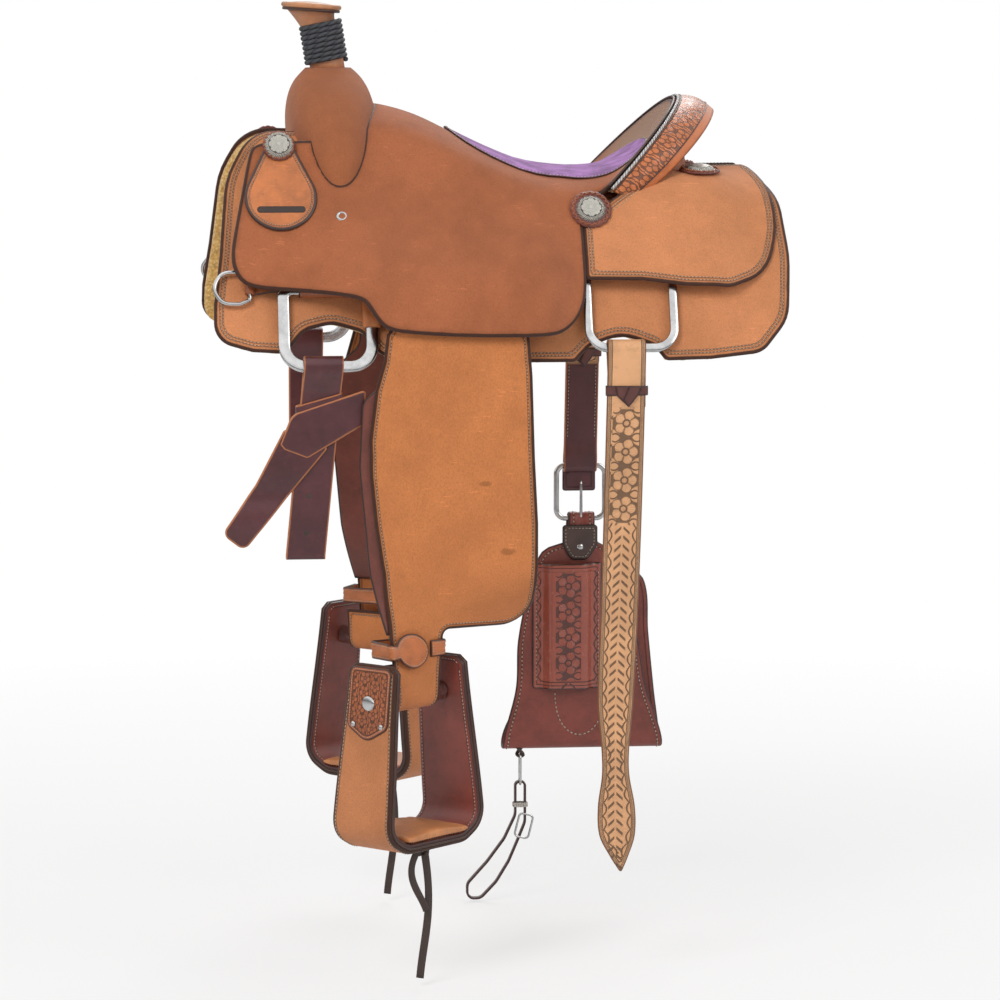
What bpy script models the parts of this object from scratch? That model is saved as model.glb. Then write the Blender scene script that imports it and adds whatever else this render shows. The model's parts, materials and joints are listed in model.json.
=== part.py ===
"""A western roping saddle on its tree, with rigging, fenders, stirrups and back cinch.

Metres. +X runs to the rear of the saddle, the near (left) side is at -Y and +Z is up.
The origin lies on the middle plane, between the bars, at the height where they bear.
Side pieces are drawn for one side with w, the distance from the middle plane, and a
side of -1 (near) or +1 (off) turns w into Y.
"""

import math

import bmesh
import bpy
from mathutils import Matrix, Vector

OBJECT_NAME = "roping_saddle"
SIDES = (("near", -1), ("off", 1))

# Clearances
TOUCH = 0.0004
SLIDE = 0.0008

# Leather and padding thicknesses
SKIRT_LEATHER = 0.0050
SEAT_LEATHER = 0.0050
JOCKEY_LEATHER = 0.0045
FENDER_LEATHER = 0.0036
CANTLE_LEATHER = 0.0030
STIRRUP_LEATHER = 0.0030
FLEECE_DEPTH = 0.0150
BAR_DEPTH = 0.0165

# Cross-section of the skirts: half width w at height z, and the ridge line along x
SPREAD = 0.06
SKIRT_FLANK = (
    (-0.19, 0.2390), (-0.15, 0.2275), (-0.12, 0.2175), (-0.09, 0.2065), (-0.06, 0.1945),
    (-0.03, 0.1795), (0.0, 0.160), (0.03, 0.141), (0.06, 0.123), (0.09, 0.106),
    (0.12, 0.090), (0.15, 0.075), (0.18, 0.060),
)
SKIRT_RIDGE = (
    (-0.40, 0.150), (-0.30, 0.150), (-0.22, 0.138), (-0.10, 0.100), (0.05, 0.078),
    (0.20, 0.079), (0.36, 0.080),
)
SKIRT_SHOULDER = 0.050

# Cross-section of the seat and its jockeys, outer face
SEAT_FLANK = (
    (-0.19, 0.2735), (-0.12, 0.2735), (-0.065, 0.2727), (-0.045, 0.2660), (-0.02, 0.2400),
    (0.0, 0.214), (0.03, 0.184), (0.06, 0.160), (0.085, 0.144), (0.11, 0.129),
    (0.14, 0.106), (0.18, 0.066),
)
SEAT_RIDGE = (
    (-0.36, 0.168), (-0.155, 0.166), (-0.127, 0.156), (-0.095, 0.149), (-0.057, 0.126),
    (0.013, 0.095), (0.05, 0.087), (0.083, 0.084),
)
SEAT_SHOULDER = 0.036
JOCKEY_LIFT_HIGH = 0.0345
JOCKEY_LIFT_LOW = 0.0300
FENDER_ZONE = (-0.250, -0.185, 0.020, 0.082)

# Seat outline: ribs from the top to the bottom edge, x and z
SEAT_RIBS = (
    (-0.322, 0.112, -0.3500, -0.0150),
    (-0.316, 0.1165, -0.3440, -0.0380),
    (-0.306, 0.120, -0.3300, -0.0505),
    (-0.290, 0.122, -0.3050, -0.0540),
    (-0.250, 0.122, -0.2550, -0.0570),
    (-0.205, 0.124, -0.2040, -0.0605),
    (-0.188, 0.130, -0.1880, -0.0660),
    (-0.176, 0.133, -0.1760, -0.0900),
    (-0.164, 0.132, -0.1640, -0.1010),
    (-0.145, 0.126, -0.1450, -0.1045),
    (-0.105, 0.112, -0.1050, -0.1080),
    (-0.060, 0.096, -0.0600, -0.1100),
    (-0.010, 0.075, -0.0100, -0.1105),
    (0.028, 0.063, 0.0280, -0.1100),
    (0.050, 0.058, 0.0500, -0.1080),
    (0.068, 0.056, 0.0680, -0.0950),
    (0.078, 0.055, 0.0780, -0.0780),
    (0.083, 0.055, 0.0830, -0.0600),
)
SEAT_FIRST_RIDGE_RIB = 7
SEAT_TOP_ROWS = 5
SEAT_SIDE_ROWS = 4
SEAT_ROW_Q = 0.93

# Cantle
CANTLE_HALF_WIDTH = 0.152
CANTLE_END = (0.108, 0.055)
CANTLE_TOP = (0.219, 0.172)
CANTLE_DISH_ROWS = 5
ROLL_WIDTH = 0.047
ROLL_END_WIDTH = 0.016
ROLL_THICKNESS = 0.009
ROLL_DIRECTION = (0.80, -0.60)
ROLL_BULGE = 0.008
CANTLE_BACK_FOOT_X = 0.236

INLAY_LIFT = 0.0016
INLAY_LEATHER = 0.0016
CANTLE_GAP = 0.0013
ROLL_TURN = math.radians(85.0)

# Swell (fork): height, half length, half width, centre x
SWELL = (
    (0.020, 0.030, 0.138, -0.212),
    (0.050, 0.036, 0.148, -0.212),
    (0.066, 0.043, 0.153, -0.212),
    (0.085, 0.050, 0.153, -0.2125),
    (0.110, 0.055, 0.146, -0.2135),
    (0.135, 0.0565, 0.131, -0.2145),
    (0.158, 0.0555, 0.110, -0.2155),
    (0.178, 0.051, 0.086, -0.2165),
    (0.193, 0.044, 0.060, -0.217),
    (0.203, 0.036, 0.040, -0.217),
    (0.210, 0.0285, 0.0285, -0.2175),
)
SWELL_SIDES = 16
SWELL_POWER = 2.3
SWELL_LEATHER = 0.0045

# Horn
HORN_FOOT = (-0.2175, 0.0, 0.2045)
HORN_LEAN = math.radians(9.0)
HORN_NECK_RADIUS = 0.0215
HORN_NECK_LENGTH = 0.072
HORN_POST_DEPTH = 0.022
HORN_CAP_RADIUS = 0.0375
HORN_CAP_THICKNESS = 0.009
HORN_CAP_TILT = math.radians(-13.0)
HORN_CAP_FORWARD = 0.009
WRAP_CORD = 0.0054
WRAP_TURNS = 8
WRAP_FIRST_HEIGHT = 0.0125
WRAP_PITCH = 0.0061
WRAP_CLEAR = 0.0016

# Fender, and the strap end that turns round the stirrup bolt
FENDER_FACE = 0.2570
FENDER_OUTLINE = (
    (-0.1640, -0.108), (-0.1500, -0.090, 0.02), (-0.1200, -0.078, 0.02),
    (-0.0300, -0.078, 0.02), (-0.0050, -0.090, 0.02), (0.0080, -0.108),
    (0.0120, -0.160), (0.0150, -0.260), (0.0190, -0.340), (0.0190, -0.390),
    (0.0150, -0.4700, 0.035), (-0.0985, -0.4700, 0.010), (-0.0990, -0.520),
    (-0.0990, -0.636), (-0.1770, -0.636), (-0.1770, -0.520), (-0.1700, -0.460),
    (-0.1700, -0.400), (-0.1790, -0.340), (-0.1850, -0.280), (-0.1855, -0.235),
    (-0.1780, -0.175), (-0.1680, -0.140),
)
LEG_CENTRE_X = -0.1380
BOLT_Z = -0.5520
LEG_TURN_RADIUS = 0.0145
TWIST = math.radians(45.0)
TWIST_FROM_Z = -0.380
TWIST_TO_Z = -0.560

STIRRUP_LEATHER_WIDTH = 0.072
STIRRUP_LEATHER_TOP_Z = -0.080
FENDER_HINGE = (-0.1120, -0.1000)
STUD_RADIUS = 0.0090
STIRRUP_LEATHER_FRONT_X = -0.1960

HOBBLE_Z = -0.4930
HOBBLE_WIDTH = 0.020
HOBBLE_ROWS = (-0.4725, -0.4850, -0.4975, -0.5100)
HOBBLE_THICKNESS = 0.0030
HOBBLE_BULB_RADIUS = 0.021

# Stirrup, in its own frame: across the legs and down from the bolt
STIRRUP_TOP_ABOVE_BOLT = 0.046
STIRRUP_TOP_HALF_WIDTH = 0.062
STIRRUP_BOTTOM_HALF_WIDTH = 0.087
STIRRUP_DROP = 0.178
STIRRUP_CORNER_RADIUS = 0.040
STIRRUP_THICKNESS = 0.012
STIRRUP_TOP_DEPTH = 0.074
STIRRUP_BOTTOM_DEPTH = 0.090
TREAD_THICKNESS = 0.013
TREAD_PROUD = 0.003
TREAD_HALF_LENGTH = 0.060
BOLT_RADIUS = 0.0060
BOLT_SLEEVE_RADIUS = 0.0118
BOLT_HEAD_RADIUS = 0.0095
BOLT_HEAD = 0.0035

# Laces that hang under the treads
LACE_WIDTH = 0.0065
LACE_THICKNESS = 0.0025
LACE_LENGTH = 0.165

# Rigging dees: x range, hinge z, bottom z, plate width and thickness, lean
FRONT_DEE = {"x": (-0.294, -0.1725), "top": -0.064, "bottom": -0.158, "width": 0.0145,
             "corner": 0.034, "clear": 0.0054}
REAR_DEE = {"x": (0.080, 0.196), "top": -0.045, "bottom": -0.137, "width": 0.0105,
            "corner": 0.030, "clear": 0.0054}
DEE_THICKNESS = 0.0060
DEE_HINGE_RADIUS = 0.0040
DEE_TOP_CORNER = 0.010
RIG_PLATE = 0.0030
RIG_CLEAR = 0.0013
CHAPE_BORE = 0.0055
CHAPE_LEATHER = 0.0020
FRONT_CHAPE_X = (-0.268, -0.198)
REAR_CHAPE_X = (0.105, 0.171)
RIG_OUTLINE = (
    (-0.331, -0.052), (-0.300, -0.036), (-0.230, -0.036), (0.060, -0.036),
    (0.200, -0.036, 0.003), (0.200, -0.0435, 0.003), (0.078, -0.0435, 0.01),
    (0.062, -0.085, 0.02), (-0.060, -0.118, 0.03), (-0.150, -0.118, 0.02),
    (-0.166, -0.0635, 0.01), (-0.300, -0.0625, 0.01), (-0.331, -0.067, 0.002),
)

# Breast collar dee: its straight bar, and its outline forward of that
BREAST_DEE_AT = (-0.3270, -0.0590)
BREAST_DEE_ROD = 0.0050
BREAST_DEE_OUT = 0.0122
BREAST_CHAPE_BORE = 0.0040
BREAST_DEE_OUTLINE = (
    (0.0, 0.0150, 0.004), (0.0120, 0.0205, 0.010), (0.0330, 0.0200, 0.016),
    (0.0460, 0.0, 0.022), (0.0330, -0.0200, 0.016), (0.0120, -0.0205, 0.010),
    (0.0, -0.0150, 0.004),
)

# Straps that hang from the dees: thickness and the bore of their loops
LATIGO_THICKNESS = 0.0040
LATIGO_WIDTH = 0.0480
LATIGO_X = -0.2400
LATIGO_LOW = (-0.2630, -0.3780)
LATIGO_LOOP_BORE = 0.0088
LATIGO_HALF_GAP = 0.0028
OFF_BILLET_WIDTH = 0.0450
OFF_BILLET_LOW_Z = -0.3450
BILLET_THICKNESS = 0.0038
BILLET_LOOP_BORE = 0.0066
NEAR_BILLET_LAP_Z = -0.2000
NEAR_BILLET_HALF_WIDTH = 0.0230
NEAR_BILLET_ROWS = (
    (-0.3000, 0.0230, -0.0040),
    (-0.4500, 0.0225, -0.0085), (-0.5620, 0.0215, -0.0130), (-0.6250, 0.0165, -0.0130),
    (-0.6550, 0.0165, -0.0125), (-0.6950, 0.0225, -0.0115), (-0.7300, 0.0215, -0.0105),
    (-0.7560, 0.0110, -0.0080), (-0.7750, 0.0010, -0.0060),
)
BILLET_X = 0.1300
OFF_REAR_BILLET_X = 0.1360
OFF_REAR_BILLET_WIDTH = 0.0440

# Back cinch, its buckle, safe, keeper, snap and connector strap
BUCKLE_X = (0.0970, 0.1690)
BUCKLE_Z = (-0.3180, -0.3960)
BUCKLE_BAR = 0.0070
BUCKLE_THICKNESS = 0.0050
BUCKLE_LOOP_BORE = 0.0050
TONGUE_WIDTH = 0.0060
TONGUE_THICKNESS = 0.0016
CINCH_THICKNESS = 0.0038
CINCH_FOLD_Z = -0.7020
CINCH_ROWS = (
    (-0.4220, 0.0200, 0.000), (-0.4340, 0.0440, -0.006), (-0.4800, 0.0620, -0.006),
    (-0.5550, 0.0800, -0.004), (-0.6200, 0.0870, 0.000), (-0.6880, 0.1060, 0.003),
)
CINCH_BACK_ROWS = (
    (-0.6880, 0.1060, 0.003), (-0.6300, 0.0900, 0.012), (-0.5500, 0.0800, 0.014),
    (-0.4800, 0.0780, 0.010), (-0.4530, 0.0500, 0.010),
)
CINCH_BACK_STAND = 0.0180
KEEPER_X = (0.0680, 0.1600)
KEEPER_Z = (-0.4520, -0.6200)
KEEPER_THICKNESS = 0.0032
KEEPER_RISE = 0.0130
SAFE_THICKNESS = 0.0030
SNAP_X = 0.0525
SNAP_LUG = 0.0140
SNAP_WIRE = 0.0030
SNAP_HEIGHT = 0.0420
SNAP_WIDTH = 0.0150
CONNECTOR_WIDTH = 0.0092
CONNECTOR_THICKNESS = 0.0030
CONNECTOR_PATH = (
    (0.0000, 0.0053, 0.006), (0.0130, 0.0053, 0.006), (0.0130, -0.0500, 0.02),
    (0.0050, -0.0700, 0.02), (-0.0090, -0.1030, 0.03), (-0.0260, -0.1310, 0.03),
    (-0.0470, -0.1530, 0.012), (-0.0650, -0.1530, 0.012), (-0.0650, -0.1330, 0.012),
    (-0.0380, -0.1030, 0.03), (-0.0150, -0.0720, 0.03), (0.0000, -0.0400, 0.02),
)

# Skirt and fleece outline, x and z, with corner radii
SKIRT_OUTLINE = (
    (-0.245, 0.128), (-0.320, 0.1305, 0.06), (-0.352, 0.075, 0.10), (-0.362, -0.020),
    (-0.370, -0.075), (-0.371, -0.118, 0.03), (-0.325, -0.131, 0.03), (-0.290, -0.133),
    (-0.279, -0.1265), (-0.262, -0.106, 0.03), (-0.228, -0.0985, 0.03), (-0.192, -0.108, 0.02),
    (-0.170, -0.135, 0.02), (-0.130, -0.1455, 0.03), (0.068, -0.1455, 0.008),
    (0.086, -0.127, 0.02), (0.127, -0.113, 0.05), (0.166, -0.127, 0.02),
    (0.180, -0.1445, 0.01), (0.236, -0.1430), (0.300, -0.1360, 0.03), (0.334, -0.096, 0.05),
    (0.3405, -0.020, 0.15), (0.334, 0.050, 0.06), (0.3080, 0.0785, 0.012),
    (0.1750, 0.0785), (0.080, 0.050), (-0.060, 0.055), (-0.170, 0.100),
)
REAR_JOCKEY_OUTLINE = (
    (0.0838, -0.0560), (0.152, -0.0570), (0.205, -0.0630), (0.262, -0.0645, 0.04),
    (0.312, -0.0420, 0.06), (0.3275, 0.010, 0.08), (0.3240, 0.055, 0.05),
    (0.3080, 0.0780, 0.010), (0.2250, 0.0770), (0.1900, 0.0660), (0.150, 0.0430),
    (0.110, 0.0270), (0.0838, 0.0200),
)
BAR_OUTLINE = (
    (-0.300, 0.060, 0.02), (-0.296, 0.106, 0.02), (-0.225, 0.106, 0.02), (-0.120, 0.058, 0.05),
    (0.060, 0.026, 0.05), (0.150, 0.036, 0.04), (0.226, 0.040, 0.02), (0.230, 0.005, 0.02),
    (0.150, -0.012, 0.05), (-0.060, -0.028, 0.06), (-0.200, -0.012, 0.05), (-0.292, 0.022, 0.02),
)


def blend_step(low, high, value):
    """0 below low, 1 above high and a smooth rise between."""
    t = min(1.0, max(0.0, (value - low) / (high - low)))
    return t * t * (3.0 - 2.0 * t)


def smooth_table(table, at):
    """The value at a place in a rising table of pairs, by a smooth curve through them."""
    if at <= table[0][0]:
        return table[0][1]
    if at >= table[-1][0]:
        return table[-1][1]
    last = len(table) - 1
    i = next(k for k in range(last) if at <= table[k + 1][0])

    def slope(k):
        a, b = table[max(0, k - 1)], table[min(last, k + 1)]
        return (b[1] - a[1]) / (b[0] - a[0])

    (x0, y0), (x1, y1) = table[i], table[i + 1]
    span = x1 - x0
    t = (at - x0) / span
    return (
        (2 * t**3 - 3 * t**2 + 1) * y0
        + (t**3 - 2 * t**2 + t) * span * slope(i)
        + (3 * t**2 - 2 * t**3) * y1
        + (t**3 - t**2) * span * slope(i + 1)
    )


def fillet(corners, closed=True, arc_step=math.radians(24.0)):
    """Points of an outline or track: corners of (a, b) or (a, b, radius), with arcs."""
    count = len(corners)
    points = []
    for i, corner in enumerate(corners):
        here = Vector(corner[:2])
        radius = corner[2] if len(corner) > 2 else 0.0
        if radius == 0.0 or (not closed and i in (0, count - 1)):
            points.append(here)
            continue
        back = Vector(corners[i - 1][:2]) - here
        ahead = Vector(corners[(i + 1) % count][:2]) - here
        turn = math.pi - back.angle(ahead)
        if turn < math.radians(2.0):
            points.append(here)
            continue
        reach = radius * math.tan(turn / 2.0)
        most = 0.49 * min(back.length, ahead.length)
        if reach > most:
            radius *= most / reach
            reach = most
        start = here + back.normalized() * reach
        middle = (back.normalized() + ahead.normalized()).normalized()
        centre = here + middle * math.hypot(radius, reach)
        steps = max(2, round(turn / arc_step))
        arm = start - centre
        sweep = turn if back.x * ahead.y - back.y * ahead.x < 0.0 else -turn
        for k in range(steps + 1):
            angle = sweep * k / steps
            points.append(centre + Matrix.Rotation(angle, 2) @ arm)
    return points


def refine(points, step, closed=True):
    """Adds points so that no edge is longer than step."""
    fine = []
    pairs = list(zip(points, points[1:]))
    if closed:
        pairs.append((points[-1], points[0]))
    for a, b in pairs:
        parts = max(1, math.ceil((b - a).length / step - 1e-6))
        fine += [a.lerp(b, k / parts) for k in range(parts)]
    return fine if closed else fine + [points[-1]]


def inset(points, distance):
    """The outline drawn in by distance, with as many points."""
    count = len(points)
    area = sum(points[i - 1].cross(points[i]) for i in range(count))
    inward = 1.0 if area > 0.0 else -1.0
    drawn = []
    for i in range(count):
        along = (points[(i + 1) % count] - points[i - 1]).normalized()
        drawn.append(points[i] + Vector((-along.y, along.x)) * inward * distance)
    return drawn


class Flank:
    """A leather surface that runs from a ridge line down a flank, and its offsets."""

    def __init__(self, flank, ridge, shoulder, lift=None):
        self.flank = flank
        self.ridge = ridge
        self.shoulder = shoulder
        self.lift = lift

    def q(self, x, z):
        """How far down the section a height lies: 0 on the ridge, 1 at the shoulder."""
        down = smooth_table(self.ridge, x) - z
        return math.sqrt(max(0.0, down) / self.shoulder)

    def raw(self, x, q):
        z = smooth_table(self.ridge, x) - self.shoulder * q * q
        w = smooth_table(self.flank, z) * (1.0 + SPREAD * x)
        if self.lift:
            w = self.lift(x, z, w)
        if q < 1.0:
            w *= q * math.sqrt(2.0 - q * q)
        return w, z

    def at(self, x, q, out=0.0):
        """The point (x, w, z) that lies out from the surface, along its normal."""
        w, z = self.raw(x, q)
        if out:
            step = 0.004
            w0, z0 = self.raw(x, max(0.0, q - step))
            w1, z1 = self.raw(x, q + step)
            length = math.hypot(w1 - w0, z1 - z0)
            w += out * (z0 - z1) / length
            z += out * (w1 - w0) / length
        return Vector((x, w, z))

    def normal(self, x, q):
        return (self.at(x, q, 0.001) - self.at(x, q)).normalized()


def seat_lift(x, z, w):
    """Before and behind the fender the jockey lies closer to the skirt."""
    front0, front1, rear0, rear1 = FENDER_ZONE
    stand_off = blend_step(front0, front1, x) * (1.0 - blend_step(rear0, rear1, x))
    high = blend_step(-0.065, -0.030, z)
    lift = JOCKEY_LIFT_LOW + (JOCKEY_LIFT_HIGH - JOCKEY_LIFT_LOW) * high
    close = smooth_table(SKIRT_FLANK, z) * (1.0 + SPREAD * x) + lift
    return w + (close - w) * (1.0 - stand_off)


SKIRT_BED = Flank(SKIRT_FLANK, SKIRT_RIDGE, SKIRT_SHOULDER)
SEAT_BED = Flank(SEAT_FLANK, SEAT_RIDGE, SEAT_SHOULDER, seat_lift)

# How far pieces lie from the bed of the skirts
BAR_IN = SKIRT_LEATHER + SLIDE
BAR_OUT = BAR_IN + BAR_DEPTH
RIG_IN = SKIRT_LEATHER + RIG_CLEAR
RIG_OUT = RIG_IN + RIG_PLATE


def rear_jockey_out(x, q):
    """The rear jockey swells over the bar's end and the dee, and lies on the skirt past it."""
    over_bar = blend_step(0.30, 0.75, q) * (1.0 - blend_step(0.240, 0.312, x))
    return SKIRT_LEATHER + SLIDE + (BAR_DEPTH + 2.0 * SLIDE) * over_bar


class Track:
    """A path of (w, z) points with arcs, read by the distance along it."""

    def __init__(self, corners, arc_step=math.radians(24.0)):
        self.points = fillet(corners, closed=False, arc_step=arc_step)
        self.places = [0.0]
        for a, b in zip(self.points, self.points[1:]):
            self.places.append(self.places[-1] + (b - a).length)
        self.length = self.places[-1]

    def normal_at(self, i):
        a = self.points[max(0, i - 1)]
        b = self.points[min(len(self.points) - 1, i + 1)]
        along = (b - a).normalized()
        if 0 < i < len(self.points) - 1:
            ahead = (self.points[i + 1] - self.points[i]).normalized()
            back = (self.points[i] - self.points[i - 1]).normalized()
            along = (ahead + back).normalized()
            stretch = 1.0 / max(0.5, along.dot(ahead))
        else:
            stretch = 1.0
        return Vector((-along.y, along.x)) * stretch

    def at(self, s, out):
        s = min(max(s, 0.0), self.length)
        i = next(k for k in range(len(self.places) - 1) if s <= self.places[k + 1] + 1e-9)
        t = (s - self.places[i]) / (self.places[i + 1] - self.places[i])
        place = self.points[i].lerp(self.points[i + 1], t)
        normal = self.normal_at(i).lerp(self.normal_at(i + 1), t)
        return place + normal * out


MATERIALS = {}


def material(name, colour, roughness, metallic=0.0):
    if name not in MATERIALS:
        made = bpy.data.materials.new(name)
        made.use_nodes = True
        shader = made.node_tree.nodes["Principled BSDF"]
        shader.inputs["Base Color"].default_value = (*colour, 1.0)
        shader.inputs["Roughness"].default_value = roughness
        shader.inputs["Metallic"].default_value = metallic
        made.diffuse_color = (*colour, 1.0)
        MATERIALS[name] = made
    return MATERIALS[name]


def rough_out():
    return material("rough_out_leather", (0.56, 0.27, 0.12), 0.9)


def smooth_leather():
    return material("smooth_leather", (0.58, 0.21, 0.06), 0.45)


def natural_leather():
    return material("natural_leather", (0.80, 0.52, 0.27), 0.5)


def burgundy_leather():
    return material("burgundy_leather", (0.13, 0.03, 0.035), 0.5)


def bright_metal():
    return material("stainless_steel", (0.75, 0.75, 0.74), 0.2, 1.0)


def silver():
    return material("antique_silver", (0.62, 0.61, 0.56), 0.35, 1.0)


def wood():
    return material("tree_wood", (0.72, 0.60, 0.42), 0.7)


def fleece_wool():
    return material("fleece_wool", (0.72, 0.46, 0.14), 0.95)


def new_object(name, mesh, finish, cutter=False):
    made = bpy.data.objects.new(name, mesh)
    if finish:
        mesh.materials.append(finish)
    place = CUTTERS if cutter else PARTS
    place.objects.link(made)
    if cutter:
        made.hide_render = True
        made.display_type = "WIRE"
    return made


def mesh_from(bm, name):
    bmesh.ops.recalc_face_normals(bm, faces=bm.faces)
    mesh = bpy.data.meshes.new(name)
    bm.to_mesh(mesh)
    bm.free()
    return mesh


def panel(name, outline, place, finish, cuts_a=(), cuts_b=(), side=1, cutter=False):
    """A sheet of leather: a flat outline, cut into strips, with both faces placed.

    place(a, b, face) gives the point (x, w, z) of the inner (0) or outer (1) face.
    """
    flat = bmesh.new()
    ring = [flat.verts.new((p.x, p.y, 0.0)) for p in outline]
    flat.faces.new(ring)
    for axis, cuts in ((0, cuts_a), (1, cuts_b)):
        for cut in cuts:
            at, across = Vector((0.0, 0.0, 0.0)), Vector((0.0, 0.0, 0.0))
            at[axis], across[axis] = cut, 1.0
            whole = flat.verts[:] + flat.edges[:] + flat.faces[:]
            bmesh.ops.bisect_plane(flat, geom=whole, plane_co=at, plane_no=across, dist=1e-6)
    bmesh.ops.triangulate(flat, faces=flat.faces[:])
    flat.verts.index_update()
    bm = bmesh.new()
    faces = []
    for face in (0, 1):
        placed = []
        for v in flat.verts:
            x, w, z = place(v.co.x, v.co.y, face)
            placed.append(bm.verts.new((x, side * w, z)))
        faces.append(placed)
    for f in flat.faces:
        loop = [v.index for v in f.verts]
        bm.faces.new([faces[1][i] for i in loop])
        bm.faces.new([faces[0][i] for i in reversed(loop)])
    for e in flat.edges:
        if e.is_boundary:
            i, j = (v.index for v in e.verts)
            bm.faces.new((faces[0][i], faces[0][j], faces[1][j], faces[1][i]))
    flat.free()
    return new_object(name, mesh_from(bm, name), finish, cutter)


def grid(values, step):
    """The multiples of step that lie inside the values, so that layers share their facets."""
    first = math.floor(min(values) / step) + 1
    last = math.ceil(max(values) / step)
    return [k * step for k in range(first, last)]


def flank_panel(name, bed, corners, inner, outer, finish, side, draw_in=0.0,
                step_x=0.09, step_q=0.25, edge_step=0.09, arc_step=math.radians(42.0)):
    """A panel that lies on a flank, drawn as it shows from the side: x and z."""
    points = refine(fillet(corners, True, arc_step), edge_step)
    if draw_in:
        points = inset(points, draw_in)
    least_q = 0.014
    outline = [Vector((p.x, max(least_q, bed.q(p.x, p.y)))) for p in points]
    xs, qs = [p.x for p in outline], [p.y for p in outline]

    def place(a, b, face):
        out = outer if face else inner
        return bed.at(a, b, out(a, b) if callable(out) else out)

    return panel(name, outline, place, finish, grid(xs, step_x), grid(qs, step_q), side)


def strap(name, widths, track, thickness, finish, side, centre_x, shift=None):
    """A strap along a track: widths are (distance along, half width) or with an x shift."""
    right = [Vector((row[1] + (row[2] if len(row) > 2 else 0.0), row[0])) for row in widths]
    left = [Vector((-row[1] + (row[2] if len(row) > 2 else 0.0), row[0])) for row in widths]
    outline = right + left[::-1]

    def place(a, b, face):
        at = track.at(b, thickness * (0.5 if face else -0.5))
        x, w, z = centre_x + a, at.x, at.y
        return shift(x, w, z) if shift else (x, w, z)

    cuts = [s for s in track.places[1:-1]]
    return panel(name, outline, place, finish, (), cuts, side)


def ring_plate(name, outer, inner, place, thickness, finish, side=1, cutter=False):
    """A flat ring between two outlines of as many points."""
    bm = bmesh.new()
    layers = []
    for depth in (-thickness / 2.0, thickness / 2.0):
        for outline in (outer, inner):
            made = []
            for p in outline:
                x, w, z = place(p.x, p.y, depth)
                made.append(bm.verts.new((x, side * w, z)))
            layers.append(made)
    outer0, inner0, outer1, inner1 = layers
    count = len(outer)
    for i in range(count):
        j = (i + 1) % count
        bm.faces.new((outer0[i], outer0[j], inner0[j], inner0[i]))
        bm.faces.new((outer1[i], inner1[i], inner1[j], outer1[j]))
        bm.faces.new((outer0[i], outer1[i], outer1[j], outer0[j]))
        bm.faces.new((inner0[i], inner0[j], inner1[j], inner1[i]))
    return new_object(name, mesh_from(bm, name), finish, cutter)


def loft(name, rings, finish, side=1, cutter=False):
    """A closed solid through rings of as many (x, w, z) points, with flat ends."""
    bm = bmesh.new()
    made = [[bm.verts.new((x, side * w, z)) for x, w, z in ring] for ring in rings]
    count = len(made[0])
    for a, b in zip(made, made[1:]):
        for i in range(count):
            j = (i + 1) % count
            bm.faces.new((a[i], a[j], b[j], b[i]))
    bm.faces.new(made[0])
    bm.faces.new(made[-1][::-1])
    return new_object(name, mesh_from(bm, name), finish, cutter)


def as_cutter(piece):
    """Moves a piece to the cutters, where it isn't part of the saddle."""
    PARTS.objects.unlink(piece)
    CUTTERS.objects.link(piece)
    piece.hide_render = True
    piece.display_type = "WIRE"
    return piece


def cut(target, cutter, operation="DIFFERENCE", close_folds=False):
    change = target.modifiers.new(cutter.name, "BOOLEAN")
    change.operation = operation
    change.object = cutter
    change.solver = "EXACT"
    change.use_self = close_folds


def turned(name, profile, steps, finish, matrix, cutter=False):
    """A solid of revolution about the matrix's z axis: profile of (radius, height)."""
    bm = bmesh.new()
    rings = []
    for radius, height in profile:
        if radius == 0.0:
            rings.append([bm.verts.new((0.0, 0.0, height))])
            continue
        rings.append([
            bm.verts.new((
                radius * math.cos(2 * math.pi * k / steps),
                radius * math.sin(2 * math.pi * k / steps),
                height,
            ))
            for k in range(steps)
        ])
    for a, b in zip(rings, rings[1:]):
        for i in range(steps):
            j = (i + 1) % steps
            if len(a) == 1:
                bm.faces.new((a[0], b[i], b[j]))
            elif len(b) == 1:
                bm.faces.new((a[i], b[0], a[j]))
            else:
                bm.faces.new((a[i], b[i], b[j], a[j]))
    for ring in (rings[0], rings[-1]):
        if len(ring) > 1:
            bm.faces.new(ring)
    bmesh.ops.transform(bm, matrix=matrix, verts=bm.verts)
    return new_object(name, mesh_from(bm, name), finish, cutter)


def frame_on(point, normal, side):
    """A matrix at a side's surface point, with z along the outward normal."""
    out = Vector((normal.x, side * normal.y, normal.z)).normalized()
    across = Vector((1.0, 0.0, 0.0))
    across = (across - out * across.dot(out)).normalized()
    up = out.cross(across)
    turn = Matrix((across, up, out)).transposed().to_4x4()
    return Matrix.Translation((point.x, side * point.y, point.z)) @ turn


def seat_point(x, row, out=0.0):
    """A point of the seat's outer face: x along it, and rows from the ridge outward."""
    q = SEAT_ROW_Q * row / SEAT_TOP_ROWS
    return SEAT_BED.at(x, q, out)


def rim_point(turn):
    """The cantle's rim: turn is 0 at its top and 90 degrees at its ends."""
    share = math.cos(turn)
    x = CANTLE_END[0] + (CANTLE_TOP[0] - CANTLE_END[0]) * share
    z = CANTLE_END[1] + (CANTLE_TOP[1] - CANTLE_END[1]) * share
    return Vector((x, CANTLE_HALF_WIDTH * math.sin(turn), z))


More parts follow.
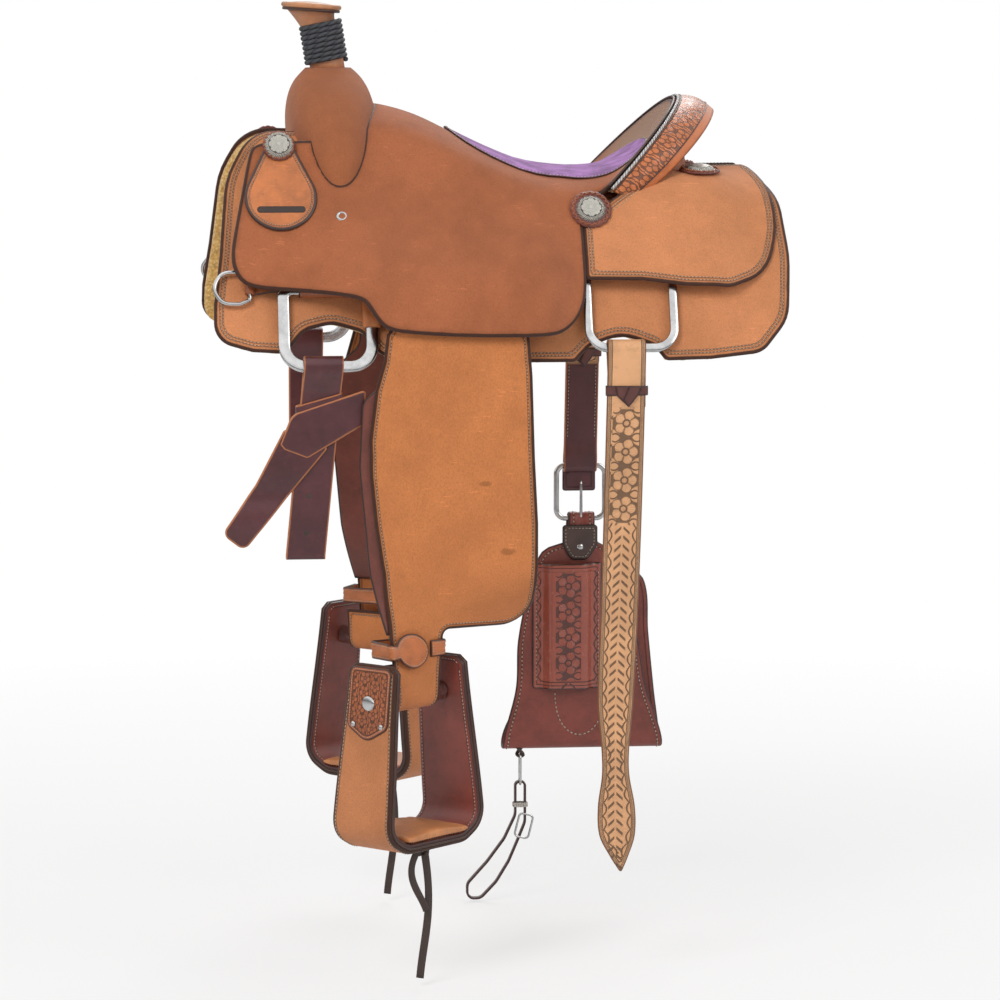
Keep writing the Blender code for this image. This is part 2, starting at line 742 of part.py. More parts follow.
def dish_point(along, row):
    """The seat's rise to the rim: along is 0 at the last rib and 1 at the rim."""
    turn = math.radians(90.0) * row / SEAT_TOP_ROWS
    start = seat_point(SEAT_RIBS[-1][0], row)
    end = rim_point(turn)
    share = math.cos(turn)
    first = start + Vector((0.085 * share + 0.008, 0.0, -0.003 * share))
    second = end + Vector((-0.020 * share - 0.006, -0.010 * math.sin(turn), -0.050 * share))
    t = along
    return (
        start * (1 - t) ** 3
        + first * 3 * t * (1 - t) ** 2
        + second * 3 * t * t * (1 - t)
        + end * t**3
    )


def dish_under(along, row, depth):
    """A point below the dish, straight into the saddle from its face."""
    step = 0.03
    low, high = max(0.0, along - step), min(1.0, along + step)
    up = dish_point(high, row) - dish_point(low, row)
    over = dish_point(along, min(6.0, row + 0.3)) - dish_point(along, max(0.0, row - 0.3))
    inward = up.cross(over).normalized()
    if inward.z > 0.0:
        inward = -inward
    return dish_point(along, row) + inward * depth


def seat_rows(rib):
    """The near half of one rib, from the ridge (or its own top) to the bottom edge."""
    x_top, z_top, x_low, z_low = SEAT_RIBS[rib]
    rows = []
    for row in range(SEAT_TOP_ROWS):
        rows.append(seat_point(x_top, row) if rib >= SEAT_FIRST_RIDGE_RIB else None)
    if rib >= SEAT_FIRST_RIDGE_RIB:
        z_top = seat_point(x_top, SEAT_TOP_ROWS).z
    for row in range(SEAT_SIDE_ROWS + 1):
        t = row / SEAT_SIDE_ROWS
        x, z = x_top + (x_low - x_top) * t, z_top + (z_low - z_top) * t
        rows.append(SEAT_BED.at(x, SEAT_BED.q(x, z)))
    return rows


def seat_mesh(name):
    """The seat, both seat jockeys and the dish, as an open sheet."""
    bm = bmesh.new()
    stations = [seat_rows(i) for i in range(len(SEAT_RIBS))]
    for k in range(1, CANTLE_DISH_ROWS + 1):
        along = k / CANTLE_DISH_ROWS
        stations.append([dish_point(along, row) for row in range(SEAT_TOP_ROWS + 1)])
    made = []
    for rows in stations:
        line = {}
        for row, point in enumerate(rows):
            if point is None:
                continue
            for side in (-1, 1):
                if row == 0 and side == 1:
                    continue
                line[side * row] = bm.verts.new((point.x, side * point.y, point.z))
        made.append(line)
    last = SEAT_TOP_ROWS + SEAT_SIDE_ROWS
    for a, b in zip(made, made[1:]):
        for row in range(-last, last):
            corners = [a.get(row), a.get(row + 1), b.get(row + 1), b.get(row)]
            if all(corners):
                bm.faces.new(corners)
    bmesh.ops.recalc_face_normals(bm, faces=bm.faces)
    if sum(f.normal.z * f.calc_area() for f in bm.faces) < 0.0:
        bmesh.ops.reverse_faces(bm, faces=bm.faces)
    mesh = bpy.data.meshes.new(name)
    bm.to_mesh(mesh)
    bm.free()
    return mesh


def thicken(target, thickness, offset):
    change = target.modifiers.new("thickness", "SOLIDIFY")
    change.thickness = thickness
    change.offset = offset


def swell_rings(grow):
    rings = []
    for z, half_length, half_width, centre in SWELL:
        ring = []
        for k in range(SWELL_SIDES):
            turn = 2.0 * math.pi * (k + 0.5) / SWELL_SIDES
            c, s = math.cos(turn), math.sin(turn)
            size = (abs(c) ** SWELL_POWER + abs(s) ** SWELL_POWER) ** (-1.0 / SWELL_POWER)
            x = centre + (half_length + grow) * c * size
            w = (half_width + grow) * s * size
            ring.append((x, w, z + grow))
        rings.append(ring)
    return rings


def under_body(name, out, x0, x1):
    """Everything inside a surface that lies out from the bed of the skirts, as a cutter."""
    rings = []
    downs = [0.25 * k for k in range(8)]
    for x in [x0] + grid((x0, x1), 0.09) + [x1]:
        half = [SKIRT_BED.at(x, q, out) for q in downs]
        ring = [(p.x, -p.y, p.z) for p in half[:0:-1]]
        ring += [(p.x, p.y, p.z) for p in half]
        ring += [(x, half[-1].y, -0.2), (x, -half[-1].y, -0.2)]
        rings.append(ring)
    return loft(name, rings, None, cutter=True)


def make_skirts():
    for label, side in SIDES:
        flank_panel(f"skirt_{label}", SKIRT_BED, SKIRT_OUTLINE, 0.0, SKIRT_LEATHER,
                    rough_out(), side, step_x=0.135)
        flank_panel(f"fleece_{label}", SKIRT_BED, SKIRT_OUTLINE, -FLEECE_DEPTH - TOUCH, -TOUCH,
                    fleece_wool(), side, step_x=0.135)
        flank_panel(f"rear_jockey_{label}", SKIRT_BED, REAR_JOCKEY_OUTLINE, rear_jockey_out,
                    lambda x, q: rear_jockey_out(x, q) + JOCKEY_LEATHER, rough_out(), side,
                    step_x=0.045, step_q=0.15, edge_step=0.06)


def make_tree():
    for label, side in SIDES:
        flank_panel(f"tree_bar_{label}", SKIRT_BED, BAR_OUTLINE, BAR_IN, BAR_OUT, wood(), side)
    fork = loft("tree_fork", swell_rings(-SWELL_LEATHER - SLIDE), wood())
    cut(fork, under_body("bars_under_fork", BAR_OUT + 5.0 * SLIDE, -0.32, -0.10))
    bore = HORN_NECK_RADIUS + TOUCH
    cut(fork, turned("post_bore", ((bore, -HORN_POST_DEPTH - TOUCH), (bore, 0.05)), 24, None,
                     horn_matrix(), True))


def make_swell_cover():
    cover = loft("swell_cover", swell_rings(0.0), rough_out())
    cut(cover, loft("swell_hollow", swell_rings(-SWELL_LEATHER), None, cutter=True))
    foot = under_body("bars_under_swell", BAR_OUT + 4.0 * SLIDE, -0.32, -0.10)
    cut(cover, foot)
    radius = HORN_NECK_RADIUS + SLIDE
    cut(cover, turned("neck_hole", ((radius, -0.05), (radius, 0.05)), 24, None,
                      horn_matrix(), True))


def make_seat():
    mesh = seat_mesh("seat_leather")
    seat = new_object("seat_leather", mesh, rough_out())
    thicken(seat, SEAT_LEATHER, -1.0)
    cut(seat, loft("swell_room", swell_rings(1.5 * SLIDE), None, cutter=True))


def make_jockey_room(label, side):
    """The space that one rear jockey takes under the cantle, with its clearance."""
    room = flank_panel(
        f"jockey_room_{label}", SKIRT_BED, REAR_JOCKEY_OUTLINE, -0.010,
        lambda x, q: rear_jockey_out(x, q) + JOCKEY_LEATHER + SLIDE,
        None, side, draw_in=-SLIDE, step_x=0.045, step_q=0.15, edge_step=0.06,
    )
    return as_cutter(room)


def make_rim_pieces():
    """The roll behind the rim, the cantle's wooden block and the leather on its back."""
    outer_steps, turns = 3, 10
    rings = []
    for k in range(-turns, turns + 1):
        turn = ROLL_TURN * k / turns
        rim = rim_point(turn)
        outward = Vector((0.25, math.sin(turn), 0.85 * math.cos(turn))).normalized()
        across = Vector((ROLL_DIRECTION[0], 0.0, ROLL_DIRECTION[1]))
        across = (across - outward * across.dot(outward)).normalized()
        width = ROLL_END_WIDTH + (ROLL_WIDTH - ROLL_END_WIDTH) * math.cos(turn) ** 0.35
        rim = rim + across * (SEAT_LEATHER + 0.0014) + outward * 0.001
        top, under = [], []
        for j in range(outer_steps + 1):
            t = j / outer_steps
            bulge = ROLL_BULGE * math.sin(math.pi * (0.15 + 0.85 * t))
            point = rim + across * width * t + outward * bulge
            thick = ROLL_THICKNESS * (0.35 + 0.65 * math.sin(math.pi * min(1.0, t + 0.12)))
            top.append(point)
            under.append(point - outward * max(0.003, thick))
        rings.append(top + under[::-1])
    roll = loft("cantle_roll", rings, smooth_leather())
    jockey_rooms = [make_jockey_room(label, side) for label, side in SIDES]
    for jockey_room in jockey_rooms:
        cut(roll, jockey_room)

    depth = SEAT_LEATHER + 2.8 * CANTLE_GAP
    block, back = [], []
    for k in range(-9, 10):
        row = 4.6 * k / 9.0
        side = -1.0 if row < 0.0 else 1.0
        turn = math.radians(90.0) * abs(row) / SEAT_TOP_ROWS
        front = [dish_under(0.34 + 0.15 * j, abs(row), depth) for j in range(5)]
        rim = rim_point(turn)
        top = rim + Vector((0.004, -0.012 * math.sin(turn), -0.020))
        foot = Vector((CANTLE_BACK_FOOT_X - 0.06 * math.sin(turn) ** 2, top.y, 0.020))
        low = Vector((front[0].x, front[0].y, 0.020))
        rear = [top.lerp(foot, j / 5.0) for j in range(6)]
        block.append([(p.x, side * p.y, p.z) for p in [low] + front + rear])
        inner = [p + Vector((CANTLE_GAP, 0.0, 0.0)) for p in rear]
        outer = [p + Vector((CANTLE_GAP + CANTLE_LEATHER, 0.0, 0.0)) for p in rear]
        back.append([(p.x, side * p.y, p.z) for p in inner + outer[::-1]])
    room = under_body("bars_under_cantle", BAR_OUT + 2.0 * SLIDE, 0.06, 0.32)
    cantle = loft("tree_cantle", block, wood())
    lining = loft("cantle_back", back, smooth_leather())
    for piece in (cantle, lining):
        cut(piece, room)
        for jockey_room in jockey_rooms:
            cut(piece, jockey_room)


def make_inlay():
    """The suede panel let into the seat, from behind the fork up into the dish."""
    stations = []
    for x, share in ((-0.070, 0.04), (-0.050, 0.22), (-0.020, 0.36), (0.015, 0.48),
                     (0.050, 0.56), (0.083, 0.60)):
        stations.append((lambda r, x=x: seat_point(x, r), share * SEAT_TOP_ROWS))
    for along, share in ((0.20, 0.60), (0.35, 0.57), (0.48, 0.48), (0.56, 0.34), (0.60, 0.12)):
        stations.append((lambda r, a=along: dish_point(a, r), share * SEAT_TOP_ROWS))
    bm = bmesh.new()
    columns = 3
    lines = []
    for point_at, reach in stations:
        line = []
        for k in range(-columns, columns + 1):
            p = point_at(reach * abs(k) / columns)
            line.append(bm.verts.new((p.x, math.copysign(p.y, k), p.z)))
        lines.append(line)
    for a, b in zip(lines, lines[1:]):
        for i in range(2 * columns):
            bm.faces.new((a[i], a[i + 1], b[i + 1], b[i]))
    bmesh.ops.recalc_face_normals(bm, faces=bm.faces)
    if sum(f.normal.z for f in bm.faces) < 0.0:
        bmesh.ops.reverse_faces(bm, faces=bm.faces)
    bm.normal_update()
    lifted = [(v, v.co + v.normal * INLAY_LIFT) for v in bm.verts]
    for v, co in lifted:
        v.co = co
    mesh = bpy.data.meshes.new("seat_inlay")
    bm.to_mesh(mesh)
    bm.free()
    inlay = new_object("seat_inlay", mesh, material("purple_suede", (0.33, 0.16, 0.36), 0.9))
    thicken(inlay, INLAY_LEATHER, 1.0)


def horn_matrix():
    return Matrix.Translation(HORN_FOOT) @ Matrix.Rotation(-HORN_LEAN, 4, "Y")


def make_horn():
    frame = horn_matrix()
    neck = HORN_NECK_RADIUS
    profile = (
        (neck, -HORN_POST_DEPTH), (neck, HORN_NECK_LENGTH - 0.008), (neck + 0.004, HORN_NECK_LENGTH),
    )
    turned("horn_post", profile, 16, material("horn_leather", (0.60, 0.26, 0.10), 0.5), frame)
    cap_frame = (
        frame
        @ Matrix.Translation((-HORN_CAP_FORWARD, 0.0, HORN_NECK_LENGTH + TOUCH + 0.0060))
        @ Matrix.Rotation(-HORN_CAP_TILT, 4, "Y")
    )
    r, t = HORN_CAP_RADIUS, HORN_CAP_THICKNESS
    cap = (
        (0.0, 0.0), (r - 0.006, 0.0), (r, t * 0.35), (r, t * 0.75), (r - 0.004, t), (0.0, t + 0.003),
    )
    head = turned("horn_cap", cap, 24, smooth_leather(), cap_frame)
    room = turned(
        "neck_room",
        ((neck + 0.012, -0.03), (neck + 0.012, HORN_NECK_LENGTH + TOUCH)),
        28, None, frame, True,
    )
    cut(head, room)
    make_horn_wrap(frame)


def make_horn_wrap(frame):
    """The cord wound round the neck: one tube, a turn for each pitch."""
    per_turn = 11
    radius = HORN_NECK_RADIUS + WRAP_CORD / 2.0 + WRAP_CLEAR
    points = []
    for k in range(WRAP_TURNS * per_turn + 1):
        turn = 2.0 * math.pi * k / per_turn
        height = WRAP_FIRST_HEIGHT + WRAP_PITCH * k / per_turn
        at = Vector((radius * math.cos(turn), radius * math.sin(turn), height))
        points.append(frame @ at)
    least = min(
        (a - b).length - WRAP_CORD
        for i, a in enumerate(points)
        for b in points[i + per_turn // 2:]
    )
    print(f"horn wrap least gap to itself: {least * 1000:.2f} mm")
    line = bpy.data.curves.new("horn_wrap", "CURVE")
    line.dimensions = "3D"
    spline = line.splines.new("POLY")
    spline.points.add(len(points) - 1)
    for target, point in zip(spline.points, points):
        target.co = (*point, 1.0)
    line.bevel_depth = WRAP_CORD / 2.0
    line.bevel_resolution = 1
    line.use_fill_caps = True
    line.materials.append(material("wrap_cord", (0.05, 0.055, 0.07), 0.7))
    PARTS.objects.link(bpy.data.objects.new("horn_wrap", line))


def make_conchos():
    dome = ((0.0, 0.0085), (0.008, 0.0080), (0.0150, 0.0055), (0.0178, 0.0030))
    rosette = ((0.0250, 0.0026), (0.0262, 0.0008), (0.0250, 0.0), (0.0, 0.0))
    places = (
        ("concho_front", SEAT_BED, -0.287, 0.1130, 0.0058, False),
        ("concho_seat", SEAT_BED, 0.094, 0.0370, 0.0011, True),
        ("concho_rear", SKIRT_BED, 0.239, 0.0600, 0.0000, True),
    )
    for name, bed, x, z, lift, wide in places:
        for label, side in SIDES:
            q = bed.q(x, z)

            def face(u, v):
                out = rear_jockey_out(u, v) + JOCKEY_LEATHER if name == "concho_rear" else 0.0
                return bed.at(u, v, out)

            along = face(x + 0.012, q) - face(x - 0.012, q)
            down = face(x, q + 0.12) - face(x, q - 0.12)
            out = along.cross(down).normalized()
            if out.y < 0.0:
                out = -out
            frame = frame_on(face(x, q) + out * lift, out, side)
            flat = rosette if wide else ((0.0200, 0.0020), (0.0200, 0.0), (0.0, 0.0))
            turned(f"{name}_{label}", dome + flat, 12, silver(), frame)


def make_latigo_carriers():
    """The teardrop keeper on the front of each jockey, with its slot."""
    corners = (
        (-0.300, 0.120, 0.014), (-0.341, 0.040, 0.045), (-0.2875, 0.004, 0.06),
        (-0.232, 0.040, 0.045), (-0.273, 0.120, 0.014),
    )
    slot_x, slot_z, half, high = -0.2865, 0.0375, 0.0290, 0.0035
    for label, side in SIDES:
        flank_panel(f"latigo_carrier_{label}", SEAT_BED, corners, 0.0011, 0.0049,
                    smooth_leather(), side, step_x=0.045, step_q=0.2, edge_step=0.05)
        corners_slot = (
            (slot_x - half, slot_z - high, high), (slot_x - half, slot_z + high, high),
            (slot_x + half, slot_z + high, high), (slot_x + half, slot_z - high, high),
        )
        hole = flank_panel(f"carrier_slot_{label}", SEAT_BED, corners_slot, -0.004, 0.012,
                           None, side)
        cut(bpy.data.objects[f"latigo_carrier_{label}"], as_cutter(hole))


def dee_frame(dee, side):
    """Places a dee: x along the saddle and down its own plane, out from the skirt."""
    x_mid = sum(dee["x"]) / 2.0
    out = SKIRT_LEATHER + dee["clear"] + DEE_THICKNESS / 2.0
    top = SKIRT_BED.at(x_mid, SKIRT_BED.q(x_mid, dee["top"]), out)
    low = SKIRT_BED.at(x_mid, SKIRT_BED.q(x_mid, dee["bottom"]), out)
    spread = 1.0 + SPREAD * (dee["x"][1] - dee["x"][0]) / 2.0
    low.y = low.y * spread
    top.y = top.y * spread
    down = (low - top).normalized()
    outward = Vector((0.0, -down.z, down.y))

    def place(x, below, depth):
        return Vector((x, top.y, top.z)) + down * below + outward * depth

    return place, top, down, outward, (low - top).length


def make_dees():
    for name, dee in (("front_dee", FRONT_DEE), ("rear_dee", REAR_DEE)):
        for label, side in SIDES:
            place, top, down, outward, drop = dee_frame(dee, side)
            x0, x1 = dee["x"]
            width, corner = dee["width"], dee["corner"]
            rod = 2.0 * DEE_HINGE_RADIUS
            outer = ((x0, -rod / 2, DEE_TOP_CORNER), (x0, drop, corner),
                     (x1, drop, corner), (x1, -rod / 2, DEE_TOP_CORNER))
            inner = ((x0 + width, rod / 2, 0.004), (x0 + width, drop - width, corner - width),
                     (x1 - width, drop - width, corner - width), (x1 - width, rod / 2, 0.004))
            made_outer = dee_outline(outer)
            made_inner = dee_outline(inner)
            ring_plate(f"{name}_{label}", made_outer, made_inner, place, DEE_THICKNESS,
                       bright_metal(), side)


def dee_outline(corners):
    """A four-cornered outline with arcs of fixed counts, so rings match."""
    points = []
    count = len(corners)
    for i, (a, b, radius) in enumerate(corners):
        here = Vector((a, b))
        back = (Vector(corners[i - 1][:2]) - here).normalized()
        ahead = (Vector(corners[(i + 1) % count][:2]) - here).normalized()
        centre = here + (back + ahead) * radius
        steps = 7 if i in (1, 2) else 3
        for k in range(steps + 1):
            turn = math.radians(90.0) * k / steps
            points.append(centre - ahead * radius * math.cos(turn) - back * radius * math.sin(turn))
    return points


def leg_place(x, w, z):
    """Turns the fender's strap end about its own middle as it nears the stirrup."""
    middle = FENDER_FACE + FENDER_LEATHER / 2.0 - LEG_TURN_RADIUS
    turn = TWIST * blend_step(-TWIST_FROM_Z, -TWIST_TO_Z, -z)
    u, v = x - LEG_CENTRE_X, w - middle
    return (
        LEG_CENTRE_X + u * math.cos(turn) + v * math.sin(turn),
        middle - u * math.sin(turn) + v * math.cos(turn),
        z,
    )


def wrapped(x, s, out):
    """A hanging strap that turns round the bolt: s is the height it has when flat."""
    middle = FENDER_FACE + FENDER_LEATHER / 2.0 - LEG_TURN_RADIUS
    radius = LEG_TURN_RADIUS + out
    bend = (BOLT_Z - s) / LEG_TURN_RADIUS
    if bend <= 0.0:
        w, z = middle + radius, s
    elif bend <= math.pi:
        w, z = middle + radius * math.cos(bend), BOLT_Z - radius * math.sin(bend)
    else:
        w, z = middle - radius, BOLT_Z + (bend - math.pi) * LEG_TURN_RADIUS
    return leg_place(x, w, z)


def make_fenders():
    half = FENDER_LEATHER / 2.0
    outline = refine(fillet(FENDER_OUTLINE), 0.045)
    rows = [-0.38, -0.41, -0.435, -0.455, -0.535]
    rows += HOBBLE_ROWS
    rows += [BOLT_Z - LEG_TURN_RADIUS * math.radians(30.0) * k for k in range(7)]
    columns = [-0.157, -0.118]
    for label, side in SIDES:
        panel(f"fender_{label}", outline,
              lambda a, b, face: wrapped(a, b, half if face else -half),
              rough_out(), columns, rows, side)


def make_stirrup_leathers():
    """The strap inside each fender, which carries the stirrup over the bar."""
    front, width = STIRRUP_LEATHER_FRONT_X, STIRRUP_LEATHER_WIDTH
    low = HOBBLE_Z + 0.020
    back = FENDER_HINGE[0] + 0.030
    corners = (
        (front + 0.036, STIRRUP_LEATHER_TOP_Z), (back, STIRRUP_LEATHER_TOP_Z), (back, -0.150),
        (front + width, -0.230), (front + width, -0.40), (LEG_CENTRE_X + 0.030, low),
        (LEG_CENTRE_X - 0.036, low), (front + 0.010, -0.40), (front - 0.002, -0.27),
        (front + 0.002, -0.190), (front + 0.036, -0.160),
    )
    outline = refine([Vector(c) for c in corners], 0.06)
    face = FENDER_FACE - SLIDE
    rows = [-0.38, -0.41, -0.435, -0.455]
    for label, side in SIDES:
        panel(f"stirrup_leather_{label}", outline,
              lambda a, b, out: leg_place(a, face - (0.0 if out else STIRRUP_LEATHER), b),
              burgundy_leather(), [-0.157], rows, side)
        hole = STUD_RADIUS + TOUCH
        at = Matrix.Translation((FENDER_HINGE[0], side * face, FENDER_HINGE[1]))
        cut(bpy.data.objects[f"stirrup_leather_{label}"],
            turned(f"stud_hole_{label}", ((hole, -0.02), (hole, 0.02)), 20, None,
                   at @ Matrix.Rotation(math.radians(90.0), 4, "X"), True))


def make_hobble_straps():
    """The strap round the fender's leg, with its round keeper end."""
    middle = FENDER_FACE + FENDER_LEATHER / 2.0 - LEG_TURN_RADIUS
    gap = LEG_TURN_RADIUS + FENDER_LEATHER / 2.0 + SLIDE + HOBBLE_THICKNESS / 2.0
    half = 0.0395 + SLIDE + HOBBLE_THICKNESS / 2.0
    corners = (
        (0.020, gap), (half, gap, 0.002), (half, -gap, 0.002), (-half, -gap, 0.002),
        (-half, gap, 0.002), (0.0165, gap),
    )
    track = Track(corners, math.radians(45.0))
    length, h = track.length, HOBBLE_WIDTH / 2.0
    bulb = HOBBLE_BULB_RADIUS
    widths = [(0.0, h), (length - 0.062, h), (length - 0.046, bulb * 0.8),
              (length - 0.030, bulb), (length - 0.012, bulb * 0.8), (length - 0.0005, 0.009)]
    right = [Vector((s, HOBBLE_Z + r)) for s, r in widths]
    left = [Vector((s, HOBBLE_Z - r)) for s, r in widths]
    outline = right + left[::-1]

    def place(s, z, face):
        at = track.at(s, HOBBLE_THICKNESS * (0.5 if face else -0.5))
        out = 0.0042 * blend_step(length - 0.085, length - 0.070, s)
        return leg_place(LEG_CENTRE_X + at.x, middle + at.y + out, z)

    for label, side in SIDES:
        panel(f"hobble_strap_{label}", outline, place, smooth_leather(),
              sorted(track.places[1:-1] + [length * k / 10.0 for k in range(1, 10)]),
              HOBBLE_ROWS, side)


def stirrup_frame(across, down, deep):
    """A point of the stirrup: across its legs, down from the bolt, out from its middle."""
    middle = FENDER_FACE + FENDER_LEATHER / 2.0 - LEG_TURN_RADIUS
    x = LEG_CENTRE_X + across * math.cos(TWIST) + deep * math.sin(TWIST)
    w = middle - across * math.sin(TWIST) + deep * math.cos(TWIST)
    return x, w, BOLT_Z - down


def stirrup_track():
    top, low = STIRRUP_TOP_HALF_WIDTH, STIRRUP_BOTTOM_HALF_WIDTH
    high, drop = -STIRRUP_TOP_ABOVE_BOLT, STIRRUP_DROP
    corners = (
        (-top, high), (-low, drop - 0.018, STIRRUP_CORNER_RADIUS),
        (-low + 0.034, drop, 0.03), (low - 0.034, drop, 0.03),
        (low, drop - 0.018, STIRRUP_CORNER_RADIUS), (top, high),
    )
    return Track(corners, math.radians(20.0))


def make_stirrups():
    track = stirrup_track()
    length = track.length
    leg = STIRRUP_TOP_ABOVE_BOLT + STIRRUP_DROP - 0.02

    def half_depth(s):
        near_end = min(s, length - s)
        grow = blend_step(0.0, leg, near_end)
        return (STIRRUP_TOP_DEPTH + (STIRRUP_BOTTOM_DEPTH - STIRRUP_TOP_DEPTH) * grow) / 2.0

    places = [0.0, 0.07, 0.14, leg, length / 2, length - leg, length - 0.14, length - 0.07, length]
    outline = [Vector((s, half_depth(s))) for s in places]
    outline += [Vector((s, -half_depth(s))) for s in places[::-1]]

    def place(s, deep, face):
        at = track.at(s, STIRRUP_THICKNESS * (0.5 if face else -0.5))
        return stirrup_frame(at.x, at.y, deep)

    for label, side in SIDES:
        body = panel(f"stirrup_{label}", outline, place, rough_out(), track.places[1:-1], (), side)
        at = stirrup_frame(0.0, 0.0, 0.0)
        along = Vector(stirrup_frame(1.0, 0.0, 0.0)) - Vector(at)
        axis = Vector((along.x, side * along.y, 0.0))
        turn = axis.to_track_quat("Z", "Y").to_matrix().to_4x4()
        frame = Matrix.Translation((at[0], side * at[1], at[2])) @ turn
        reach = STIRRUP_TOP_HALF_WIDTH + 0.022
        bore = BOLT_RADIUS + TOUCH
        cut(body, turned(f"bolt_hole_{label}", ((bore, -reach), (bore, reach)), 12, None, frame, True))
        slope = (STIRRUP_BOTTOM_HALF_WIDTH - STIRRUP_TOP_HALF_WIDTH) / (
            STIRRUP_TOP_ABOVE_BOLT + STIRRUP_DROP - 0.018)
        face_at = STIRRUP_TOP_HALF_WIDTH + slope * STIRRUP_TOP_ABOVE_BOLT
        lean = slope * BOLT_HEAD_RADIUS
        outside = face_at + STIRRUP_THICKNESS / 2.0 + lean + TOUCH
        inside = face_at - STIRRUP_THICKNESS / 2.0 - lean - SLIDE - 0.0005
        profile = (
            (BOLT_HEAD_RADIUS, -outside - BOLT_HEAD), (BOLT_HEAD_RADIUS, -outside),
            (BOLT_RADIUS, -outside), (BOLT_RADIUS, -inside), (BOLT_SLEEVE_RADIUS, -inside),
            (BOLT_SLEEVE_RADIUS, inside), (BOLT_RADIUS, inside), (BOLT_RADIUS, outside),
            (BOLT_HEAD_RADIUS, outside), (BOLT_HEAD_RADIUS, outside + BOLT_HEAD),
        )
        turned(f"stirrup_bolt_{label}", profile, 12, bright_metal(), frame)

        deep = STIRRUP_BOTTOM_DEPTH / 2.0 + TREAD_PROUD
        floor = -STIRRUP_THICKNESS / 2.0 - SLIDE
        rings = []
        for k in range(-5, 6):
            along = length / 2.0 + TREAD_HALF_LENGTH * k / 5.0
            thick = TREAD_THICKNESS * (1.0 - 0.45 * (k / 5.0) ** 2)
            rings.append([
                stirrup_frame(*track.at(along, floor - rise), out)
                for rise, out in (
                    (0.0, -deep), (thick * 0.75, -deep), (thick, -deep + 0.012),
                    (thick, deep - 0.012), (thick * 0.75, deep), (0.0, deep),
                )
            ])
        loft(f"stirrup_tread_{label}", rings, natural_leather(), side)


def make_laces():
    """A flat lace that hangs free under each tread."""
    for label, side in SIDES:
        under = STIRRUP_DROP + STIRRUP_THICKNESS / 2.0 + TOUCH
        rings = []
        for k in range(9):
            t = k / 8.0
            down = under + LACE_LENGTH * t
            bow = 0.006 * math.sin(math.pi * 1.3 * t)
            x, w, z = stirrup_frame(0.004, down, 0.020)
            half, thick = LACE_WIDTH / 2.0, LACE_THICKNESS / 2.0
            rings.append([
                (x - half + bow, w - thick, z), (x + half + bow, w - thick, z),
                (x + half + bow, w + thick, z), (x - half + bow, w + thick, z),
            ])
        loft(f"stirrup_lace_{label}", rings,
             material("dark_lace", (0.10, 0.07, 0.05), 0.8), side)


def offset_ring(points, half):
    """The two outlines that lie half a width to each side of a closed line."""
    count = len(points)
    sides = ([], [])
    for i, here in enumerate(points):
        back = (here - points[i - 1]).normalized()
        ahead = (points[(i + 1) % count] - here).normalized()
        along = (back + ahead).normalized()
        reach = half / max(0.6, along.dot(ahead))
        normal = Vector((-along.y, along.x)) * reach
        sides[0].append(here + normal)
        sides[1].append(here - normal)
    return sides


def rod_along_x(name, centre, radius, ends, side):
    turn = Matrix.Rotation(math.radians(90.0), 4, "Y")
    at = Matrix.Translation((ends[0], side * centre.y, centre.z)) @ turn
    return turned(name, ((radius, 0.0), (radius, ends[1] - ends[0])), 16, None, at, True)


def breast_frame(side):
    """The breast dee's bar: its place, forward, along the bar, and out of the skirt."""
    x, z = BREAST_DEE_AT
    q = SKIRT_BED.q(x, z)
    at = SKIRT_BED.at(x, q, BREAST_DEE_OUT)
    along = (SKIRT_BED.at(x, q + 0.1, BREAST_DEE_OUT) - at).normalized()
    forward = Vector((-1.0, 0.0, 0.0))
    forward = (forward - along * forward.dot(along)).normalized()
    out = along.cross(forward).normalized()
    if out.y < 0.0:
        out = -out
    return at, forward, along, out


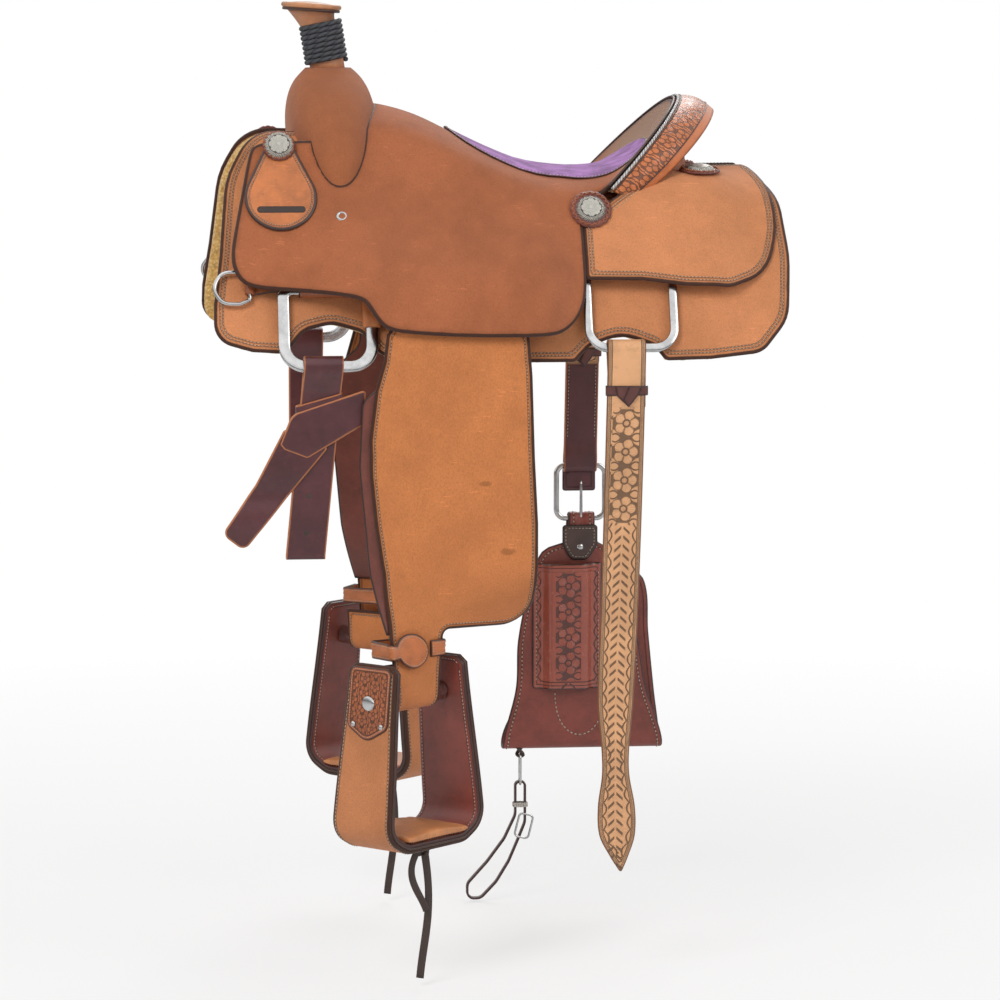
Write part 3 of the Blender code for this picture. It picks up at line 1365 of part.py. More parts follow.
def make_rigging():
    """The leather plate that holds the dees, with a chape round the bar of each."""
    for label, side in SIDES:
        plate = flank_panel(f"rigging_{label}", SKIRT_BED, RIG_OUTLINE, RIG_IN, RIG_OUT,
                            smooth_leather(), side)
        for name, dee, ends in (("front", FRONT_DEE, FRONT_CHAPE_X),
                                ("rear", REAR_DEE, REAR_CHAPE_X)):
            centre = dee_frame(dee, side)[1]
            cut(plate, rod_along_x(f"{name}_chape_{label}", centre, CHAPE_BORE + CHAPE_LEATHER,
                                   ends, side), "UNION")
            wide = (ends[0] - 0.004, ends[1] + 0.004)
            cut(plate, rod_along_x(f"{name}_bore_{label}", centre, CHAPE_BORE, wide, side))
        at, forward, along, out = breast_frame(side)
        frame = Matrix((forward, out, along)).transposed().to_4x4()
        frame.translation = at
        flip = Matrix.Diagonal((1.0, side, 1.0, 1.0))
        reach = 0.0080
        bore = BREAST_CHAPE_BORE
        wide = bore + CHAPE_LEATHER
        tube = turned(f"breast_chape_{label}", ((wide, -reach), (wide, reach)), 14, None,
                      flip @ frame, True)
        cut(plate, tube, "UNION")
        rod = turned(f"breast_bore_{label}", ((bore, -2.0 * reach), (bore, 2.0 * reach)), 14,
                     None, flip @ frame, True)
        cut(plate, rod)
        hinge_x, hinge_z = FENDER_HINGE
        foot = SKIRT_BED.at(hinge_x, SKIRT_BED.q(hinge_x, hinge_z), RIG_OUT).y
        turn = Matrix.Rotation(math.radians(90.0 * -side), 4, "X")
        stud_at = Matrix.Translation((hinge_x, side * foot, hinge_z)) @ turn
        long = FENDER_FACE - TOUCH - foot
        stud = turned(f"leather_stud_{label}", ((STUD_RADIUS, 0.0), (STUD_RADIUS, long)), 16,
                      None, stud_at, True)
        cut(plate, stud, "UNION")

        points = fillet(BREAST_DEE_OUTLINE, True, math.radians(40.0))
        outer, inner = offset_ring(points, BREAST_DEE_ROD / 2.0)
        ring_plate(
            f"breast_dee_{label}", outer, inner,
            lambda a, b, depth: at + forward * a + along * b + out * depth,
            BREAST_DEE_ROD, bright_metal(), side,
        )


def dee_bottom(dee, side):
    """The middle of a dee's bottom bar."""
    place, top, down, outward, drop = dee_frame(dee, side)
    return place(sum(dee["x"]) / 2.0, drop - dee["width"] / 2.0, 0.0)


def hanging_band(name, bar, radius, thick, width, low_z, half_gap, x_at, finish, side,
                 low_radius=None):
    """A strap doubled over a bar and sewn to itself below, as one closed band."""
    foot = half_gap if low_radius is None else low_radius
    top = bar.z + radius
    neck = bar.z - 2.6 * radius
    corners = [
        (-radius, top, radius), (radius, top, radius), (radius, bar.z - 0.8 * radius, 0.02),
        (half_gap, neck, 0.02), (half_gap, low_z + 4.0 * foot, 0.02), (foot, low_z + 1.6 * foot, 0.01),
        (foot, low_z - foot, foot), (-foot, low_z - foot, foot),
        (-foot, low_z + 1.6 * foot, 0.01), (-half_gap, low_z + 4.0 * foot, 0.02),
        (-half_gap, neck, 0.02), (-radius, bar.z - 0.8 * radius, 0.02),
    ]
    outer, inner = offset_ring(fillet(corners, True, math.radians(36.0)), thick / 2.0)
    return ring_plate(
        name, outer, inner,
        lambda a, b, depth: (x_at(b) + depth, bar.y + a, b),
        width, finish, side,
    )


def make_latigo():
    """The near cinch strap: doubled over the dee, tied round itself, with a free tail."""
    side = -1
    bar = dee_bottom(FRONT_DEE, side)
    ring = LATIGO_LOOP_BORE + LATIGO_THICKNESS / 2.0

    def middle(z):
        share = min(1.0, max(0.0, (bar.z - z) / (bar.z - LATIGO_LOW[1])))
        return LATIGO_X + (LATIGO_LOW[0] - LATIGO_X) * share

    body = hanging_band("latigo", bar, ring, LATIGO_THICKNESS, LATIGO_WIDTH, LATIGO_LOW[1],
                        LATIGO_HALF_GAP, middle, burgundy_leather(), side)
    half_x = LATIGO_WIDTH / 2.0 + LATIGO_THICKNESS / 2.0 + TOUCH
    half_w = LATIGO_HALF_GAP + LATIGO_THICKNESS - TOUCH
    belt = ((-half_x, -half_w, 0.004), (half_x, -half_w, 0.004), (half_x, half_w, 0.004),
            (-half_x, half_w, 0.004))
    outer, inner = offset_ring(fillet(belt), LATIGO_THICKNESS / 2.0)
    middle_x, belt_z = middle(-0.208), -0.208

    def around(a, b, depth):
        return middle_x + a, bar.y + b, belt_z + depth + 0.28 * a

    cut(body, ring_plate("latigo_wrap", outer, inner, around, 0.042, None, side, True), "UNION")
    under = half_w - LATIGO_THICKNESS * 0.6
    tail = ((-0.2880, -0.2230), (-0.2350, -0.2450), (-0.2810, -0.3000), (-0.3380, -0.3700, 0.01),
            (-0.3640, -0.3500, 0.01), (-0.3230, -0.2900))
    cut(body, panel(
        "latigo_tail", fillet(tail),
        lambda a, b, out: (a, bar.y + under + LATIGO_THICKNESS * out, b),
        None, (), (), side, True), "UNION")
    return body


def make_off_billet():
    side = 1
    bar = dee_bottom(FRONT_DEE, side)
    ring = LATIGO_LOOP_BORE + LATIGO_THICKNESS / 2.0
    x = sum(FRONT_DEE["x"]) / 2.0
    hanging_band("off_billet", bar, ring, LATIGO_THICKNESS, OFF_BILLET_WIDTH, OFF_BILLET_LOW_Z,
                 LATIGO_HALF_GAP, lambda z: x, burgundy_leather(), side)


def make_rear_billets():
    """The tooled near billet with its free tip, and the off billet down to the buckle."""
    ring = BILLET_LOOP_BORE + BILLET_THICKNESS / 2.0
    bar = dee_bottom(REAR_DEE, -1)
    front, back = bar.y + ring, bar.y - ring
    behind = front - BILLET_THICKNESS - SLIDE
    top = bar.z + ring
    turn_z = bar.z - 2.5 * ring
    track = Track(
        ((behind, NEAR_BILLET_LAP_Z), (behind, turn_z - 0.012, 0.02),
         (back, bar.z - 0.4 * ring, 0.02), (back, top, ring), (front, top, ring),
         (front, NEAR_BILLET_ROWS[-1][0]))
    )
    over = track.length - (top - NEAR_BILLET_ROWS[-1][0]) + ring * (2.0 - math.pi / 2.0)
    rows = [(0.0, NEAR_BILLET_HALF_WIDTH), (over, NEAR_BILLET_HALF_WIDTH)]
    rows += [(track.length - (z - NEAR_BILLET_ROWS[-1][0]), half, shift)
             for z, half, shift in NEAR_BILLET_ROWS]
    rows = [row for row in rows if row[0] <= track.length + 1e-6]
    strap("rear_billet_near", rows, track, BILLET_THICKNESS, natural_leather(), -1, BILLET_X)

    bar = dee_bottom(REAR_DEE, 1)
    low = BUCKLE_LOOP_BORE + BILLET_THICKNESS / 2.0
    low_z = BUCKLE_Z[0] - BUCKLE_BAR / 2.0
    hanging_band("rear_billet_off", bar, ring, BILLET_THICKNESS, OFF_REAR_BILLET_WIDTH, low_z,
                 BILLET_THICKNESS / 2.0 + TOUCH, lambda z: OFF_REAR_BILLET_X + 0.02 * (z - bar.z),
                 burgundy_leather(), 1, low)


def cinch_track():
    """The back cinch's line of (w, z): its end, round the buckle's bar, down, folded, up."""
    bar = dee_bottom(REAR_DEE, 1)
    low_z = BUCKLE_Z[1] + BUCKLE_BAR / 2.0
    ring = BUCKLE_LOOP_BORE + CINCH_THICKNESS / 2.0
    fold = (CINCH_BACK_STAND + ring) / 2.0
    return bar, low_z, ring, Track((
        (bar.y + ring, low_z - 0.036), (bar.y + ring, low_z + ring, ring),
        (bar.y - ring, low_z + ring, ring), (bar.y - ring, CINCH_FOLD_Z, fold),
        (bar.y + CINCH_BACK_STAND, CINCH_FOLD_Z, fold),
        (bar.y + CINCH_BACK_STAND, CINCH_FOLD_Z + 0.250),
    ))


def snap_place():
    """The middle of the hole that the snap hangs in."""
    bar, low_z, ring, track = cinch_track()
    w = bar.y + (CINCH_BACK_STAND - ring) / 2.0
    return Vector((SNAP_X, w, CINCH_FOLD_Z - SNAP_LUG + 0.0055))


def make_back_cinch():
    """The buckle and tongue, the folded cinch, its safe, its keeper, snap and strap."""
    bar, low_z, ring, track = cinch_track()
    x0, x1 = BUCKLE_X
    middle_x = sum(BUCKLE_X) / 2.0
    half = BUCKLE_BAR / 2.0
    corners = ((x0 + half, BUCKLE_Z[1] + half, 0.010), (x1 - half, BUCKLE_Z[1] + half, 0.010),
               (x1 - half, BUCKLE_Z[0] - half, 0.010), (x0 + half, BUCKLE_Z[0] - half, 0.010))
    outer, inner = offset_ring(fillet(corners), half)
    ring_plate("cinch_buckle", outer, inner, lambda a, b, depth: (a, bar.y + depth, b),
               BUCKLE_THICKNESS, bright_metal(), 1)

    bore = BUCKLE_LOOP_BORE
    circle = [Vector((math.cos(t), math.sin(t))) for t in
              (2.0 * math.pi * k / 14.0 for k in range(14))]
    tongue = ring_plate(
        "cinch_buckle_tongue", [c * (bore + TONGUE_THICKNESS) for c in circle],
        [c * bore for c in circle],
        lambda a, b, depth: (middle_x + depth, bar.y + a, low_z + b),
        TONGUE_WIDTH, bright_metal(), 1,
    )
    shank_top = BUCKLE_Z[0] - BUCKLE_BAR - 0.016
    near, far = bar.y - bore - TONGUE_THICKNESS, bar.y - bore
    shank = loft("tongue_shank", [
        [(middle_x - half_wide, near, z), (middle_x + half_wide, near, z),
         (middle_x + half_wide, far, z), (middle_x - half_wide, far, z)]
        for z, half_wide in ((low_z - 0.0005, TONGUE_WIDTH * 0.45), (shank_top, TONGUE_WIDTH * 0.3))
    ], None, 1, True)
    cut(tongue, shank, "UNION")

    spans = [(b - a).length for a, b in zip(track.points, track.points[1:])]
    front = spans.index(max(spans))
    start, start_z = track.places[front], track.points[front].y
    rows = [(0.0, CINCH_ROWS[0][1])]
    rows += [(start + start_z - z, reach, shift) for z, reach, shift in CINCH_ROWS]
    end_z = track.points[-1].y
    rows += [(track.length - end_z + z, reach, shift) for z, reach, shift in CINCH_BACK_ROWS]
    cinch = strap("flank_cinch", rows, track, CINCH_THICKNESS, burgundy_leather(), 1, middle_x)
    slot = 0.0100
    notch = loft("tongue_notch", [
        [(middle_x - slot / 2, w, z), (middle_x + slot / 2, w, z),
         (middle_x + slot / 2, w + 0.04, z), (middle_x - slot / 2, w + 0.04, z)]
        for w, z in ((bar.y - 0.02, low_z - 0.0100), (bar.y - 0.02, low_z + 0.0250))
    ], None, 1, True)
    cut(cinch, notch, close_folds=True)
    lug_top = CINCH_FOLD_Z - CINCH_THICKNESS * 0.2
    lug_low = CINCH_FOLD_Z - SNAP_LUG
    lug_w, lug_z = snap_place().y, snap_place().z
    thick = 0.0016
    hole = SNAP_WIRE / 2.0 * 1.42 + TOUCH
    lug = loft("snap_lug", [
        [(SNAP_X - 0.006, lug_w - thick, z), (SNAP_X + 0.006, lug_w - thick, z),
         (SNAP_X + 0.006, lug_w + thick, z), (SNAP_X - 0.006, lug_w + thick, z)]
        for z in (lug_low, lug_top)
    ], None, 1, True)
    cut(cinch, lug, "UNION")
    turn = Matrix.Rotation(math.radians(90.0), 4, "X")
    cut(cinch, turned("snap_hole", ((hole, -0.01), (hole, 0.01)), 16, None,
                      Matrix.Translation((SNAP_X, lug_w, lug_z)) @ turn, True))

    face = bar.y - ring - CINCH_THICKNESS / 2.0 - TOUCH
    safe = ((0.1080, low_z - 0.0085, 0.004), (0.1080, -0.4270, 0.012), (0.1190, -0.4470, 0.010),
            (0.1410, -0.4470, 0.010), (0.1540, -0.4270, 0.012), (0.1540, low_z - 0.0085, 0.004))
    panel("buckle_safe", fillet(safe),
          lambda a, b, out: (a, face - (0.0 if out else SAFE_THICKNESS), b),
          material("dark_leather", (0.07, 0.045, 0.04), 0.6), (), (), 1)
    k0, k1 = KEEPER_X
    edge = 0.010

    def keeper(a, b, out):
        rise = blend_step(k0 + edge, k0 + edge + 0.014, a)
        rise *= 1.0 - blend_step(k1 - edge - 0.014, k1 - edge, a)
        return a, face - KEEPER_RISE * rise - (0.0 if out else KEEPER_THICKNESS), b

    outline = ((k0, KEEPER_Z[1]), (k1, KEEPER_Z[1]), (k1, KEEPER_Z[0]), (k0, KEEPER_Z[0]))
    cuts = [k0 + edge + 0.0047 * k for k in range(4)] + [k1 - edge - 0.0047 * k for k in range(4)]
    panel("cinch_keeper", [Vector(c) for c in outline], keeper,
          smooth_leather(), sorted(cuts), (), 1)

    half_wire = SNAP_WIRE / 2.0
    low = lug_z - SNAP_HEIGHT
    link = ((-SNAP_WIDTH / 2, lug_z, 0.004), (SNAP_WIDTH / 2, lug_z, 0.004),
            (SNAP_WIDTH / 2, low, 0.004), (-SNAP_WIDTH / 2, low, 0.004))
    outer, inner = offset_ring(fillet(link), half_wire)
    ring_plate("snap", outer, inner, lambda a, b, depth: (SNAP_X + depth, lug_w + a, b),
               SNAP_WIRE, bright_metal(), 1)
    arch = half_wire + SLIDE + CONNECTOR_THICKNESS / 2.0
    line = [(SNAP_X + a - 0.0065, low + arch - 0.0053 + b, r) for a, b, r in CONNECTOR_PATH]
    outer, inner = offset_ring(fillet(line, True, math.radians(40.0)), CONNECTOR_THICKNESS / 2.0)
    ring_plate("connector_strap", outer, inner, lambda a, b, depth: (a, lug_w + depth, b),
               CONNECTOR_WIDTH, burgundy_leather(), 1)


def bolt_axis(side):
    """The stirrup bolt's middle and its direction, across the stirrup's legs."""
    at = Vector(stirrup_frame(0.0, 0.0, 0.0))
    along = Vector(stirrup_frame(1.0, 0.0, 0.0)) - at
    return Vector((at.x, side * at.y, at.z)), Vector((along.x, side * along.y, 0.0))


def pivots():
    """Each moving body's joint: a point on its axis, and the axis, for the pieces that ride on it."""
    found = {}
    for label, side in SIDES:
        out = Vector((float(side), 0.0, 0.0))
        for name, dee in (("front_dee", FRONT_DEE), ("rear_dee", REAR_DEE)):
            top = dee_frame(dee, side)[1]
            at = Vector((sum(dee["x"]) / 2.0, side * top.y, top.z))
            found[f"{name}_{label}"] = (at, out, [f"{name}_{label}"])
        at, forward, along, outward = (
            Vector((v.x, side * v.y, v.z)) for v in breast_frame(side)
        )
        if along.cross(forward).dot(outward) < 0.0:
            along = -along
        found[f"breast_dee_{label}"] = (at, along, [f"breast_dee_{label}"])
        hinge_x, hinge_z = FENDER_HINGE
        at = Vector((hinge_x, side * FENDER_FACE, hinge_z))
        pieces = [f"fender_{label}", f"stirrup_leather_{label}", f"hobble_strap_{label}"]
        found[f"fender_{label}"] = (at, Vector((0.0, -1.0, 0.0)), pieces)
        at, along = bolt_axis(side)
        pieces = [f"stirrup_{label}", f"stirrup_bolt_{label}", f"stirrup_tread_{label}",
                  f"stirrup_lace_{label}"]
        found[f"stirrup_{label}"] = (at, along, pieces)
    for name, dee, side in (("latigo", FRONT_DEE, -1), ("off_billet", FRONT_DEE, 1),
                            ("rear_billet_near", REAR_DEE, -1), ("rear_billet_off", REAR_DEE, 1)):
        low = dee_bottom(dee, side)
        found[name] = (Vector((low.x, side * low.y, low.z)), Vector((float(side), 0.0, 0.0)), [name])
    bar = dee_bottom(REAR_DEE, 1)
    middle_x = sum(BUCKLE_X) / 2.0
    across = Vector((1.0, 0.0, 0.0))
    at = Vector((middle_x, bar.y, BUCKLE_Z[0] - BUCKLE_BAR / 2.0))
    found["cinch_buckle"] = (at, across, ["cinch_buckle", "cinch_buckle_tongue"])
    at = Vector((middle_x, bar.y, BUCKLE_Z[1] + BUCKLE_BAR / 2.0))
    found["flank_cinch"] = (at, across, ["flank_cinch", "buckle_safe", "cinch_keeper"])
    lug = snap_place()
    found["snap"] = (lug, Vector((0.0, 1.0, 0.0)), ["snap"])
    found["connector_strap"] = (
        lug - Vector((0.0, 0.0, SNAP_HEIGHT)), Vector((0.0, 1.0, 0.0)), ["connector_strap"],
    )
    return found


def set_pivots():
    """Gives each moving piece its origin on its joint's axis."""
    for at, axis, pieces in pivots().values():
        for name in pieces:
            piece = PARTS.objects[name]
            piece.data.transform(Matrix.Translation(-at))
            piece.location = at


def clear_scene():
    for old in list(bpy.data.objects):
        bpy.data.objects.remove(old, do_unlink=True)


def new_collection(name):
    made = bpy.data.collections.new(name)
    bpy.context.scene.collection.children.link(made)
    return made


clear_scene()
PARTS = new_collection(OBJECT_NAME)
CUTTERS = new_collection("cutters")
make_skirts()
make_tree()
make_swell_cover()
make_seat()
make_rim_pieces()
make_inlay()
make_horn()
make_conchos()
make_latigo_carriers()
make_dees()
make_rigging()
make_latigo()
make_off_billet()
make_rear_billets()
make_back_cinch()
make_fenders()
make_stirrup_leathers()
make_hobble_straps()
make_stirrups()
make_laces()
set_pivots()
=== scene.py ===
"""A western roping saddle: leather, fleece, metal and thread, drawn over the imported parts."""

import json
import math

import bmesh
import bpy
import numpy as np
from bpy.props import FloatProperty, FloatVectorProperty, PointerProperty
from mathutils import Matrix, Vector, kdtree, noise
from mathutils.geometry import delaunay_2d_cdt


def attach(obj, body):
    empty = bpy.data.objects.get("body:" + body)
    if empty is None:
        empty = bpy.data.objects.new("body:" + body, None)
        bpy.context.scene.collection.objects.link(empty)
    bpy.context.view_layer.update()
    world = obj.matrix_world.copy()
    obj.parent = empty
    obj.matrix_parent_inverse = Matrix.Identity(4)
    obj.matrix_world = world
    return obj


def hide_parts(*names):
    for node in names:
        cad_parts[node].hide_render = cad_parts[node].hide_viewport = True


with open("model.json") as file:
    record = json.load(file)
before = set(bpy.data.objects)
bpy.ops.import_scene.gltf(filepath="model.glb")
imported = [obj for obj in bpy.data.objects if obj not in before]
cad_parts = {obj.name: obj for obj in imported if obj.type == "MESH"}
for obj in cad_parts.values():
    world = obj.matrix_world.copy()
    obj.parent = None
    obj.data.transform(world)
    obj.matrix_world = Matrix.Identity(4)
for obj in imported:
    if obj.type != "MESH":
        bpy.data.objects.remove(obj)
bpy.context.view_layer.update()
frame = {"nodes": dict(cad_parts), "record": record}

bl_info = {
    "name": "Western roping saddle",
    "version": (1, 0, 0),
    "blender": (4, 5, 0),
    "location": "3D View > Sidebar > Saddle",
    "description": "Builds the leather, fleece, metal and thread of a roping saddle on its frame",
    "category": "Object",
}

SIDES = (("near", -1), ("off", 1))

# Clearances
TOUCH = 0.0004
SLIDE = 0.0008

# Leather and padding thicknesses
SKIRT_LEATHER = 0.0050
SEAT_LEATHER = 0.0050
JOCKEY_LEATHER = 0.0045
FENDER_LEATHER = 0.0036
CANTLE_LEATHER = 0.0030
STIRRUP_LEATHER = 0.0030
FLEECE_DEPTH = 0.0150
BAR_DEPTH = 0.0165

# Cross-section of the skirts: half width w at height z, and the ridge line along x
SPREAD = 0.06
SKIRT_FLANK = (
    (-0.19, 0.2390), (-0.15, 0.2275), (-0.12, 0.2175), (-0.09, 0.2065), (-0.06, 0.1945),
    (-0.03, 0.1795), (0.0, 0.160), (0.03, 0.141), (0.06, 0.123), (0.09, 0.106),
    (0.12, 0.090), (0.15, 0.075), (0.18, 0.060),
)
SKIRT_RIDGE = (
    (-0.40, 0.150), (-0.30, 0.150), (-0.22, 0.138), (-0.10, 0.100), (0.05, 0.078),
    (0.20, 0.079), (0.36, 0.080),
)
SKIRT_SHOULDER = 0.050

# Cross-section of the seat and its jockeys, outer face
SEAT_FLANK = (
    (-0.19, 0.2735), (-0.12, 0.2735), (-0.065, 0.2727), (-0.045, 0.2660), (-0.02, 0.2400),
    (0.0, 0.214), (0.03, 0.184), (0.06, 0.160), (0.085, 0.144), (0.11, 0.129),
    (0.14, 0.106), (0.18, 0.066),
)
SEAT_RIDGE = (
    (-0.36, 0.168), (-0.155, 0.166), (-0.127, 0.156), (-0.095, 0.149), (-0.057, 0.126),
    (0.013, 0.095), (0.05, 0.087), (0.083, 0.084),
)
SEAT_SHOULDER = 0.036
JOCKEY_LIFT_HIGH = 0.0345
JOCKEY_LIFT_LOW = 0.0300
FENDER_ZONE = (-0.250, -0.185, 0.020, 0.082)

# Seat outline: ribs from the top to the bottom edge, x and z
SEAT_RIBS = (
    (-0.322, 0.112, -0.3500, -0.0150),
    (-0.316, 0.1165, -0.3440, -0.0380),
    (-0.306, 0.120, -0.3300, -0.0505),
    (-0.290, 0.122, -0.3050, -0.0540),
    (-0.250, 0.122, -0.2550, -0.0570),
    (-0.205, 0.124, -0.2040, -0.0605),
    (-0.188, 0.130, -0.1880, -0.0660),
    (-0.176, 0.133, -0.1760, -0.0900),
    (-0.164, 0.132, -0.1640, -0.1010),
    (-0.145, 0.126, -0.1450, -0.1045),
    (-0.105, 0.112, -0.1050, -0.1080),
    (-0.060, 0.096, -0.0600, -0.1100),
    (-0.010, 0.075, -0.0100, -0.1105),
    (0.028, 0.063, 0.0280, -0.1100),
    (0.050, 0.058, 0.0500, -0.1080),
    (0.068, 0.056, 0.0680, -0.0950),
    (0.078, 0.055, 0.0780, -0.0780),
    (0.083, 0.055, 0.0830, -0.0600),
)
SEAT_FIRST_RIDGE_RIB = 7
SEAT_TOP_ROWS = 5
SEAT_SIDE_ROWS = 4
SEAT_ROW_Q = 0.93

# Cantle
CANTLE_HALF_WIDTH = 0.152
CANTLE_END = (0.108, 0.055)
CANTLE_TOP = (0.219, 0.172)
CANTLE_DISH_ROWS = 5
ROLL_WIDTH = 0.047
ROLL_END_WIDTH = 0.016
ROLL_THICKNESS = 0.009
ROLL_DIRECTION = (0.80, -0.60)
ROLL_BULGE = 0.008
CANTLE_BACK_FOOT_X = 0.236

INLAY_LIFT = 0.0016
INLAY_LEATHER = 0.0016
CANTLE_GAP = 0.0013
ROLL_TURN = math.radians(85.0)

# Swell (fork): height, half length, half width, centre x
SWELL = (
    (0.020, 0.030, 0.138, -0.212),
    (0.050, 0.036, 0.148, -0.212),
    (0.066, 0.043, 0.153, -0.212),
    (0.085, 0.050, 0.153, -0.2125),
    (0.110, 0.055, 0.146, -0.2135),
    (0.135, 0.0565, 0.131, -0.2145),
    (0.158, 0.0555, 0.110, -0.2155),
    (0.178, 0.051, 0.086, -0.2165),
    (0.193, 0.044, 0.060, -0.217),
    (0.203, 0.036, 0.040, -0.217),
    (0.210, 0.0285, 0.0285, -0.2175),
)
SWELL_POWER = 2.3

# Horn
HORN_FOOT = (-0.2175, 0.0, 0.2045)
HORN_LEAN = math.radians(9.0)
HORN_NECK_RADIUS = 0.0215
HORN_NECK_LENGTH = 0.072
HORN_CAP_RADIUS = 0.0375
HORN_CAP_THICKNESS = 0.009
HORN_CAP_TILT = math.radians(-13.0)
HORN_CAP_FORWARD = 0.009
WRAP_CORD = 0.0054
WRAP_TURNS = 8
WRAP_FIRST_HEIGHT = 0.0125
WRAP_PITCH = 0.0061

# Fender, and the strap end that turns round the stirrup bolt
FENDER_FACE = 0.2570
FENDER_OUTLINE = (
    (-0.1640, -0.108), (-0.1500, -0.090, 0.02), (-0.1200, -0.078, 0.02),
    (-0.0300, -0.078, 0.02), (-0.0050, -0.090, 0.02), (0.0080, -0.108),
    (0.0120, -0.160), (0.0150, -0.260), (0.0190, -0.340), (0.0190, -0.390),
    (0.0150, -0.4700, 0.035), (-0.0985, -0.4700, 0.010), (-0.0990, -0.520),
    (-0.0990, -0.636), (-0.1770, -0.636), (-0.1770, -0.520), (-0.1700, -0.460),
    (-0.1700, -0.400), (-0.1790, -0.340), (-0.1850, -0.280), (-0.1855, -0.235),
    (-0.1780, -0.175), (-0.1680, -0.140),
)
SKIVE_FROM_Z = -0.122
SKIVE_TO_Z = -0.104
LEG_CENTRE_X = -0.1380
BOLT_Z = -0.5520
LEG_TURN_RADIUS = 0.0145
TWIST = math.radians(45.0)
TWIST_FROM_Z = -0.380
TWIST_TO_Z = -0.560

STIRRUP_LEATHER_WIDTH = 0.072
STIRRUP_LEATHER_TOP_Z = -0.080
FENDER_HINGE = (-0.1120, -0.1000)
STUD_RADIUS = 0.0090
STIRRUP_LEATHER_FRONT_X = -0.1960

HOBBLE_Z = -0.4930
HOBBLE_WIDTH = 0.020
HOBBLE_THICKNESS = 0.0030
HOBBLE_BULB_RADIUS = 0.021

# Stirrup, in its own frame: across the legs and down from the bolt
STIRRUP_TOP_ABOVE_BOLT = 0.046
STIRRUP_TOP_HALF_WIDTH = 0.062
STIRRUP_BOTTOM_HALF_WIDTH = 0.087
STIRRUP_DROP = 0.178
STIRRUP_CORNER_RADIUS = 0.040
STIRRUP_THICKNESS = 0.012
STIRRUP_TOP_DEPTH = 0.074
STIRRUP_BOTTOM_DEPTH = 0.090
TREAD_THICKNESS = 0.013
TREAD_PROUD = 0.003
TREAD_HALF_LENGTH = 0.060
BOLT_RADIUS = 0.0060
BOLT_SLEEVE_RADIUS = 0.0118
BOLT_HEAD_RADIUS = 0.0095
BOLT_HEAD = 0.0035

# Laces that hang under the treads
LACE_WIDTH = 0.0065
LACE_THICKNESS = 0.0025
LACE_LENGTH = 0.165

# Rigging dees: x range, hinge z, bottom z, plate width and thickness, lean
FRONT_DEE = {"x": (-0.294, -0.1725), "top": -0.064, "bottom": -0.158, "width": 0.0145,
             "corner": 0.034, "clear": 0.0054}
REAR_DEE = {"x": (0.080, 0.196), "top": -0.045, "bottom": -0.137, "width": 0.0105,
            "corner": 0.030, "clear": 0.0054}
DEE_THICKNESS = 0.0060
DEE_HINGE_RADIUS = 0.0040
DEE_TOP_CORNER = 0.010
RIG_PLATE = 0.0030
RIG_CLEAR = 0.0013
CHAPE_BORE = 0.0055
CHAPE_LEATHER = 0.0020
FRONT_CHAPE_X = (-0.268, -0.198)
REAR_CHAPE_X = (0.105, 0.171)
RIG_OUTLINE = (
    (-0.331, -0.052), (-0.300, -0.036), (-0.230, -0.036), (0.060, -0.036),
    (0.200, -0.036, 0.003), (0.200, -0.0435, 0.003), (0.078, -0.0435, 0.01),
    (0.062, -0.085, 0.02), (-0.060, -0.118, 0.03), (-0.150, -0.118, 0.02),
    (-0.166, -0.0635, 0.01), (-0.300, -0.0625, 0.01), (-0.331, -0.067, 0.002),
)

# Breast collar dee: its straight bar, and its outline forward of that
BREAST_DEE_AT = (-0.3270, -0.0590)
BREAST_DEE_ROD = 0.0050
BREAST_DEE_OUT = 0.0122
BREAST_CHAPE_BORE = 0.0040
BREAST_DEE_OUTLINE = (
    (0.0, 0.0150, 0.004), (0.0120, 0.0205, 0.010), (0.0330, 0.0200, 0.016),
    (0.0460, 0.0, 0.022), (0.0330, -0.0200, 0.016), (0.0120, -0.0205, 0.010),
    (0.0, -0.0150, 0.004),
)

# Straps that hang from the dees: thickness and the bore of their loops
LATIGO_THICKNESS = 0.0040
LATIGO_WIDTH = 0.0480
LATIGO_X = -0.2400
LATIGO_LOW = (-0.2630, -0.3780)
LATIGO_LOOP_BORE = 0.0088
LATIGO_HALF_GAP = 0.0028
OFF_BILLET_WIDTH = 0.0450
OFF_BILLET_LOW_Z = -0.3450
BILLET_THICKNESS = 0.0038
BILLET_LOOP_BORE = 0.0066
NEAR_BILLET_LAP_Z = -0.2000
NEAR_BILLET_HALF_WIDTH = 0.0230
NEAR_BILLET_ROWS = (
    (-0.3000, 0.0230, -0.0040),
    (-0.4500, 0.0225, -0.0085), (-0.5620, 0.0215, -0.0130), (-0.6250, 0.0165, -0.0130),
    (-0.6550, 0.0165, -0.0125), (-0.6950, 0.0225, -0.0115), (-0.7300, 0.0215, -0.0105),
    (-0.7560, 0.0110, -0.0080), (-0.7750, 0.0010, -0.0060),
)
BILLET_X = 0.1300
OFF_REAR_BILLET_X = 0.1360
OFF_REAR_BILLET_WIDTH = 0.0440

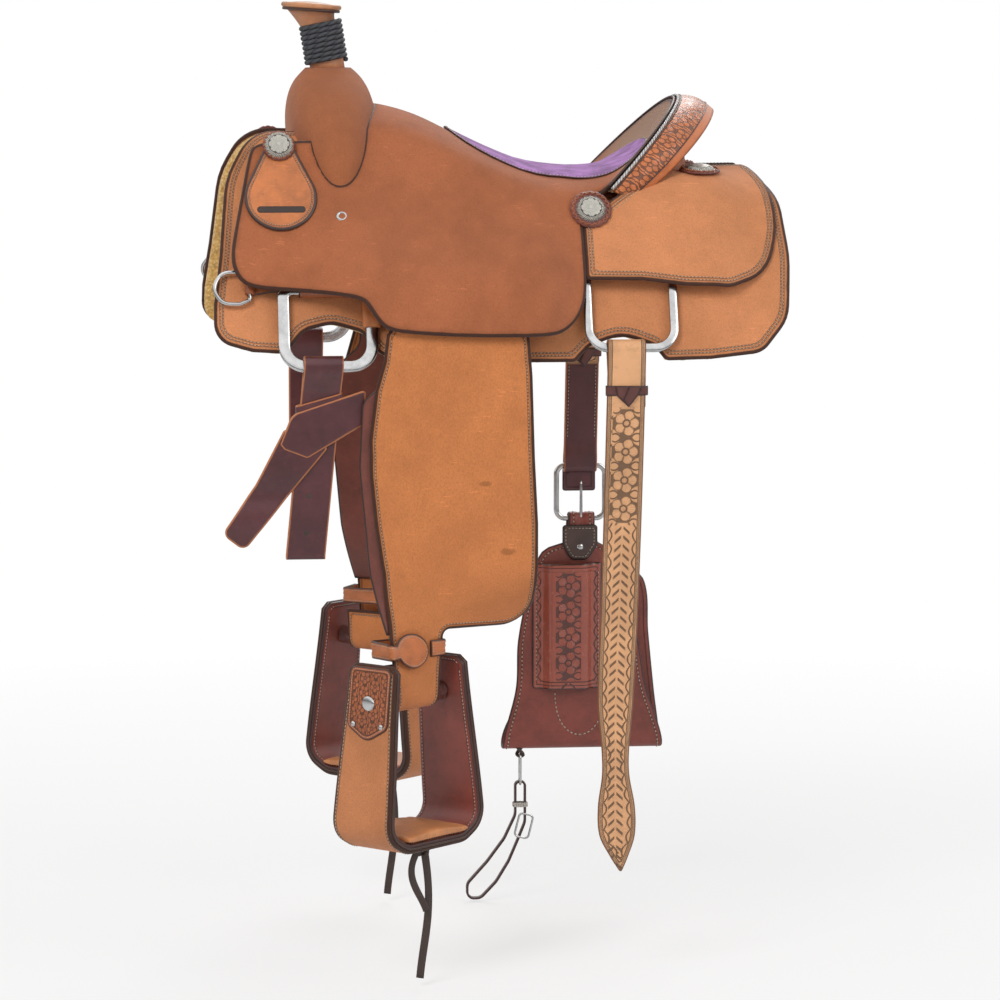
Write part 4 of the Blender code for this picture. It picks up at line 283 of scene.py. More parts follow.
# Back cinch, its buckle, safe, keeper, snap and connector strap
BUCKLE_X = (0.0970, 0.1690)
BUCKLE_Z = (-0.3180, -0.3960)
BUCKLE_BAR = 0.0070
BUCKLE_THICKNESS = 0.0050
BUCKLE_LOOP_BORE = 0.0050
TONGUE_WIDTH = 0.0060
TONGUE_THICKNESS = 0.0016
CINCH_THICKNESS = 0.0038
CINCH_FOLD_Z = -0.7020
CINCH_ROWS = (
    (-0.4220, 0.0200, 0.000), (-0.4340, 0.0440, -0.006), (-0.4800, 0.0620, -0.006),
    (-0.5550, 0.0800, -0.004), (-0.6200, 0.0870, 0.000), (-0.6880, 0.1060, 0.003),
)
CINCH_BACK_ROWS = (
    (-0.6880, 0.1060, 0.003), (-0.6300, 0.0900, 0.012), (-0.5500, 0.0800, 0.014),
    (-0.4800, 0.0780, 0.010), (-0.4530, 0.0500, 0.010),
)
CINCH_BACK_STAND = 0.0180
KEEPER_X = (0.0680, 0.1600)
KEEPER_Z = (-0.4520, -0.6200)
KEEPER_THICKNESS = 0.0032
KEEPER_RISE = 0.0130
SAFE_THICKNESS = 0.0030
SNAP_X = 0.0525
SNAP_LUG = 0.0140
SNAP_WIRE = 0.0030
SNAP_HEIGHT = 0.0420
SNAP_WIDTH = 0.0150
CONNECTOR_WIDTH = 0.0092
CONNECTOR_THICKNESS = 0.0030
CONNECTOR_PATH = (
    (0.0000, 0.0053, 0.006), (0.0130, 0.0053, 0.006), (0.0130, -0.0500, 0.02),
    (0.0050, -0.0700, 0.02), (-0.0090, -0.1030, 0.03), (-0.0260, -0.1310, 0.03),
    (-0.0470, -0.1530, 0.012), (-0.0650, -0.1530, 0.012), (-0.0650, -0.1330, 0.012),
    (-0.0380, -0.1030, 0.03), (-0.0150, -0.0720, 0.03), (0.0000, -0.0400, 0.02),
)

# Skirt and fleece outline, x and z, with corner radii
SKIRT_OUTLINE = (
    (-0.245, 0.128), (-0.320, 0.1305, 0.06), (-0.352, 0.075, 0.10), (-0.362, -0.020),
    (-0.370, -0.075), (-0.371, -0.118, 0.03), (-0.325, -0.131, 0.03), (-0.290, -0.133),
    (-0.279, -0.1265), (-0.262, -0.106, 0.03), (-0.228, -0.0985, 0.03), (-0.192, -0.108, 0.02),
    (-0.170, -0.135, 0.02), (-0.130, -0.1455, 0.03), (0.068, -0.1455, 0.008),
    (0.086, -0.127, 0.02), (0.127, -0.113, 0.05), (0.166, -0.127, 0.02),
    (0.180, -0.1445, 0.01), (0.236, -0.1430), (0.300, -0.1360, 0.03), (0.334, -0.096, 0.05),
    (0.3405, -0.020, 0.15), (0.334, 0.050, 0.06), (0.3080, 0.0785, 0.012),
    (0.1750, 0.0785), (0.080, 0.050), (-0.060, 0.055), (-0.170, 0.100),
)
REAR_JOCKEY_OUTLINE = (
    (0.0838, -0.0560), (0.152, -0.0570), (0.205, -0.0630), (0.262, -0.0645, 0.04),
    (0.312, -0.0420, 0.06), (0.3275, 0.010, 0.08), (0.3240, 0.055, 0.05),
    (0.3080, 0.0780, 0.010), (0.2250, 0.0770), (0.1900, 0.0660), (0.150, 0.0430),
    (0.110, 0.0270), (0.0838, 0.0200),
)


def around(count, offset=0.0):
    """The angles of a full turn in equal steps; offset is a share of a step."""
    return [math.tau * (k + offset) / count for k in range(count)]


def quarter(parts):
    """The angles of a quarter turn in equal steps, with both ends."""
    return [math.radians(90.0) * k / parts for k in range(parts + 1)]


def spun(radius, turn, height):
    """A point at an angle round an upright axis."""
    return Vector((radius * math.cos(turn), radius * math.sin(turn), height))


def squared(value, power):
    """A sine or cosine drawn toward 1, so that a circle gets squarer."""
    return math.copysign(abs(value) ** power, value)


def on_side(place, side):
    """A place, measured outward, as a vector on the near side (-1) or the off side (1)."""
    x, out, z = place
    return Vector((x, side * out, z))


def box(x0, y0, x1, y1, radius):
    """The four corners of a rectangle, each with its radius."""
    return ((x0, y0, radius), (x1, y0, radius), (x1, y1, radius), (x0, y1, radius))


def blend_step(low, high, value):
    """0 below low, 1 above high and a smooth rise between."""
    t = min(1.0, max(0.0, (value - low) / (high - low)))
    return t * t * (3.0 - 2.0 * t)


def smooth_table(table, at):
    """The value at a place in a rising table of pairs, by a smooth curve through them."""
    if at <= table[0][0]:
        return table[0][1]
    if at >= table[-1][0]:
        return table[-1][1]
    last = len(table) - 1
    i = next(k for k in range(last) if at <= table[k + 1][0])

    def slope(k):
        a, b = table[max(0, k - 1)], table[min(last, k + 1)]
        return (b[1] - a[1]) / (b[0] - a[0])

    (x0, y0), (x1, y1) = table[i], table[i + 1]
    span = x1 - x0
    t = (at - x0) / span
    return (
        (2 * t**3 - 3 * t**2 + 1) * y0
        + (t**3 - 2 * t**2 + t) * span * slope(i)
        + (3 * t**2 - 2 * t**3) * y1
        + (t**3 - t**2) * span * slope(i + 1)
    )


def fillet(corners, closed=True, arc_step=math.radians(24.0)):
    """Points of an outline or track: corners of (a, b) or (a, b, radius), with arcs."""
    count = len(corners)
    points = []
    for i, corner in enumerate(corners):
        here = Vector(corner[:2])
        radius = corner[2] if len(corner) > 2 else 0.0
        if radius == 0.0 or (not closed and i in (0, count - 1)):
            points.append(here)
            continue
        back = Vector(corners[i - 1][:2]) - here
        ahead = Vector(corners[(i + 1) % count][:2]) - here
        turn = math.pi - back.angle(ahead)
        if turn < math.radians(2.0):
            points.append(here)
            continue
        reach = radius * math.tan(turn / 2.0)
        most = 0.49 * min(back.length, ahead.length)
        if reach > most:
            radius *= most / reach
            reach = most
        start = here + back.normalized() * reach
        middle = (back.normalized() + ahead.normalized()).normalized()
        centre = here + middle * math.hypot(radius, reach)
        steps = max(2, round(turn / arc_step))
        arm = start - centre
        sweep = turn if back.x * ahead.y - back.y * ahead.x < 0.0 else -turn
        for k in range(steps + 1):
            angle = sweep * k / steps
            points.append(centre + Matrix.Rotation(angle, 2) @ arm)
    return points


def arced(corners):
    """The closed outline of some corners, with fine arcs."""
    return fillet(corners, True, FINE_ARC)


def refine(points, step):
    """Adds points to a closed line so that no edge is longer than step."""
    fine = []
    for a, b in zip(points, points[1:] + points[:1]):
        parts = max(1, math.ceil((b - a).length / step - 1e-6))
        fine += [a.lerp(b, k / parts) for k in range(parts)]
    return fine


def inset(points, distance):
    """The outline drawn in by distance, with as many points."""
    count = len(points)
    area = sum(points[i - 1].cross(points[i]) for i in range(count))
    inward = 1.0 if area > 0.0 else -1.0
    drawn = []
    for i in range(count):
        along = (points[(i + 1) % count] - points[i - 1]).normalized()
        drawn.append(points[i] + Vector((-along.y, along.x)) * inward * distance)
    return drawn


class Flank:
    """A leather surface that runs from a ridge line down a flank, and its offsets."""

    def __init__(self, flank, ridge, shoulder, lift=None):
        self.flank = flank
        self.ridge = ridge
        self.shoulder = shoulder
        self.lift = lift

    def q(self, x, z):
        """How far down the section a height lies: 0 on the ridge, 1 at the shoulder."""
        down = smooth_table(self.ridge, x) - z
        return math.sqrt(max(0.0, down) / self.shoulder)

    def raw(self, x, q):
        z = smooth_table(self.ridge, x) - self.shoulder * q * q
        w = smooth_table(self.flank, z) * (1.0 + SPREAD * x)
        if self.lift:
            w = self.lift(x, z, w)
        if q < 1.0:
            w *= q * math.sqrt(2.0 - q * q)
        return w, z

    def at(self, x, q, out=0.0):
        """The point (x, w, z) that lies out from the surface, along its normal."""
        w, z = self.raw(x, q)
        if out:
            step = 0.004
            w0, z0 = self.raw(x, max(0.0, q - step))
            w1, z1 = self.raw(x, q + step)
            length = math.hypot(w1 - w0, z1 - z0)
            w += out * (z0 - z1) / length
            z += out * (w1 - w0) / length
        return Vector((x, w, z))

    def normal(self, x, q):
        return (self.at(x, q, 0.001) - self.at(x, q)).normalized()


def seat_lift(x, z, w):
    """Before and behind the fender the jockey lies closer to the skirt."""
    front0, front1, rear0, rear1 = FENDER_ZONE
    stand_off = blend_step(front0, front1, x) * (1.0 - blend_step(rear0, rear1, x))
    high = blend_step(-0.065, -0.030, z)
    lift = JOCKEY_LIFT_LOW + (JOCKEY_LIFT_HIGH - JOCKEY_LIFT_LOW) * high
    close = smooth_table(SKIRT_FLANK, z) * (1.0 + SPREAD * x) + lift
    return w + (close - w) * (1.0 - stand_off)


SKIRT_BED = Flank(SKIRT_FLANK, SKIRT_RIDGE, SKIRT_SHOULDER)
SEAT_BED = Flank(SEAT_FLANK, SEAT_RIDGE, SEAT_SHOULDER, seat_lift)
RIG_IN = SKIRT_LEATHER + RIG_CLEAR
RIG_OUT = RIG_IN + RIG_PLATE
LEG_MIDDLE = FENDER_FACE + FENDER_LEATHER / 2.0 - LEG_TURN_RADIUS


def rear_jockey_out(x, q):
    """The rear jockey swells over the bar's end and the dee, and lies on the skirt past it."""
    over_bar = blend_step(0.30, 0.75, q) * (1.0 - blend_step(0.240, 0.312, x))
    return SKIRT_LEATHER + SLIDE + (BAR_DEPTH + 2.0 * SLIDE) * over_bar


class Track:
    """A path of (w, z) points with arcs, read by the distance along it."""

    def __init__(self, corners, arc_step=math.radians(24.0)):
        self.points = fillet(corners, closed=False, arc_step=arc_step)
        self.places = [0.0]
        for a, b in zip(self.points, self.points[1:]):
            self.places.append(self.places[-1] + (b - a).length)
        self.length = self.places[-1]

    def normal_at(self, i):
        a = self.points[max(0, i - 1)]
        b = self.points[min(len(self.points) - 1, i + 1)]
        along = (b - a).normalized()
        if 0 < i < len(self.points) - 1:
            ahead = (self.points[i + 1] - self.points[i]).normalized()
            back = (self.points[i] - self.points[i - 1]).normalized()
            along = (ahead + back).normalized()
            stretch = 1.0 / max(0.5, along.dot(ahead))
        else:
            stretch = 1.0
        return Vector((-along.y, along.x)) * stretch

    def at(self, s, out):
        s = min(max(s, 0.0), self.length)
        i = next(k for k in range(len(self.places) - 1) if s <= self.places[k + 1] + 1e-9)
        t = (s - self.places[i]) / (self.places[i + 1] - self.places[i])
        place = self.points[i].lerp(self.points[i + 1], t)
        normal = self.normal_at(i).lerp(self.normal_at(i + 1), t)
        return place + normal * out


def frame_on(point, normal, side):
    """A matrix at a side's surface point, with z along the outward normal."""
    out = Vector((normal.x, side * normal.y, normal.z)).normalized()
    across = Vector((1.0, 0.0, 0.0))
    across = (across - out * across.dot(out)).normalized()
    up = out.cross(across)
    turn = Matrix((across, up, out)).transposed().to_4x4()
    return Matrix.Translation((point.x, side * point.y, point.z)) @ turn


def seat_point(x, row):
    """A point of the seat's outer face: x along it, and rows from the ridge outward."""
    q = SEAT_ROW_Q * row / SEAT_TOP_ROWS
    return SEAT_BED.at(x, q)


def rim_point(turn):
    """The cantle's rim: turn is 0 at its top and 90 degrees at its ends."""
    share = math.cos(turn)
    x = CANTLE_END[0] + (CANTLE_TOP[0] - CANTLE_END[0]) * share
    z = CANTLE_END[1] + (CANTLE_TOP[1] - CANTLE_END[1]) * share
    return Vector((x, CANTLE_HALF_WIDTH * math.sin(turn), z))


def dish_point(along, row):
    """The seat's rise to the rim: along is 0 at the last rib and 1 at the rim."""
    turn = math.radians(90.0) * row / SEAT_TOP_ROWS
    start = seat_point(SEAT_RIBS[-1][0], row)
    end = rim_point(turn)
    share = math.cos(turn)
    first = start + Vector((0.085 * share + 0.008, 0.0, -0.003 * share))
    second = end + Vector((-0.020 * share - 0.006, -0.010 * math.sin(turn), -0.050 * share))
    t = along
    return (
        start * (1 - t) ** 3
        + first * 3 * t * (1 - t) ** 2
        + second * 3 * t * t * (1 - t)
        + end * t**3
    )


def seat_rows(rib):
    """The near half of one rib, from the ridge (or its own top) to the bottom edge."""
    x_top, z_top, x_low, z_low = SEAT_RIBS[rib]
    rows = []
    for row in range(SEAT_TOP_ROWS):
        rows.append(seat_point(x_top, row) if rib >= SEAT_FIRST_RIDGE_RIB else None)
    if rib >= SEAT_FIRST_RIDGE_RIB:
        z_top = seat_point(x_top, SEAT_TOP_ROWS).z
    for row in range(SEAT_SIDE_ROWS + 1):
        t = row / SEAT_SIDE_ROWS
        x, z = x_top + (x_low - x_top) * t, z_top + (z_low - z_top) * t
        rows.append(SEAT_BED.at(x, SEAT_BED.q(x, z)))
    return rows


def horn_matrix():
    """The horn's foot, with z up its leaning neck."""
    return Matrix.Translation(HORN_FOOT) @ Matrix.Rotation(-HORN_LEAN, 4, "Y")


def dee_frame(dee):
    """Places a dee down its own plane, out from the skirt; also its hinge and its drop."""
    x_mid = sum(dee["x"]) / 2.0
    out = SKIRT_LEATHER + dee["clear"] + DEE_THICKNESS / 2.0
    top = SKIRT_BED.at(x_mid, SKIRT_BED.q(x_mid, dee["top"]), out)
    low = SKIRT_BED.at(x_mid, SKIRT_BED.q(x_mid, dee["bottom"]), out)
    spread = 1.0 + SPREAD * (dee["x"][1] - dee["x"][0]) / 2.0
    low.y = low.y * spread
    top.y = top.y * spread
    down = (low - top).normalized()
    outward = Vector((0.0, -down.z, down.y))

    def place(x, below, depth):
        return Vector((x, top.y, top.z)) + down * below + outward * depth

    return place, top, (low - top).length


def leg_place(x, w, z):
    """Turns the fender's strap end about its own middle as it nears the stirrup."""
    turn = TWIST * blend_step(-TWIST_FROM_Z, -TWIST_TO_Z, -z)
    u, v = x - LEG_CENTRE_X, w - LEG_MIDDLE
    return (
        LEG_CENTRE_X + u * math.cos(turn) + v * math.sin(turn),
        LEG_MIDDLE - u * math.sin(turn) + v * math.cos(turn),
        z,
    )


def wrapped(x, s, out):
    """A hanging strap that turns round the bolt: s is the height it has when flat."""
    radius = LEG_TURN_RADIUS + out
    bend = (BOLT_Z - s) / LEG_TURN_RADIUS
    if bend <= 0.0:
        w, z = LEG_MIDDLE + radius, s
    elif bend <= math.pi:
        w, z = LEG_MIDDLE + radius * math.cos(bend), BOLT_Z - radius * math.sin(bend)
    else:
        w, z = LEG_MIDDLE - radius, BOLT_Z + (bend - math.pi) * LEG_TURN_RADIUS
    return leg_place(x, w, z)


def stirrup_frame(across, down, deep):
    """A point of the stirrup: across its legs, down from the bolt, out from its middle."""
    x = LEG_CENTRE_X + across * math.cos(TWIST) + deep * math.sin(TWIST)
    w = LEG_MIDDLE - across * math.sin(TWIST) + deep * math.cos(TWIST)
    return x, w, BOLT_Z - down


def stirrup_track(arc_step):
    """The stirrup's line down one leg, along its bottom and up the other."""
    top, low = STIRRUP_TOP_HALF_WIDTH, STIRRUP_BOTTOM_HALF_WIDTH
    high, drop = -STIRRUP_TOP_ABOVE_BOLT, STIRRUP_DROP
    corners = (
        (-top, high), (-low, drop - 0.018, STIRRUP_CORNER_RADIUS),
        (-low + 0.034, drop, 0.03), (low - 0.034, drop, 0.03),
        (low, drop - 0.018, STIRRUP_CORNER_RADIUS), (top, high),
    )
    return Track(corners, arc_step)


def corner_ring(corners, step, half):
    """The outer and inner line of a ring along some corners."""
    return offset_ring(refine(arced(corners), step), half)


def offset_ring(points, half):
    """The two outlines that lie half a width to each side of a closed line."""
    count = len(points)
    sides = ([], [])
    for i, here in enumerate(points):
        back = (here - points[i - 1]).normalized()
        ahead = (points[(i + 1) % count] - here).normalized()
        along = (back + ahead).normalized()
        reach = half / max(0.6, along.dot(ahead))
        normal = Vector((-along.y, along.x)) * reach
        sides[0].append(here + normal)
        sides[1].append(here - normal)
    return sides


def breast_frame():
    """The breast dee's bar: its place, forward, along the bar, and out of the skirt."""
    x, z = BREAST_DEE_AT
    q = SKIRT_BED.q(x, z)
    at = SKIRT_BED.at(x, q, BREAST_DEE_OUT)
    along = (SKIRT_BED.at(x, q + 0.1, BREAST_DEE_OUT) - at).normalized()
    forward = Vector((-1.0, 0.0, 0.0))
    forward = (forward - along * forward.dot(along)).normalized()
    out = along.cross(forward).normalized()
    if out.y < 0.0:
        out = -out
    return at, forward, along, out


def dee_bottom(dee):
    """The middle of a dee's bottom bar."""
    place, _, drop = dee_frame(dee)
    return place(sum(dee["x"]) / 2.0, drop - dee["width"] / 2.0, 0.0)


def cinch_bar():
    """The rear dee's bar, the height of the buckle's bar and the radius of the loop round it."""
    return (dee_bottom(REAR_DEE), BUCKLE_Z[1] + BUCKLE_BAR / 2.0,
            BUCKLE_LOOP_BORE + CINCH_THICKNESS / 2.0)


def snap_place():
    """The middle of the hole that the snap hangs in."""
    bar, _, ring = cinch_bar()
    w = bar.y + (CINCH_BACK_STAND - ring) / 2.0
    return Vector((SNAP_X, w, CINCH_FOLD_Z - SNAP_LUG + 0.0055))


RECORD = frame["record"]
BODY_OF = {
    node: body for body, nodes in RECORD["behaviour"]["bodies"].items() for node in nodes
}
FLOOR_Z = -0.9120
FINE_ARC = math.radians(9.0)
ROUNDED = 0.0018
PAST_EDGE = 0.02
EDGE_BULGE = 0.0006
STITCH_SHARE = 0.66
STITCH_LIFT = 0.0001
X_AXIS = Vector((1.0, 0.0, 0.0))
Z_AXIS = Vector((0.0, 0.0, 1.0))


class Value:
    """A shader socket that takes part in Python expressions."""

    def __init__(self, tree, socket):
        self.tree = tree
        self.socket = socket

    def math(self, operation, *values):
        node = self.tree.nodes.new("ShaderNodeMath")
        node.operation = operation
        for place, value in zip(node.inputs, values):
            plug(self.tree, place, value)
        return Value(self.tree, node.outputs[0])

    def __add__(self, other):
        return self.math("ADD", self, other)

    def __radd__(self, other):
        return self.math("ADD", other, self)

    def __sub__(self, other):
        return self.math("SUBTRACT", self, other)

    def __rsub__(self, other):
        return self.math("SUBTRACT", other, self)

    def __mul__(self, other):
        return self.math("MULTIPLY", self, other)

    def __rmul__(self, other):
        return self.math("MULTIPLY", other, self)

    def __truediv__(self, other):
        return self.math("DIVIDE", self, other)

    def __abs__(self):
        return self.math("ABSOLUTE", self)

    def __mod__(self, other):
        return self.math("FLOORED_MODULO", self, other)

    def floor(self):
        return self.math("FLOOR", self)

    def most(self, other):
        return self.math("MAXIMUM", self, other)

    def least(self, other):
        return self.math("MINIMUM", self, other)

    def cosine(self):
        return self.math("COSINE", self)

    def root(self):
        return self.math("SQRT", self)

    def turn(self, across):
        return self.math("ARCTAN2", self, across)


def plug(tree, socket, value):
    """Links a socket to a value, or sets it."""
    if isinstance(value, Value):
        tree.links.new(value.socket, socket)
    elif isinstance(value, (tuple, list)):
        size = len(socket.default_value)
        socket.default_value = (*value, 1.0) if size == 4 and len(value) == 3 else tuple(value)
    else:
        socket.default_value = value


class Nodes:
    """A node tree of a material or world, and one way to add a node to it."""

    def __init__(self, owner):
        owner.use_nodes = True
        self.tree = owner.node_tree

    def node(self, kind, settings=None, values=None, out=0):
        """Adds a node; out is the output that comes back, or None for a node without one."""
        node = self.tree.nodes.new(kind)
        for key, setting in (settings or {}).items():
            setattr(node, key, setting)
        for key, value in (values or {}).items():
            plug(self.tree, node.inputs[key], value)
        return None if out is None else Value(self.tree, node.outputs[out])


class Finish(Nodes):
    """One material, with its Principled shader and the patterns that finishes share."""

    def __init__(self, name, shown):
        self.made = bpy.data.materials.new(name)
        super().__init__(self.made)
        self.made.diffuse_color = (*shown, 1.0)
        self.shader = self.tree.nodes["Principled BSDF"]

    def here(self):
        return self.node("ShaderNodeTexCoord", out="Object")

    def part(self, where, axis):
        """One of the numbers of a place: 0, 1 or 2 for x, y or z."""
        return self.node("ShaderNodeSeparateXYZ", None, {0: where}, axis)

    def attribute(self, name):
        return self.node("ShaderNodeAttribute", {"attribute_name": name}, out="Fac")

    def flat(self):
        """The place on the leather as it was cut, in metres: across and along."""
        uv = self.node("ShaderNodeUVMap", {"uv_map": "flat"})
        return self.part(uv, 0), self.part(uv, 1)

    def stretched(self, where, factors):
        return self.node("ShaderNodeVectorMath", {"operation": "MULTIPLY"}, {0: where, 1: factors})

    def cloud(self, where, scale, detail=3.0, roughness=0.55):
        values = {"Vector": where, "Scale": scale, "Detail": detail, "Roughness": roughness}
        return self.node("ShaderNodeTexNoise", None, values)

    def cells(self, where, scale):
        values = {"Vector": where, "Scale": scale}
        return self.node("ShaderNodeTexVoronoi", {"feature": "F1"}, values)

    def step(self, value, low, high):
        """0 at low, 1 at high and smooth between; low may be the larger of the two."""
        values = {"Value": value, "From Min": low, "From Max": high}
        return self.node("ShaderNodeMapRange", {"interpolation_type": "SMOOTHSTEP"}, values)

    def mix(self, share, first, second):
        """One colour over another; the colour sockets of a Mix node are 6, 7 and out 2."""
        values = {0: share, 6: first, 7: second}
        return self.node("ShaderNodeMix", {"data_type": "RGBA"}, values, 2)

    def set(self, **values):
        for key, value in values.items():
            plug(self.tree, self.shader.inputs[key.replace("_", " ")], value)

    def relief(self, height, depth):
        """Raises the surface by height, where 1 stands for depth in metres."""
        values = {"Height": height, "Distance": depth, "Strength": 1.0}
        self.set(Normal=self.node("ShaderNodeBump", None, values))


def shaded(colour, factor):
    """A colour made darker or lighter."""
    return tuple(min(1.0, c * factor) for c in colour)


FINISHES = {}


def finish(name, maker, *words, **more):
    """The finish of that name, made when it is first asked for."""
    if name not in FINISHES:
        FINISHES[name] = maker(name, *words, **more)
    return FINISHES[name]


def rough_leather(name, colour, edge, rows=(), wear=0.5, mottle=0.13, fade=None, marks=()):
    """Rough-out leather: a short nap, rubs, scratches and a burnished edge.

    rows are the distances of stitch rows from the edge, fade is two places along x and the
    colour between which the leather changes, and marks are dark spots of (x, z, size).
    """
    f = Finish(name, colour)
    here = f.here()
    blotch = f.cloud(here, 13.0, 4.0)
    smudge = f.cloud(here, 55.0, 5.0, 0.62)
    nap = f.cloud(here, 1500.0, 3.0, 0.7)
    pile = f.cloud(f.stretched(here, (420.0, 420.0, 150.0)), 1.0, 3.0, 0.6)
    scratch = f.cloud(f.stretched(here, (60.0, 60.0, 420.0)), 1.0, 2.0, 0.5)
    scored = f.step(scratch, 0.655, 0.70) * f.step(blotch, 0.45, 0.62)
    base = f.mix(f.step(blotch, 0.30, 0.72), shaded(colour, 1.0 - mottle), shaded(colour, 1.10))
    base = f.mix(f.step(smudge, 0.42, 0.75) * 0.30, base, shaded(colour, 1.18))
    base = f.mix(f.step(smudge, 0.46, 0.25) * 0.22, base, shaded(colour, 0.70))
    if fade:
        base = f.mix(f.step(f.part(here, 0), fade[0], fade[1]), base, fade[2])
    for x, z, size in marks:
        aside = (f.part(here, 0) - x) / (2.2 * size)
        below = (f.part(here, 2) - z) / size
        spot = aside * aside + below * below + (smudge - 0.5) * 2.5
        base = f.mix(f.step(spot, 1.1, 0.2) * 0.5, base, shaded(colour, 0.25))
    base = f.mix(scored * wear, base, shaded(colour, 1.45))
    fleck = f.cloud(f.stretched(here, (650.0, 650.0, 420.0)), 1.0, 4.0, 0.7)
    base = f.mix(f.step(fleck, 0.50, 0.64) * 0.36, base, shaded(colour, 0.55))
    base = f.mix(f.step(fleck, 0.47, 0.34) * 0.30, base, shaded(colour, 1.30))
    base = f.mix(f.step(nap, 0.35, 0.7) * 0.22, base, shaded(colour, 0.72))
    away = f.attribute("edge")
    soaked = f.step(away + (smudge - 0.5) * 0.006, 0.0095, 0.0015)
    base = f.mix(soaked * 0.45, base, shaded(colour, 0.52))
    # Painted shade: the groove of each stitch row is drawn darker.
    for row in rows:
        base = f.mix(f.step(abs(away - row), 0.0017, 0.0007) * 0.55, base, shaded(colour, 0.30))
    burnt = f.step(away + (smudge - 0.5) * 0.0012, 0.0042, 0.0027)
    f.set(Base_Color=f.mix(burnt, base, edge))
    f.set(Roughness=f.step(burnt, 0.0, 1.0) * -0.32 + 0.9, Sheen_Weight=0.12, Sheen_Roughness=0.5)
    f.shader.inputs["Specular IOR Level"].default_value = 0.28
    height = nap * 0.35 + pile * 0.4 + smudge * 0.5
    for row in rows:
        height = height - f.step(abs(away - row), 0.0011, 0.0003) * 0.9
    f.relief(height, 0.0009)
    return f.made


def flowers(f, u, v, cell, petals=5.0, shift=0.5, bend=0.2):
    """Stamped flowers in rows with leaves between: how high the leather stands, 0 to 1."""
    bent = (f.cloud(f.here(), 0.55 / cell, 2.0) - 0.5) * bend
    row = v / cell + bent
    across = u / cell + (row.floor() % 2.0) * shift - bent
    a = across % 1.0 - 0.5
    b = row % 1.0 - 0.5
    r = (a * a + b * b).root() * 2.0
    t = b.turn(a)
    lobe = abs((t * (petals / 2.0)).cosine())
    petal = f.step(r - lobe * 0.26, 0.66, 0.58)
    vein = f.step(lobe, 0.12, 0.40) * 0.8 + 0.2
    vein = vein * (0.75 + 0.25 * abs((t * (petals * 2.5)).cosine()))
    heart = f.step(r, 0.20, 0.14)
    ring = f.step(abs(r - 0.24), 0.03, 0.08)
    flower = (petal * vein * ring).most(heart * 0.9)
    a2 = abs(a) - 0.5
    b2 = abs(b) - 0.5
    r2 = (a2 * a2 + b2 * b2).root() * 2.0
    t2 = b2.turn(a2)
    curl = abs((t2 * 1.5 + r2 * 5.0).cosine())
    leaf = f.step(r2, 0.62, 0.54) * f.step(curl, 0.14, 0.42) * f.step(r - lobe * 0.26, 0.62, 0.70)
    return flower.most(leaf * 0.85)


def flower_column(f, away, middle, high, low, cell, sway=0.0):
    """One column of flowers down a strap, and under it a line of leaves between scallops."""
    here = f.here()
    z = f.part(here, 2)
    x = f.part(here, 0) - middle - (z - high).least(0.0).most(-0.36) * sway
    near = abs(x)
    held = f.step(z, low - 0.001, low + 0.001) * f.step(z, high + 0.001, high - 0.001)
    held = held * f.step(near, cell * 0.50, cell * 0.47)
    stamped = flowers(f, x + cell * 0.5, z - high, cell, 5.0, 0.0, 0.0)
    swing = abs((z * (math.pi / 0.017)).cosine())
    leaf = abs((z * (math.pi / 0.011) + near * 260.0).cosine())
    cut = f.step(leaf, 0.62, 0.30) * f.step(near, 0.0102, 0.0080) * f.step(near, 0.0008, 0.0022)
    arc = f.step(abs(away - 0.0060 - swing * 0.0040), 0.0012, 0.0005)
    line = f.step(abs(away - 0.0050), 0.0007, 0.0002)
    below = f.step(z, high + 0.004, high)
    return 1.0 - (cut.most(arc) * below * (1.0 - held)).most(line).most(held * (1.0 - stamped))


